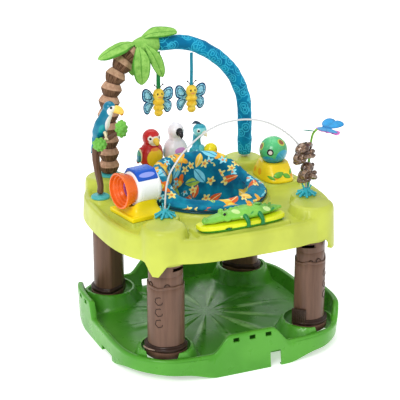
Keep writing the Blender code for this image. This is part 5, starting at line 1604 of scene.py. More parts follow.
def seatSack():
    s = seatShape
    n = s["around"]
    outer = s["outer"] - s["slack"]
    inner = 0.168 - s["slack"]

    def loop(radius, level, fromTop=False, gather=0.0):
        ring = []
        for i in range(n):
            angle = math.tau * i / n
            r = radius * (1 + gather * math.cos(18 * angle + 3 * math.sin(angle)))
            ring.append((r * math.cos(angle), r * math.sin(angle), seatCrest(angle) + level if fromTop
                else level))
        return ring

    rings = [loop(0.053, 0.2725), loop(0.084, 0.288), loop(0.1105, 0.3095, gather=0.006),
        loop(0.126, 0.344, gather=0.008), loop(0.137, 0.381, gather=0.008), loop(0.1435, 0.42),
        loop(0.1475, s["rest"] + 0.0006), loop(0.165, s["rest"] + 0.0008), loop(0.1835, s["rest"] + 0.0012),
        loop(0.1872, s["rest"] + 0.0042), loop(outer, s["rest"] + 0.011)]
    for share in (0.33, 0.66):
        rings.append([tuple(a + (b - a) * share for a, b in zip(p, q)) for p, q in
                      zip(loop(outer, s["rest"] + 0.011), loop(inner, -0.012, True))])
    rings += [loop(inner, -0.012, True), loop(0.1635, -0.0055, True), loop(0.157, -0.0025, True),
        loop(0.147, -0.0016, True), loop(0.1385, -0.007, True), loop(0.1335, -0.015, True),
        loop(0.1325, -0.024, True), loop(0.1335, 0.452), loop(0.1345, 0.43),
        loop(0.1315, 0.384, gather=0.006), loop(0.119, 0.345, gather=0.008),
        loop(0.1045, 0.3205, gather=0.006), loop(0.08, 0.297), loop(0.05, 0.2835)]
    return skinRings("seat_sack", rings)


def legPlacesInSeat():
    s = seatShape
    turn = math.radians(s["backTurn"])
    front = Vector((-math.cos(turn), -math.sin(turn), 0))
    across = Vector((-front.y, front.x, 0))
    return [across * (hand * s["legReach"]) + front * s["legForward"] for hand in (-1, 1)]


def puffUp(piece, voxel, cap, pressure=4.0, frames=20, holds=()):
    # the cloth swells a little under pressure, and no point moves further than the cap
    applyModifier(piece, "REMESH", mode="VOXEL", voxel_size=voxel)
    start = [vert.co.copy() for vert in piece.data.vertices]
    group = piece.vertex_groups.new(name="held")
    group.add([v.index for v in piece.data.vertices if any(hold(v.co) for hold in holds)], 1.0,
        "REPLACE")
    only(piece)
    cloth = piece.modifiers.new("cloth", "CLOTH")
    cloth.settings.quality = 5
    cloth.settings.mass = 0.15
    cloth.settings.tension_stiffness = 12
    cloth.settings.compression_stiffness = 12
    cloth.settings.shear_stiffness = 6
    cloth.settings.bending_stiffness = 0.4
    cloth.settings.use_pressure = True
    cloth.settings.uniform_pressure_force = pressure
    cloth.settings.effector_weights.gravity = 0
    cloth.settings.vertex_group_mass = "held"
    cloth.collision_settings.use_collision = False
    for frameNow in range(1, frames + 1):
        scene.frame_set(frameNow)
    bpy.ops.object.modifier_apply(modifier="cloth")
    scene.frame_set(1)
    piece.vertex_groups.clear()
    for vert, was in zip(piece.data.vertices, start):
        step = vert.co - was
        if step.length > cap:
            vert.co = was + step.normalized() * cap
    applyModifier(piece, "SMOOTH", factor=0.5, iterations=2)
    return applyModifier(piece, "SUBSURF", levels=1, render_levels=1)


def buildSeat():
    s = seatShape
    teal = mouldedPlastic("tealRingPlastic", (0.008, 0.115, 0.185), 0.32)
    finishPiece(seatRingPiece(), teal, "seat", ("seat_ring",), 35)
    sack = seatSack()
    holes = []
    for spot in legPlacesInSeat():
        holes.append(cylinderPiece("hole", s["legHole"] + 0.001, 0.24, 0.37, (spot.x, spot.y), 40))
    combined(sack, joined("holes", holes), "DIFFERENCE")
    puffUp(sack, s["voxel"], s["cap"], 2.4, 20,
        [lambda co: math.hypot(co.x, co.y) > 0.14 and abs(co.z - s["rest"]) < 0.004])
    # creases that pull towards the seams, and the underside kept on its ring
    for vert in sack.data.vertices:
        co = vert.co
        angle = math.atan2(co.y, co.x)
        radius = math.hypot(co.x, co.y)
        pull = 0.0011 * math.sin(angle * 31 + co.z * 40) * smoothStep(0.3, 0.42, co.z)
        limit = 0.1478 if co.z < s["rest"] - 0.0002 else s["outer"] + 0.0008
        fresh = min(radius + pull, limit) if radius > 0.02 else radius
        if radius > 0.02:
            co.x *= fresh / radius
            co.y *= fresh / radius
        if radius > 0.1485:
            co.z = max(co.z, s["rest"] + 0.0001)
        co.z = min(co.z, seatCrest(angle) + 0.0035)
    cloth = jungleCloth()
    sack.name = "seat_cloth"
    finishPiece(sack, cloth, "seat", ("seat_fabric",), 180)
    # sewn piping round the foot and the crest of the roll
    piping = []
    for radius, levelOf in ((s["outer"] - s["slack"], lambda a: s["rest"] + 0.0026),
            (0.134, lambda a: seatCrest(a) - 0.019)):
        rings = []
        for i in range(220):
            angle = math.tau * i / 220
            out = Vector((math.cos(angle), math.sin(angle), 0))
            centre = out * radius + Vector((0, 0, levelOf(angle)))
            rings.append([centre + out * (0.0016 * math.cos(t)) + Vector((0, 0, 0.0016 * math.sin(t)))
                for t in [math.tau * k / 8 for k in range(8)]])
        piping.append(skinRings("piping", rings, closed=True))
    finishPiece(joined("seat_piping", piping), strapWeb("darkTealPiping", (0.004, 0.075, 0.14)), "seat", (),
        60)
    print("seat", len(sack.data.polygons))


buildSeat()


# White wire arch with its splashes, monkeys and butterfly
wireShape = {
    "plane": -0.178, "floor": 0.47, "radius": 0.0028,
    "line": [
        (-0.213, 0.002), (-0.213, 0.03), (-0.209, 0.085), (-0.198, 0.127), (-0.176, 0.162),
        (-0.15, 0.193), (-0.106, 0.229), (-0.066, 0.251), (-0.015, 0.265), (0.05, 0.266),
        (0.112, 0.251), (0.166, 0.221), (0.212, 0.182), (0.24, 0.14), (0.251, 0.09),
        (0.2555, 0.04), (0.2565, 0.002),
    ],
    "wide": {"lower": 1.06, "upper": 1.2}, "tall": {"lower": 1.0, "upper": 0.94},
    "monkeys": {
        "lower": ((0.2528, -0.178, 0.54182), (-0.1019, 0.0, 0.99479), 0.4),
        "upper": ((0.23934, -0.178, 0.60694), (-0.36249, 0.0, 0.93199), 0.1),
    },
}


def splashPiece(name, x, y, turn):
    # a splash of moulded rubber round the wire's foot
    floor = wireShape["floor"] + toyGap
    parts = [turnedPiece("dish", [(0.0, floor), (0.0185, floor), (0.0205, floor + 0.0012),
        (0.017, floor + 0.0048), (0.0098, floor + 0.0098), (0.0075, floor + 0.017), (0.007, floor + 0.0235),
        (0.0, floor + 0.024)], 40)]
    for k in range(8):
        angle = turn + math.tau * k / 8 + 0.12 * math.sin(k * 2.3)
        out = Vector((math.cos(angle), math.sin(angle), 0))
        reach = 0.0315 + 0.003 * math.sin(k * 1.7)
        points = [out * 0.006 + Vector((0, 0, floor + 0.017)),
            out * 0.0125 + Vector((0, 0, floor + 0.0128)), out * 0.0195 + Vector((0, 0, floor + 0.0088)),
            out * reach + Vector((0, 0, floor + 0.0036))]
        parts.append(tubePiece("arm", points, [0.004, 0.004, 0.0036, 0.0038], 12, (0, 0, 1), steps=14))
        parts.append(ballPiece("drop", 0.0042, (out.x * reach, out.y * reach, floor + 0.0036), columns=14,
            rows=10))
        if k % 2 == 0:
            rise = [out * 0.007 + Vector((0, 0, floor + 0.017)),
                out * 0.0125 + Vector((0, 0, floor + 0.024)), out * 0.0165 + Vector((0, 0, floor + 0.033))]
            parts.append(tubePiece("jet", rise, [0.0032, 0.0026, 0.0018], 12, (0, 0, 1), steps=12))
            parts.append(ballPiece("drop", 0.003, tuple(rise[2]), columns=14, rows=10))
    splash = melted(name, parts, 0.0009, 5, 0.6)
    grounded(splash, floor)
    moved(splash, (x, y, 0))
    return combined(splash, cylinderPiece("bore", wireShape["radius"] + 0.0008, floor - 0.01, floor + 0.05,
        (x, y), 24), "DIFFERENCE")


def monkeyPiece(name):
    # curled up, with its arms raised and its legs drawn in
    parts = [
        ballPiece("belly", 0.0212, (0, 0, -0.007), (1.14, 1.0, 0.86)),
        ballPiece("head", 0.0178, (0.003, -0.004, 0.015), (1.12, 1.0, 0.98)),
        ballPiece("muzzle", 0.0078, (0.0075, -0.0165, 0.012), (1.15, 0.75, 0.85)),
        ballPiece("brow", 0.0058, (0.005, -0.0155, 0.02), (1.5, 0.6, 0.6)),
        ballPiece("ear", 0.0052, (-0.0105, -0.006, 0.0215), (0.6, 1.0, 1.2)),
        ballPiece("ear", 0.0052, (0.019, -0.001, 0.0215), (0.6, 1.0, 1.2)),
        ballPiece("rump", 0.01, (-0.01, 0.01, -0.013)),
    ]
    limbs = [
        [(-0.014, -0.01, -0.012), (-0.0265, -0.013, -0.002), (-0.027, -0.016, 0.009),
            (-0.019, -0.018, 0.0165)],
        [(0.014, 0.01, -0.01), (0.0275, 0.005, 0.0), (0.0275, -0.004, 0.0105), (0.0225, -0.008, 0.0175)],
        [(0.01, -0.012, -0.016), (0.0175, -0.0215, -0.0175), (0.008, -0.0245, -0.0095),
            (-0.004, -0.0235, -0.0045)],
        [(-0.012, 0.01, -0.014), (-0.0225, 0.006, -0.019), (-0.0215, -0.01, -0.0175),
            (-0.011, -0.0205, -0.0145)],
        [(0.013, 0.01, -0.016), (0.0255, 0.003, -0.0185), (0.0265, -0.008, -0.012),
            (0.0205, -0.017, -0.004)],
    ]
    for points in limbs:
        parts.append(tubePiece("limb", points, [0.0074, 0.0068, 0.0062, 0.0062], 14, (0.1, 0.2, 1),
            steps=18))
        parts.append(ballPiece("paw", 0.0072, points[-1], (1, 1, 1), columns=16, rows=12))
    monkey = melted(name, parts, 0.00095, 2, 0.5)
    # fine grooves over the whole skin
    for vert in monkey.data.vertices:
        co = vert.co
        groove = math.sin(co.x * 520 + co.z * 260) * math.sin(co.y * 430 - co.z * 310)
        vert.co = co * 1.04 + co.normalized() * (0.0004 * groove)
    return monkey


def fleckedBrown():
    material, tree, shader, coords = startMaterial("fleckedBrownPlastic")
    veins = noiseNode(tree, coords, 120.0, 3.0, 0.6)
    line = ramp(tree, apart(tree, veins, 0.5), 0.012, 0.045, 1.0, 0.0)
    tone = mottled(tree, coords, 60.0, 0.35, 0.65, (0.095, 0.048, 0.026), (0.34, 0.205, 0.125))
    base = blended(tree, times(tree, line, 0.85), tone, (0.018, 0.009, 0.005))
    dress(tree, shader, tone=base, rough=0.16, coat=0.9)
    addBump(tree, shader, veins, 0.45, 0.001)
    return material


def buildWireArch():
    w = wireShape
    path = softPath([(x, w["plane"], w["floor"] + z) for x, z in w["line"]], 220)
    wire = skinRings("wire_bow", tubeRings(path, [w["radius"] * 0.82] + [w["radius"]] * 219
        + [w["radius"] * 0.82], 18))
    white = mouldedPlastic("whiteCoatedWire", (0.6, 0.6, 0.6), 0.3, coat=0.2, deepen=0.04)
    finishPiece(wire, white, "tray", ("wire_arch",), 60)
    aqua = mouldedPlastic("aquaSplashRubber", (0.06, 0.53, 0.64), 0.28, coat=0.4, deepen=0.2)
    for name, spot, turn in (("front", path[0], 0.2), ("right", path[-1], 0.5)):
        finishPiece(splashPiece("splash_mould_" + name, spot.x, spot.y, turn), aqua, "tray",
            ("splash_" + name,), 60)
    brown = fleckedBrown()
    for name, (place, rise, lean) in w["monkeys"].items():
        monkey = monkeyPiece(name + "_monkey_mould")
        monkey.data.transform(Matrix.Diagonal((w["wide"][name], 1.0, w["tall"][name], 1.0)))
        moved(monkey, (0, 0, 0), (0, 0, lean))
        rise = Vector(rise)
        turn = Vector((0, 0, 1)).rotation_difference(rise).to_euler()
        moved(monkey, place, turn)
        bore = [Vector(place) + rise * (0.008 * k) for k in range(-6, 7)]
        combined(monkey, skinRings("bore", tubeRings(bore, [0.0058] * 13, 24)), "DIFFERENCE")
        finishPiece(monkey, brown, name + "_monkey", (name + "_monkey",), 60)
    print("wire arch")


buildWireArch()


butterflyShape = {
    "foot": (0.284, -0.135, 0.4746), "forward": (0.914, -0.405, -0.06), "slope": (0.85, -0.51, -0.215),
    "side": (0.51, 0.85, 0.0),
    "head": (0.284, -0.1725, 0.672), "rise": {-1: 0.06, 1: 0.34}, "sweep": {-1: -0.34, 1: 0.18},
    "frontWing": [(0.018, 0.004), (0.013, 0.022), (0.02, 0.043), (0.033, 0.052), (0.046, 0.049),
        (0.051, 0.036), (0.043, 0.014), (0.03, 0.003)],
    "rearWing": [(0.03, 0.003), (0.036, 0.02), (0.043, 0.038), (0.056, 0.049), (0.072, 0.046),
        (0.0785, 0.032), (0.066, 0.014), (0.048, 0.002)],
}


def leafWingPlastic(name, colour, edge):
    material, tree, shader, coords = startMaterial(name)
    parts = splitAxes(tree, wrapCoords(tree))
    rim = ramp(tree, parts["Y"], 0.72, 0.92)
    veins = mathNode(tree, "ABSOLUTE", mathNode(tree, "SINE", times(tree, parts["X"], 28.0)))
    veins = times(tree, ramp(tree, veins, 0.05, 0.16, 1.0, 0.0), 0.6)
    base = mottled(tree, coords, 70.0, 0.3, 0.7, tuple(c * 0.8 for c in colour), colour)
    base = blended(tree, larger(tree, times(tree, rim, 0.55), veins), base, edge)
    dress(tree, shader, tone=base, rough=0.28, coat=0.25)
    addBump(tree, shader, veins, 0.3, 0.0005)
    return material


def buildButterfly():
    b = butterflyShape
    foot = Vector(b["foot"])
    points = [foot, (0.287, -0.134, 0.54), (0.29, -0.137, 0.61), (0.288, -0.152, 0.65),
        (0.2885, -0.1685, 0.669), (0.295, -0.1735, 0.6765)]
    path = softPath(points, 60)
    radii = [0.0042 - 0.0008 * smoothStep(0.25, 0.6, k / 60) + 0.00018 * math.cos(k * 1.6)
        for k in range(61)]
    stem = joined("butterfly_stem_mould", [
        skinRings("stem", tubeRings(path, radii, 18, (1, 0, 0))),
        ballPiece("root", 0.0049, foot, columns=24, rows=14)])
    green = mouldedPlastic("stemGreenPlastic", (0.27, 0.56, 0.075), 0.34)
    finishPiece(stem, green, "butterfly", ("butterfly_stem",), 60)
    side = Vector(b["side"]).normalized()
    middle = Vector(b["head"]) + Vector(b["forward"]).normalized() * 0.0405
    forward = Vector(b["slope"]).normalized()
    start = middle - forward * 0.0365
    steps = (-0.001, 0.008, 0.016, 0.027, 0.036, 0.047, 0.056, 0.065, 0.073)
    body = tubePiece("body", [start + forward * step for step in steps],
        [0.002, 0.0056, 0.0072, 0.006, 0.0073, 0.0056, 0.0066, 0.0078, 0.0026], 20, (0, 0, 1), steps=64)
    marks = [body]
    for hand in (-1, 1):
        tip = start + forward * 0.0735 + side * (hand * 0.008) + Vector((0, 0, 0.007))
        marks.append(tubePiece("feeler", [start + forward * 0.064 + Vector((0, 0, 0.003)),
            start + forward * 0.069 + side * (hand * 0.004) + Vector((0, 0, 0.0072)), tip],
            [0.001, 0.0008, 0.0008], 8, steps=10))
        marks.append(ballPiece("tip", 0.0016, tip, columns=12, rows=8))
    heading = (0, 0, math.atan2(forward.y, forward.x))
    bands = [(tuple(start + forward * step), (thin, 0.02, 0.02), heading, (0.3, 0.1, 0.46))
             for step, thin in ((0.0315, 0.0028), (0.0515, 0.0024))]
    pink = mouldedPlastic("pinkBodyPlastic", (0.74, 0.21, 0.6), 0.3, bands)
    finishPiece(joined("butterfly_body_mould", marks), pink, "butterfly", ("butterfly_body",),
        60)

    def lay(hand, rise, lift0):
        return lambda a, c, lift: start + forward * (a + b["sweep"][hand] * c) + side * (hand * c) + Vector(
            (0, 0, rise * abs(c) + lift0 + lift))

    wings = []
    for hand in (-1, 1):
        wings.append(pillowPiece("wing", b["frontWing"], (0.026, 0.028), 0.0012,
            lay(hand, b["rise"][hand], 0.0088)))
        wings.append(pillowPiece("wing", b["rearWing"], (0.06, 0.028), 0.0012,
            lay(hand, b["rise"][hand], 0.0092)))
    wings.append(tubePiece("bridge", [start + forward * 0.018 + Vector((0, 0, 0.009)),
        start + forward * 0.048 + Vector((0, 0, 0.0093))], [0.0016, 0.0016], 12, steps=6))
    for wing in wings:
        closeUp(wing)
    finishPiece(joined("butterfly_wing_mould", wings), leafWingPlastic("blueWingPlastic", (0.03, 0.4, 0.8),
        (0.01, 0.13, 0.4)), "butterfly", ("butterfly_wings",), 60)
    # narrow green leaf on the stem below the butterfly
    leaf = pillowPiece("butterfly_leaf", [(0.0, 0.0), (0.01, 0.0065), (0.024, 0.007), (0.042, 0.0),
        (0.024, -0.007), (0.01, -0.0065)], (0.018, 0.0), 0.0014,
        lambda a, c, lift: Vector((0.2835 - a * 0.86, -0.17 + a * 0.3 + c, 0.669 + a * 0.1 + lift)))
    finishPiece(leaf, leafWingPlastic("darkLeafPlastic", (0.03, 0.29, 0.2), (0.01, 0.14, 0.1)), "butterfly",
        (), 60)
    print("butterfly")


buildButterfly()


# Toucan on its tree
toucanShape = {
    "place": (-0.31, 0.113, 0.4466), "turn": -23.9,
    "branch": [(0, 0, 0.0192), (0.001, 0, 0.0434), (-0.006, 0, 0.0834), (-0.011, 0, 0.1284),
        (-0.008, 0, 0.1684), (0.01, 0, 0.1874), (0.036, 0, 0.1964), (0.058, 0, 0.2134)],
    "girth": [0.01, 0.01, 0.0106, 0.0116, 0.0118, 0.0096, 0.0076, 0.0062],
}


def bushPiece(name, radius, centre, squash, seed):
    # a round bush of overlapping leaf lumps
    parts = [ballPiece("heart", radius * 0.9, centre, squash)]
    count = 26
    for k in range(count):
        height = 1 - 2 * (k + 0.5) / count
        ring = math.sqrt(1 - height * height)
        angle = goldenTurn * k + seed
        out = Vector((ring * math.cos(angle) * squash[0], ring * math.sin(angle) * squash[1],
            height * squash[2]))
        spot = Vector(centre) + out * radius * 0.8
        parts.append(ballPiece("lump", radius * 0.3, spot, (1, 1, 1), columns=12, rows=8))
    return melted(name, parts, radius * 0.045, 3, 0.5)


def barkPiece(name, points, girth):
    count, sides, ridge = 90, 36, 0.0009
    path = softPath(points, count)
    rings = []
    for k, centre in enumerate(path):
        across, up = frameAt(path, k, (0, 1, 0))
        radius = valueAt(girth, (len(girth) - 1) * k / count) - ridge * 0.5
        ring = []
        for j in range(sides):
            angle = math.tau * j / sides
            reach = radius + ridge * (0.6 * math.sin(angle * 7 + k * 0.12)
                + 0.4 * math.sin(angle * 11 - k * 0.31))
            ring.append(centre + across * (reach * math.cos(angle)) + up * (reach * math.sin(angle)))
        rings.append(ring)
    return skinRings(name, rings)


_, setToucanDown, toucanPaint = toyPlace(Vector(toucanShape["place"]), toucanShape["turn"])


def buildToucanTree():
    t = toucanShape
    base = turnedPiece("toucan_disc", [(0.0, 0.0003), (0.0282, 0.0003), (0.029, 0.0012), (0.029, 0.0058),
        (0.0282, 0.0068), (0.0245, 0.0096), (0.0225, 0.01), (0.0218, 0.0094), (0.0204, 0.0094),
        (0.0196, 0.0102), (0.0135, 0.0108), (0.0, 0.0109)], 64)
    finishPiece(setToucanDown(base), mouldedPlastic("aquaDiscPlastic", (0.095, 0.46, 0.47), 0.34), "tray",
        ("toucan_base",), 40)
    parts = [barkPiece("branch", t["branch"], t["girth"]), ballPiece("root", 0.0104, (0, 0, 0.0205),
        (1, 1, 0.85))]
    for spot, radius, squash in (((-0.0135, -0.004, 0.1), 0.0052, (1, 1, 1.3)),
            ((-0.0185, 0.002, 0.14), 0.0056, (1, 1, 1.2)), ((0.0015, -0.0085, 0.15), 0.0045, (1, 1, 1.5))):
        parts.append(ballPiece("knot", radius, spot, squash, columns=16, rows=12))
    for points in ([(-0.006, -0.004, 0.158), (-0.004, -0.013, 0.168), (-0.003, -0.02, 0.176)],
            [(0.036, 0.0, 0.1964), (0.05, 0.001, 0.207), (0.061, 0.001, 0.222)]):
        parts.append(tubePiece("twig", points, [0.0058, 0.005, 0.0042], 14, steps=12))
    tree = joined("toucan_trunk", parts)
    finishPiece(setToucanDown(tree), barkPlastic("treeBarkPlastic", (0.15, 0.08, 0.05)), "toucan",
        ("toucan_tree",), 50)
    bushes = joined("toucan_bushes", [
        bushPiece("bush", 0.0213, (0.003, -0.021, 0.18), (1.0, 1.0, 0.96), 0.4),
        bushPiece("bush", 0.0195, (0.069, 0.0, 0.2235), (1.0, 0.9, 1.5), 1.3)])
    finishPiece(setToucanDown(bushes), mouldedPlastic("bushGreenPlastic", (0.19, 0.52, 0.085), 0.4,
        deepen=0.22), "toucan", (), 60)


def buildToucanBody():
    points = [(-0.024, 0.026, 0.1364), (-0.016, 0.024, 0.164), (-0.008, 0.02, 0.19), (0.002, 0.014, 0.216),
        (0.013, 0.01, 0.242), (0.023, 0.008, 0.266), (0.029, 0.007, 0.281)]
    body = [tubePiece("torso", points, [0.0045, 0.0092, 0.0146, 0.0215, 0.0232, 0.0196, 0.017], 24,
        steps=40), ballPiece("head", 0.0195, (0.033, 0.007, 0.2895))]
    for hand in (-1, 1):
        body.append(ballPiece("wing", 0.0125, (0.001, 0.012 + hand * 0.0145, 0.229), (0.62, 0.42, 2.1),
            (0.0, 0.4, 0.0)))
    toucan = melted("toucan_bird", body, 0.0009, 5, 0.5)
    blue = mouldedPlastic("toucanPlastic", (0.0, 0.21, 0.33), 0.24, [
        toucanPaint((0.036, 0.002, 0.244), (0.0175, 0.022, 0.03), (0.9, 0.87, 0.84), (0, 0.3)),
        toucanPaint((0.041, 0.0, 0.282), (0.016, 0.021, 0.017), (0.92, 0.9, 0.86)),
        toucanPaint((0.0395, -0.0095, 0.2925), (0.0042, 0.0046, 0.0042), (0.02, 0.02, 0.025)),
        toucanPaint((0.0395, 0.0235, 0.2925), (0.0042, 0.0046, 0.0042), (0.02, 0.02, 0.025)),
        toucanPaint((0.009, -0.012, 0.225), (0.009, 0.01, 0.016), (0.0, 0.33, 0.36), (0, 0.35)),
    ], coat=0.5, deepen=0.15)
    finishPiece(setToucanDown(toucan), blue, "toucan", ("toucan_body",), 60)


def buildToucanBeak():
    beak = tubePiece("beak", [(0.0445, 0.007, 0.2815), (0.051, 0.007, 0.283), (0.058, 0.007, 0.2825),
        (0.0675, 0.007, 0.276), (0.0725, 0.007, 0.2645)], [0.0108, 0.0128, 0.0124, 0.0098, 0.0036], 24,
        flat=0.8, steps=36)
    seam = tubePiece("seam", [(0.0515, -0.003, 0.2778), (0.06, -0.0022, 0.2762), (0.068, 0.0004, 0.27)],
        [0.0006, 0.0007, 0.0004], 8, steps=10)
    orange = mouldedPlastic("beakYellowPlastic", (0.92, 0.6, 0.11), 0.28, [
        toucanPaint((0.074, 0.007, 0.263), (0.0075, 0.012, 0.0085), (0.66, 0.24, 0.05))], coat=0.4)
    finishPiece(setToucanDown(joined("toucan_bill", [beak, seam])), orange, "toucan", ("toucan_beak",),
        60)


def buildToucanFeet():
    feet = []
    for hand in (-1, 1):
        feet.append(tubePiece("leg", [(0.016, 0.008 + hand * 0.009, 0.216),
            (0.02, 0.004 + hand * 0.008, 0.208), (0.0225, hand * 0.0085, 0.2)], [0.0052, 0.0046, 0.0044],
            14, steps=10))
        for toe in (-1, 0, 1):
            feet.append(tubePiece("toe",
                [(0.0225, hand * 0.009, 0.1985), (0.0225 + toe * 0.0045, hand * 0.011, 0.1935),
                (0.0225 + toe * 0.0055, hand * 0.01, 0.188)], [0.003, 0.0026, 0.0014], 10, steps=8))
    finishPiece(setToucanDown(joined("toucan_feet", feet)), mouldedPlastic("paleFootPlastic",
        (0.82, 0.7, 0.46), 0.34), "toucan", (), 60)


buildToucanTree()
buildToucanBody()
buildToucanBeak()
buildToucanFeet()
print("toucan")


# Birds behind the seat
birdShape = {
    "rest": 0.4614, "stand": ((0.012, 0.283), (0.262, 0.06, 0.014)), "pad": 0.4466,
    "turn": {"red_parrot": -80, "white_bird": -82, "teal_bird": -72},
    "grow": {"red_parrot": 1.075, "white_bird": 1.075, "teal_bird": 1.0},
    "red_parrot": (-0.075, 0.275), "white_bird": (0.016, 0.285), "teal_bird": (0.098, 0.285),
    "sunBall": (0.0315, -0.0315, 0.044, 0.0222),
}


def onBird(name):
    b = birdShape
    turn = math.radians(b["turn"][name])
    spin = Matrix.Rotation(turn, 3, "Z")
    grow = b["grow"][name]
    place = Vector((*b[name], b["rest"]))
    return paintOn(lambda x, y, z: tuple(place + spin @ Vector((x, y, z)) * grow), turn)


def perch(piece, name):
    # a bird's piece is grown, turned and set on its rest point
    piece.data.transform(Matrix.Scale(birdShape["grow"][name], 4))
    return moved(piece, (*birdShape[name], birdShape["rest"]),
        (0, 0, math.radians(birdShape["turn"][name])))


def buildBirdStand():
    b = birdShape
    (cx, cy), (wide, deep, high) = b["stand"]
    low = b["pad"] + toyGap
    stand = [blockPiece("plank", (wide, deep, high - 0.0015), (cx, cy, low + (high - 0.0015) / 2), 0.004,
        4)]
    for name in ("red_parrot", "white_bird", "teal_bird"):
        x, y = b[name]
        rim = [(0.0125, high - 0.003), (0.0262, high - 0.003), (0.0262, high - 0.0012),
            (0.0252, high - 0.0001), (0.0238, high - 0.0001), (0.023, high - 0.0012),
            (0.0125, high - 0.0014)]
        dish = turnedPiece("dish", [(r, low + z) for r, z in rim], 48, True)
        stand.append(moved(dish, (x, y, 0)))
    for x in (-0.11, 0.058, 0.132):
        for y in (0.262, 0.304):
            stand.append(turnedPiece("stud", [(0.0, low + high - 0.003), (0.0035, low + high - 0.003),
                (0.0035, low + high - 0.0012), (0.0028, low + high - 0.0004), (0.0, low + high - 0.0004)],
                20))
            moved(stand[-1], (x, y, 0))
    lime = mouldedPlastic("limeStandPlastic", (0.5, 0.64, 0.05), 0.36)
    finishPiece(joined("bird_perch", stand), lime, "tray", ("bird_stand",), 35)


def buildRedParrot():
    paint = onBird("red_parrot")
    parts = [
        ballPiece("belly", 0.037, (0, 0, 0.0425), (0.92, 1.05, 1.133)),
        tubePiece("neck", [(0, 0, 0.058), (0.001, 0, 0.078), (0.002, 0, 0.098)], [0.0262, 0.0228, 0.0205],
            28, steps=16),
        ballPiece("head", 0.0272, (0.003, 0, 0.098)),
        ballPiece("foot", 0.0165, (0.006, 0, 0.01), (1.3, 1.5, 0.6)),
    ]
    for hand in (-1, 1):
        parts.append(ballPiece("fin", 0.0195, (-0.005, hand * 0.033, 0.047), (0.78, 0.5, 1.28),
            (hand * 0.1, 0.16, 0)))
        parts.append(ballPiece("finTip", 0.009, (-0.012, hand * 0.0375, 0.029), (0.9, 0.5, 1.3),
            (hand * 0.1, 0.25, 0)))
        parts.append(ballPiece("cheek", 0.0105, (0.019, hand * 0.0135, 0.0935), (0.75, 0.85, 1.0)))
    parts.append(tubePiece("tail", [(-0.022, 0, 0.03), (-0.032, 0, 0.02), (-0.037, 0, 0.012)],
        [0.0125, 0.0085, 0.005], 20, steps=12))
    parrot = melted("parrot_mould", parts, 0.0011, 6, 0.5)
    grounded(parrot)
    white, cream, sky = (0.94, 0.88, 0.8), (0.94, 0.84, 0.5), (0.02, 0.28, 0.46)
    spots = [paint((0.03, 0, 0.04), (0.024, 0.031, 0.031), (0.95, 0.62, 0.03)),
             paint((0.034, 0, 0.068), (0.014, 0.024, 0.0065), (0.9, 0.28, 0.05)),
             paint((0.027, 0, 0.0925), (0.016, 0.0235, 0.017), white)]
    for hand in (-1, 1):
        spots.append(paint((-0.004, hand * 0.042, 0.046), (0.0165, 0.015, 0.025), cream))
        spots.append(paint((-0.006, hand * 0.042, 0.043), (0.014, 0.0155, 0.0215), sky))
        spots.append(paint((-0.004, hand * 0.042, 0.053), (0.011, 0.0155, 0.008), (0.1, 0.42, 0.3)))
        spots.append(paint((0.0225, hand * 0.015, 0.1015), (0.0105, 0.0085, 0.0088), white))
        spots.append(paint((0.0262, hand * 0.0165, 0.102), (0.006, 0.004, 0.004), (0.015, 0.015, 0.02)))
    red = mouldedPlastic("redBirdPlastic", (0.64, 0.03, 0.03), 0.24, spots, coat=0.5, deepen=0.12)
    finishPiece(perch(parrot, "red_parrot"), red, "parrot", ("red_parrot",), 60)
    bill = tubePiece("bill", [(0.024, 0, 0.0955), (0.0315, 0, 0.0945), (0.037, 0, 0.089),
        (0.0378, 0, 0.0795)], [0.0085, 0.0098, 0.0076, 0.0022], 22, steps=26)
    cere = ballPiece("cere", 0.0072, (0.028, 0, 0.1), (0.8, 1.1, 0.6))
    beak = mouldedPlastic("yellowBillPlastic", (0.88, 0.6, 0.08), 0.28,
        [paint((0.038, 0, 0.079), (0.0045, 0.006, 0.005), (0.1, 0.06, 0.04))], coat=0.4)
    finishPiece(perch(joined("parrot_bill", [bill, cere]), "red_parrot"), beak, "parrot", (),
        60)


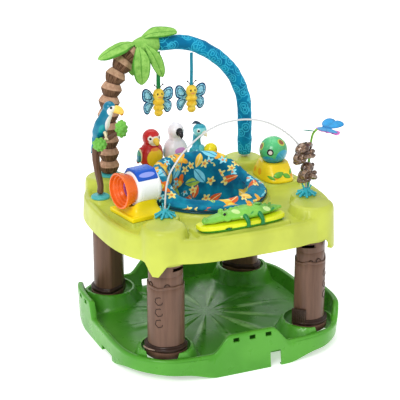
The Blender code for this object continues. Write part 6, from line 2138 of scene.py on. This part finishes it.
def buildWhiteBird():
    paint = onBird("white_bird")
    parts = [
        ballPiece("belly", 0.037, (0, 0, 0.044), (0.92, 1.05, 1.173)),
        tubePiece("neck", [(0, 0, 0.06), (0.001, 0, 0.084), (0.002, 0, 0.107)], [0.0258, 0.0205, 0.0198],
            28, steps=16),
        ballPiece("head", 0.0252, (0.003, 0, 0.107)),
        ballPiece("foot", 0.0165, (0.006, 0, 0.01), (1.3, 1.5, 0.6)),
    ]
    for hand in (-1, 1):
        parts.append(ballPiece("fin", 0.017, (-0.002, hand * 0.0315, 0.047), (0.75, 0.46, 1.35),
            (hand * 0.12, 0.12, 0)))
    for k in range(3):
        parts.append(ballPiece("tuft", 0.006, (-0.006 - 0.006 * k, 0, 0.127 - 0.004 * k), (1.2, 0.6, 1.0)))
    bird = melted("white_bird_mould", parts, 0.0011, 6, 0.5)
    grounded(bird)
    spots = [paint((0.036, 0.0, 0.05), (0.016, 0.0225, 0.0125), (0.74, 0.34, 0.72)),
             paint((0.031, 0.0, 0.1085), (0.013, 0.0155, 0.016), (0.022, 0.02, 0.024))]
    for hand in (-1, 1):
        spots.append(paint((0.0262, hand * 0.013, 0.113), (0.004, 0.0026, 0.003), (0.85, 0.85, 0.85)))
    white = mouldedPlastic("whiteBirdPlastic", (0.9, 0.875, 0.915), 0.26, spots, coat=0.5, deepen=0.06)
    finishPiece(perch(bird, "white_bird"), white, "white_bird", ("white_bird",), 60)
    bill = tubePiece("bill", [(0.023, 0, 0.106), (0.0315, 0, 0.1055), (0.0365, 0, 0.1),
        (0.0378, 0, 0.0905)], [0.007, 0.0085, 0.0066, 0.002], 22, steps=26)
    finishPiece(perch(renamed(bill, "white_bird_bill"), "white_bird"), mouldedPlastic("blackBillPlastic",
        (0.03, 0.028, 0.032), 0.25, coat=0.5), "white_bird", (), 60)


def buildTealBird():
    paint = onBird("teal_bird")
    parts = [
        ballPiece("belly", 0.0282, (0, 0, 0.0291), (1.0, 1.0, 1.02)),
        tubePiece("neck", [(-0.004, 0, 0.04), (-0.008, 0, 0.062), (-0.006, 0, 0.082), (0.002, 0, 0.096),
            (0.006, 0, 0.104)],
                  [0.0212, 0.0152, 0.0136, 0.015, 0.0132], 28, steps=40),
        ballPiece("head", 0.0236, (0.008, 0, 0.1085), (1.0, 1.0, 0.93)),
    ]
    for hand in (-1, 1):
        parts.append(ballPiece("fin", 0.012, (-0.006, hand * 0.0245, 0.036), (0.85, 0.42, 1.25),
            (hand * 0.1, 0.25, 0)))
    bird = melted("teal_bird_mould", parts, 0.001, 5, 0.5)
    grounded(bird)
    spots = [paint((0.026, 0, 0.06), (0.016, 0.014, 0.034), (0.16, 0.62, 0.7)),
             paint((0.015, 0, 0.105), (0.021, 0.03, 0.0185), (0.3, 0.74, 0.78))]
    for hand in (-1, 1):
        spots.append(paint((0.0215, hand * 0.017, 0.111), (0.0062, 0.006, 0.0062), (0.85, 0.86, 0.84)))
        spots.append(paint((0.0235, hand * 0.018, 0.111), (0.0042, 0.004, 0.0036), (0.015, 0.02, 0.03)))
    teal = mouldedPlastic("tealBirdPlastic", (0.05, 0.44, 0.56), 0.26, spots, coat=0.5, deepen=0.15)
    finishPiece(perch(bird, "teal_bird"), teal, "teal_bird", ("teal_bird",), 60)
    crest = []
    for lift, out in ((0.0, 0.0), (-0.0035, 0.0045), (-0.0035, -0.0045)):
        crest.append(tubePiece("crest", [(0.015, out * 0.3, 0.1285), (0.002, out * 0.6, 0.132 + lift * 0.5),
            (-0.012, out, 0.1325 + lift), (-0.025, out * 1.3, 0.127 + lift * 1.6)],
            [0.0022, 0.0034, 0.0032, 0.0014], 14, steps=16))
    crest = joined("teal_bird_crest", crest)
    finishPiece(perch(crest, "teal_bird"), mouldedPlastic("darkCrestPlastic", (0.012, 0.06, 0.11), 0.28,
        coat=0.4), "teal_bird", (), 60)
    bill = tubePiece("bill", [(0.024, 0, 0.104), (0.033, 0, 0.101), (0.0385, 0, 0.0975),
        (0.042, 0, 0.0935)], [0.0098, 0.0082, 0.006, 0.0026], 20, steps=24)
    finishPiece(perch(renamed(bill, "teal_bird_bill"), "teal_bird"), mouldedPlastic("creamBillPlastic",
        (0.93, 0.83, 0.58), 0.3, coat=0.4), "teal_bird", (), 60)


def buildSunBall():
    b = birdShape
    dx, dy, dz, radius = b["sunBall"]
    centre = Vector((b["teal_bird"][0] + dx, b["teal_bird"][1] + dy, b["rest"] + dz))
    sun = ballPiece("sun_ball_mould", radius, (0, 0, 0), columns=64, rows=40)
    for vert in sun.data.vertices:
        co = vert.co
        angle = math.atan2(co.z, co.y)
        side = math.hypot(co.y, co.z) / radius
        vert.co = co * (1 - 0.03 * (0.5 + 0.5 * math.cos(angle * 12)) * smoothStep(0.55, 0.8, side)
                        - 0.03 * math.exp(-((side - 0.52) / 0.05) ** 2))
    sun.data.transform(Matrix.Rotation(math.radians(-60), 4, "Z"))
    moved(sun, centre)
    trim = ballPiece("trim", 0.0289, (b["teal_bird"][0], b["teal_bird"][1], b["rest"] + 0.0291),
        (1, 1, 1.02), columns=48, rows=32)
    combined(sun, trim, "DIFFERENCE")
    finishPiece(sun, mouldedPlastic("sunYellowPlastic", (1.0, 0.8, 0.012), 0.3,
        [(tuple(centre + Vector((0.01, -0.018, 0))), (0.0085, 0.0085, 0.0085), (0, 0, 0),
        (0.9, 0.62, 0.01))], coat=0.4), "teal_bird", ("sun_ball",), 50)


buildBirdStand()
buildRedParrot()
buildWhiteBird()
buildTealBird()
buildSunBall()
print("birds")


# Drum with its turning funnel
drumShape = {"centre": (-0.255, -0.066), "turn": 190, "level": 0.531, "barrel": 0.053, "pad": 0.4466}


drumAt, setDrumDown, drumPaint = toyPlace((*drumShape["centre"], 0), drumShape["turn"])


def laid(name, profile, count=72):
    # a turned piece on the drum's axis, which lies flat
    piece = turnedPiece(name, profile, count)
    piece.data.transform(Matrix.Rotation(math.pi / 2, 4, "Y"))
    piece.data.transform(Matrix.Translation((0, 0, drumShape["level"])))
    return closeUp(piece)


def barrelTool():
    r = drumShape["barrel"] + 0.0004
    return laid("tool", [(0.0, -0.1), (r, -0.1), (r, 0.1), (0.0, 0.1)])


def buildDrumBase():
    low = drumShape["pad"] + toyGap
    yellow = mouldedPlastic("yellowDrumPlastic", (0.96, 0.76, 0.015), 0.34, [
        drumPaint((-0.002, 0.052, low + 0.014), (0.02, 0.006, 0.004), (0.88, 0.74, 0.1))])
    plate = blockPiece("plate", (0.118, 0.134, 0.014), (0, 0, low + 0.007), 0.003, 4)
    rows = [(0.054, 0.062, 0.012), (0.0535, 0.06, 0.015), (0.05, 0.054, 0.019), (0.0455, 0.049, 0.026),
        (0.0425, 0.0465, 0.034), (0.041, 0.045, 0.044), (0.04, 0.044, 0.056)]
    rings = []
    for halfX, halfY, rise in rows:
        rings.append(squaredRing(halfX, halfY, (0.4, 0.4), low + rise, 96, (-0.006, 0)))
    base = combined(plate, skinRings("saddle", rings), "UNION")
    combined(base, barrelTool(), "DIFFERENCE")
    clear = laid("clear", [(0.0, 0.0262), (0.0465, 0.0262), (0.0562, 0.06), (0.0566, 0.07), (0.0, 0.07)])
    combined(base, clear, "DIFFERENCE")
    extra = [base]
    for x, y in ((0.048, 0.056), (0.048, -0.056), (-0.048, 0.056), (-0.048, -0.056)):
        extra.append(turnedPiece("stud", [(0.0, low + 0.0138), (0.004, low + 0.0138), (0.004, low + 0.0148),
            (0.003, low + 0.0154), (0.0, low + 0.0154)], 20))
        moved(extra[-1], (x, y, 0))
    finishPiece(setDrumDown(joined("drum_foot", extra)), yellow, "tray", ("drum_base",),
        30)


def buildDrumBarrel():
    r, level = drumShape["barrel"], drumShape["level"]
    barrel = [laid("barrel", [(0.0, -0.056), (0.041, -0.056), (0.046, -0.0555), (0.0505, -0.0528),
        (r - 0.0008, -0.049), (r, -0.0465), (r, -0.0415), (r - 0.001, -0.0408), (r - 0.001, -0.0392),
        (r, -0.0385), (r, 0.0105), (r - 0.001, 0.0112), (r - 0.001, 0.0128), (r, 0.0135), (r, 0.0185),
        (r - 0.0012, 0.0216), (0.05, 0.0247), (0.0482, 0.0256), (0.0, 0.0258)], 96)]
    holes = []
    for x, y in ((-0.022, -0.62), (0.004, -1.25), (-0.03, -1.55), (-0.004, 0.35)):
        out = Vector((0, math.cos(y) * -1.0, math.sin(y) * -1.0))
        spot = Vector((x, 0, level)) + out * (r + 0.0002)
        hole = turnedPiece("hole", [(0.0, -0.006), (0.0024, -0.006), (0.0024, 0.004), (0.0, 0.004)], 20)
        hole.data.transform(Vector((0, 0, 1)).rotation_difference(out).to_matrix().to_4x4())
        holes.append(moved(hole, spot))
    barrel = combined(barrel[0], joined("holes", holes), "DIFFERENCE")
    white = mouldedPlastic("whiteDrumPlastic", (0.93, 0.94, 0.95), 0.28, coat=0.35, deepen=0.04)
    finishPiece(setDrumDown(renamed(barrel, "drum_shell")), white, "tray", ("drum_barrel",),
        35)


def buildDrumRoof():
    # blue roof with a pale panel let into each slope
    level = drumShape["level"]
    section = [(-0.0425, 0.025), (-0.0425, 0.0345), (-0.0415, 0.0368), (-0.0262, 0.0562), (-0.024, 0.058),
        (-0.021, 0.0588), (0.021, 0.0588), (0.024, 0.058), (0.0262, 0.0562), (0.0415, 0.0368),
        (0.0425, 0.0345), (0.0425, 0.025)]
    rings = [[(-0.012 + x, y * pull, level + 0.014 + (z - 0.014) * pull) for y, z in section]
        for x, pull in ((-0.035, 0.955), (-0.0343, 0.982), (-0.0325, 0.996), (-0.03, 1.0), (0.03, 1.0),
        (0.0325, 0.996), (0.0343, 0.982), (0.035, 0.955))]
    roof = skinRings("roof", rings)
    settle(roof)
    for hand in (-1, 1):
        panel = blockPiece("panel", (0.046, 0.016, 0.003), (0, 0, 0), 0.001, 3)
        panel.data.transform(Matrix.Rotation(hand * -0.903, 4, "X"))
        combined(roof, moved(panel, (-0.012, hand * 0.035, level + 0.048)), "DIFFERENCE")
    combined(roof, barrelTool(), "DIFFERENCE")
    lilac = (0.3, 0.36, 0.8)
    blue = mouldedPlastic("blueRoofPlastic", (0.012, 0.105, 0.52), 0.3, [
        drumPaint((-0.012, hand * 0.0345, level + 0.047), (0.027, 0.008, 0.02), lilac, (hand * -0.903, 0))
        for hand in (-1, 1)], coat=0.2, deepen=0.15)
    finishPiece(setDrumDown(renamed(roof, "drum_roof_mould")), blue, "tray", ("drum_roof",),
        32)


def buildDrumFunnel():
    level = drumShape["level"]
    outer = [(0.0438, 0.0263), (0.0445, 0.028), (0.0468, 0.034), (0.0508, 0.048), (0.0546, 0.061),
        (0.0552, 0.063), (0.0552, 0.0652), (0.0545, 0.0666), (0.0532, 0.0672), (0.0505, 0.0672),
        (0.0494, 0.0666)]
    inner = [(0.048, 0.059), (0.0474, 0.0578), (0.0446, 0.0566), (0.0439, 0.0556), (0.0427, 0.0498),
        (0.042, 0.0488), (0.039, 0.048), (0.0382, 0.047), (0.0373, 0.0414), (0.0366, 0.0405), (0.034, 0.04),
        (0.0332, 0.039), (0.0303, 0.0334), (0.03, 0.0325), (0.03, 0.03), (0.0, 0.03)]
    funnel = laid("funnel_mould", [(0.0, 0.0263)] + outer + inner, 96)
    nubs = [funnel]
    for k in range(12):
        angle = math.tau * k / 12
        nubs.append(tubePiece("nub", [(0.0445, 0.0482 * math.cos(angle), level + 0.0482 * math.sin(angle)),
            (0.052, 0.0512 * math.cos(angle), level + 0.0512 * math.sin(angle)),
            (0.06, 0.0532 * math.cos(angle), level + 0.0532 * math.sin(angle))], [0.001, 0.002, 0.001], 10,
            steps=10))
    orange = mouldedPlastic("orangeFunnelPlastic", (0.86, 0.165, 0.016), 0.26, coat=0.45, deepen=0.18)
    finishPiece(setDrumDown(joined("funnel_ribbed", nubs)), orange, "funnel", ("drum_funnel",),
        32)


def buildDrumMirror():
    mirror, tree, shader, coords = startMaterial("purpleMirror")
    rings = addNode(tree, "ShaderNodeTexWave", wave_type="RINGS", rings_direction="X")
    rings.inputs["Scale"].default_value = 60.0
    centred = addNode(tree, "ShaderNodeMapping")
    centred.inputs["Location"].default_value = tuple(-v for v in drumAt(0.033, 0, drumShape["level"]))
    tree.links.new(coords, centred.inputs["Vector"])
    tree.links.new(centred.outputs["Vector"], rings.inputs["Vector"])
    tone = blended(tree, times(tree, rings.outputs["Fac"], 0.5), (0.2, 0.06, 0.33), (0.52, 0.26, 0.62))
    dress(tree, shader, tone=tone, metal=0.75, rough=0.12)
    disc = laid("mirror_disc", [(0.0, 0.0303), (0.0277, 0.0303), (0.0277, 0.0322), (0.027, 0.033),
        (0.0256, 0.0336), (0.0248, 0.0332), (0.024, 0.0328), (0.016, 0.0333), (0.008, 0.0336),
        (0.0, 0.0337)], 72)
    finishPiece(setDrumDown(disc), mirror, "funnel", ("drum_mirror",), 40)


buildDrumBase()
buildDrumBarrel()
buildDrumRoof()
buildDrumFunnel()
buildDrumMirror()
print("drum")


# Roller ball on its base
ballShape = {"place": (0.273, 0.08), "radius": 0.0456, "level": 0.536, "pad": 0.4466}


def reliefLeaf(name, outline, centre, thickness, place):
    return closeUp(pillowPiece(name, outline, centre, thickness, place, 64))


def buildBallBase(x, y, low, rows):
    b = ballShape
    rings = []
    for halfX, halfY, rise in rows:
        rings.append(squaredRing(halfX, halfY, (0.62, 0.77), low + rise, 120, (x, y)))
    base = skinRings("roller_base", rings)
    combined(base, ballPiece("socket", b["radius"] + 0.0009, (x, y, b["level"]), columns=72, rows=48),
        "DIFFERENCE")
    amber = (0.86, 0.4, 0.02)
    yellow = mouldedPlastic("amberBasePlastic", (0.95, 0.7, 0.02), 0.32, [
        ((x - 0.05, y - 0.004, low + 0.024), (0.006, 0.01, 0.012), (0, 0, 0), amber),
        ((x - 0.02, y - 0.066, low + 0.02), (0.013, 0.01, 0.01), (0, 0, 0.4), amber),
        ((x + 0.034, y - 0.06, low + 0.022), (0.01, 0.01, 0.012), (0, 0, -0.3), amber),
        ((x - 0.046, y + 0.036, low + 0.022), (0.008, 0.012, 0.01), (0, 0, 0), amber)],
        coat=0.35, deepen=0.12)
    finishPiece(base, yellow, "tray", ("ball_base",), 35)


def buildBallLeaves(x, y, low, rows):
    # green leaves in relief on the sloping front of the base
    leaves = []
    for px, rise, size, turn in ((-0.014, 0.026, 1.3, 0.35), (0.014, 0.021, 1.05, -0.5),
            (0.033, 0.03, 0.7, 0.9), (-0.036, 0.017, 0.7, -0.6)):
        outline = [(-0.014, 0.0), (-0.008, 0.006), (0.0, 0.0078), (0.009, 0.005), (0.015, 0.0),
            (0.009, -0.005), (0.0, -0.0078), (-0.008, -0.006)]

        def lay(a, c, lift, px=px, rise=rise, size=size, turn=turn):
            u = (a * math.cos(turn) - c * math.sin(turn)) * size
            v = (a * math.sin(turn) + c * math.cos(turn)) * size
            height = rise + v * 0.83
            i = max(k for k in range(len(rows) - 1) if rows[k][2] <= height)
            share = (height - rows[i][2]) / (rows[i + 1][2] - rows[i][2])
            halfX, halfY = (rows[i][k] + (rows[i + 1][k] - rows[i][k]) * share for k in (0, 1))
            turned = min(0.98, abs(px + u) / halfX) ** (1 / 0.62)
            return Vector((x + px + u, y - halfY * (1 - turned * turned) ** 0.385 - lift * 0.83,
                low + height + lift * 0.56))

        leaves.append(reliefLeaf("leaf", outline, (0, 0), 0.0026, lay))
    finishPiece(joined("roller_base_leaves", leaves), leafWingPlastic("reliefLeafPlastic",
        (0.2, 0.56, 0.06), (0.05, 0.3, 0.03)), "tray", (), 60)


def buildRollerBall(centre):
    b = ballShape
    # shell-like plates are raised between shallow grooves
    ball = ballPiece("roller_ball", 1.0, (0, 0, 0), columns=128, rows=84)
    seeds = []
    for k in range(22):
        height = 1 - 2 * (k + 0.5) / 22
        ring = math.sqrt(1 - height * height)
        seeds.append(Vector((ring * math.cos(goldenTurn * k), ring * math.sin(goldenTurn * k), height)))
    for vert in ball.data.vertices:
        out = vert.co.normalized()
        near = sorted(((out - seed).length for seed in seeds))[:2]
        groove = smoothStep(0.0, 0.1, near[1] - near[0])
        vert.co = out * (b["radius"] - 0.0011 + 0.001 * groove)
    moved(ball, centre)
    spots = [(tuple(centre + Vector(d).normalized() * b["radius"] * 0.98), (0.026,) * 3, (0, 0, 0),
        (0.03, 0.36, 0.54)) for d in ((0.3, -0.9, -0.35), (-0.55, -0.45, -0.75))]
    for direction, inner in (((-0.62, -0.74, 0.1), True), ((0.3, -0.62, 0.72), False),
            ((0.8, -0.45, -0.2), False), ((-0.3, 0.8, 0.42), True), ((0.62, 0.66, 0.1), False),
            ((-0.92, 0.1, 0.38), False)):
        out = Vector(direction).normalized()
        spot = centre + out * b["radius"]
        if inner:
            spots.append((tuple(spot), (0.0112,) * 3, (0, 0, 0), (0.02, 0.014, 0.012)))
            spots.append((tuple(spot + Vector((0.001, 0, -0.001))), (0.0066,) * 3, (0, 0, 0),
                (0.86, 0.76, 0.7)))
        else:
            spots.append((tuple(spot), (0.0135,) * 3, (0, 0, 0), (0.52, 0.58, 0.1)))
            spots.append((tuple(spot), (0.0092,) * 3, (0, 0, 0), (0.32, 0.13, 0.05)))
    green = mouldedPlastic("seaGreenBallPlastic", (0.1, 0.47, 0.19), 0.24, spots, grain=0.12, coat=0.6,
        deepen=0.4)
    finishPiece(ball, green, "ball", ("turtle_ball",), 70)


def buildBall():
    x, y = ballShape["place"]
    low = ballShape["pad"] + toyGap
    rows = [(0.05, 0.075, 0.0), (0.0525, 0.0785, 0.0012), (0.0532, 0.0795, 0.0036), (0.0532, 0.0792, 0.007),
        (0.0526, 0.0772, 0.0105), (0.0512, 0.0725, 0.019), (0.05, 0.068, 0.027), (0.0484, 0.0625, 0.0345),
        (0.0462, 0.056, 0.043), (0.044, 0.05, 0.0505), (0.043, 0.0484, 0.053), (0.0412, 0.0466, 0.054)]
    buildBallBase(x, y, low, rows)
    buildBallLeaves(x, y, low, rows)
    buildRollerBall(Vector((x, y, ballShape["level"])))
    print("roller ball")


buildBall()


# Alligator with its flower button and switch
gatorShape = {"centre": (-0.012, -0.276), "turn": 3, "pad": 0.4466, "boat": 0.02, "gap": 0.0003}


gatorAt, setGatorDown, gatorPaint = toyPlace((*gatorShape["centre"], 0), gatorShape["turn"])


def buildGatorBoat(low):
    rows = [(0.1325, 0.0325, 0.0), (0.134, 0.0345, 0.0006), (0.1385, 0.037, 0.0045),
        (0.1422, 0.0394, 0.0076), (0.143, 0.04, 0.0092), (0.1424, 0.0394, 0.0098), (0.1424, 0.0394, 0.0108),
        (0.143, 0.04, 0.0114), (0.143, 0.04, 0.0164), (0.1422, 0.0391, 0.0184), (0.14, 0.0368, 0.0197),
        (0.1372, 0.0342, 0.02)]
    rings = []
    for halfX, halfY, rise in rows:
        rings.append(squaredRing(halfX, halfY, (0.8, 0.6), low + rise, 160, (0, 0)))
    base = skinRings("gator_boat", rings)
    combined(base, blockPiece("slot", (0.022, 0.02, 0.0068), (-0.06, -0.044, low + 0.01), 0.0005, 2),
        "DIFFERENCE")
    boat = mouldedPlastic("limeBoatPlastic", (0.72, 0.76, 0.018), 0.3, [
        gatorPaint((0, 0, low + 0.002), (0.3, 0.3, 0.0075), (0.07, 0.33, 0.04))], coat=0.35)
    finishPiece(setGatorDown(base), boat, "tray", ("gator_base",), 35)


def buildGatorBody(top):
    path = [(-0.122, 0, top + 0.009), (-0.095, 0, top + 0.011), (-0.07, 0, top + 0.014),
        (-0.045, 0, top + 0.016), (0.0, 0, top + 0.018), (0.05, 0, top + 0.017), (0.09, 0.004, top + 0.014),
        (0.12, 0.01, top + 0.011), (0.142, 0.014, top + 0.009)]
    girth = [0.0082, 0.0128, 0.0142, 0.0182, 0.0208, 0.0198, 0.0152, 0.0105, 0.0046]
    parts = [tubePiece("torso", path, girth, 32, flat=1.35, steps=110),
        ballPiece("snout", 0.0104, (-0.1205, 0, top + 0.0095), (0.75, 1.0, 0.85))]
    for hand in (-1, 1):
        parts.append(ballPiece("eye", 0.0088, (-0.062, hand * 0.0108, top + 0.0275)))
        parts.append(ballPiece("nostril", 0.0038, (-0.118, hand * 0.005, top + 0.0175)))
        parts.append(ballPiece("cheek", 0.009, (-0.052, hand * 0.016, top + 0.011), (1.3, 0.8, 0.9)))
    for k in range(9):
        px = -0.034 + k * 0.0165
        if abs(px - 0.028) > 0.013:
            size = 0.0062 if k < 7 else 0.0048
            parts.append(ballPiece("bump", size,
                (px, 0.0 if px < 0.08 else 0.003, top + (0.036 if k < 6 else 0.032) - abs(px - 0.02)
                * 0.04), (1.0, 0.75, 1.0)))
    for px in (-0.012, 0.012, 0.05, 0.07):
        for hand in (-1, 1):
            parts.append(ballPiece("scale", 0.005, (px, hand * 0.012, top + 0.0325 - abs(px - 0.02) * 0.05),
                (1.2, 0.8, 0.8)))
    gator = melted("gator_mould", parts, 0.0012, 3, 0.5)
    combined(gator, blockPiece("floor", (0.4, 0.12, 0.04), (0, 0, top - 0.02), 0), "DIFFERENCE")
    combined(gator, cylinderPiece("well", 0.0101, top + 0.0232, top + 0.06, (0.028, 0), 48), "DIFFERENCE")
    spots = [gatorPaint((-0.064, hand * 0.0195, top + 0.028), (0.0052, 0.0048, 0.0046),
        (0.012, 0.014, 0.01)) for hand in (-1, 1)]
    spots.append(gatorPaint((-0.06, 0, top + 0.002), (0.08, 0.04, 0.006), (0.46, 0.7, 0.2)))
    for px, lift, reach, tilt, tone in ((-0.026, 0.03, 0.014, 0.3, (0.56, 0.76, 0.3)),
            (0.02, 0.02, 0.017, -0.4, (0.03, 0.3, 0.075)), (-0.008, 0.012, 0.012, 0.6, (0.56, 0.76, 0.3)),
            (0.078, 0.022, 0.015, 0.4, (0.58, 0.78, 0.32)), (0.104, 0.015, 0.016, -0.5, (0.03, 0.3, 0.075)),
            (0.128, 0.012, 0.012, 0.3, (0.02, 0.24, 0.07))):
        spots += [gatorPaint((px, hand * 0.016, top + lift), (reach, 0.012, reach * 0.42), tone, (0, tilt))
            for hand in (-1, 1)]
    green = mouldedPlastic("gatorGreenPlastic", (0.215, 0.52, 0.085), 0.28, spots, coat=0.4, deepen=0.3)
    finishPiece(setGatorDown(gator), green, "tray", ("gator_body",), 60)


def buildGatorLegs(top):
    # dark legs that hang over the boat's rim
    legs = []
    for px in (0.004, 0.052):
        for hand in (-1, 1):
            points = [(px - 0.006, hand * 0.019, top + 0.019), (px - 0.002, hand * 0.03, top + 0.011),
                (px, hand * 0.039, top + 0.001), (px, hand * 0.042, top - 0.0095)]
            legs.append(tubePiece("leg", points, [0.0072, 0.0074, 0.0064, 0.0056], 18, steps=22))
            for toe in (-1, 0, 1):
                legs.append(ballPiece("toe", 0.003, (px + toe * 0.0044, hand * 0.0425, top - 0.012),
                    (1, 0.9, 1.2), columns=12, rows=8))
    legs = melted("gator_legs", legs, 0.0009, 3, 0.5)
    finishPiece(setGatorDown(legs), mouldedPlastic("darkGreenPlastic", (0.014, 0.22, 0.06), 0.3, coat=0.35),
        "tray", (), 60)


def buildGatorFlower(top):
    petals = []
    level = top + 0.0275
    button = turnedPiece("heart", [(0.0, level), (0.0093, level), (0.0093, level + 0.0088),
        (0.0088, level + 0.0098), (0.007, level + 0.0104), (0.0, level + 0.0106)], 48)
    petals.append(moved(button, (0.028, 0, 0)))
    for k in range(6):
        angle = math.tau * k / 6
        petals.append(ballPiece("petal", 0.004, (0.028 + 0.005 * math.cos(angle), 0.005 * math.sin(angle),
            level + 0.0098), (1, 1, 0.62), columns=20, rows=12))
    petals.append(ballPiece("middle", 0.0032, (0.028, 0, level + 0.0115), (1, 1, 0.6), columns=20, rows=12))
    flower = mouldedPlastic("orangeFlowerPlastic", (0.86, 0.42, 0.035), 0.3,
        [(gatorAt(0.028, 0, level + 0.0125), (0.0034, 0.0034, 0.004), (0, 0, 0), (0.8, 0.16, 0.05))],
        coat=0.35)
    finishPiece(setGatorDown(joined("flower_button_mould", petals)), flower, "flower_button",
        ("gator_flower_button",), 50)
    # a leaf beside the flower
    leaf = reliefLeaf("gator_leaf", [(0.0, 0.0), (0.006, 0.007), (0.016, 0.008), (0.026, 0.0),
        (0.016, -0.008), (0.006, -0.007)], (0.013, 0.0), 0.0026,
        lambda a, c, lift: Vector((0.0425 + a, c, top + 0.0385 - a * 0.06 + lift)))
    finishPiece(setGatorDown(leaf), leafWingPlastic("gatorLeafPlastic", (0.16, 0.5, 0.06),
        (0.04, 0.28, 0.04)), "tray", (), 60)


def buildGatorSwitch(low):
    knob = [blockPiece("knob", (0.01, 0.006, 0.006), (-0.06, -0.0395, low + 0.01), 0.0008, 3)]
    for k in (-1, 0, 1):
        knob.append(blockPiece("grip", (0.001, 0.001, 0.005), (-0.06 + k * 0.0024, -0.0427, low + 0.01),
            0.0003, 2))
    finishPiece(setGatorDown(joined("switch_knob", knob)), mouldedPlastic("darkSwitchPlastic",
        (0.02, 0.17, 0.06), 0.35), "switch", ("gator_switch",), 30)


def buildGator():
    low = gatorShape["pad"] + toyGap
    top = low + gatorShape["boat"] + gatorShape["gap"]
    buildGatorBoat(low)
    buildGatorBody(top)
    buildGatorLegs(top)
    buildGatorFlower(top)
    buildGatorSwitch(low)
    print("alligator")


buildGator()
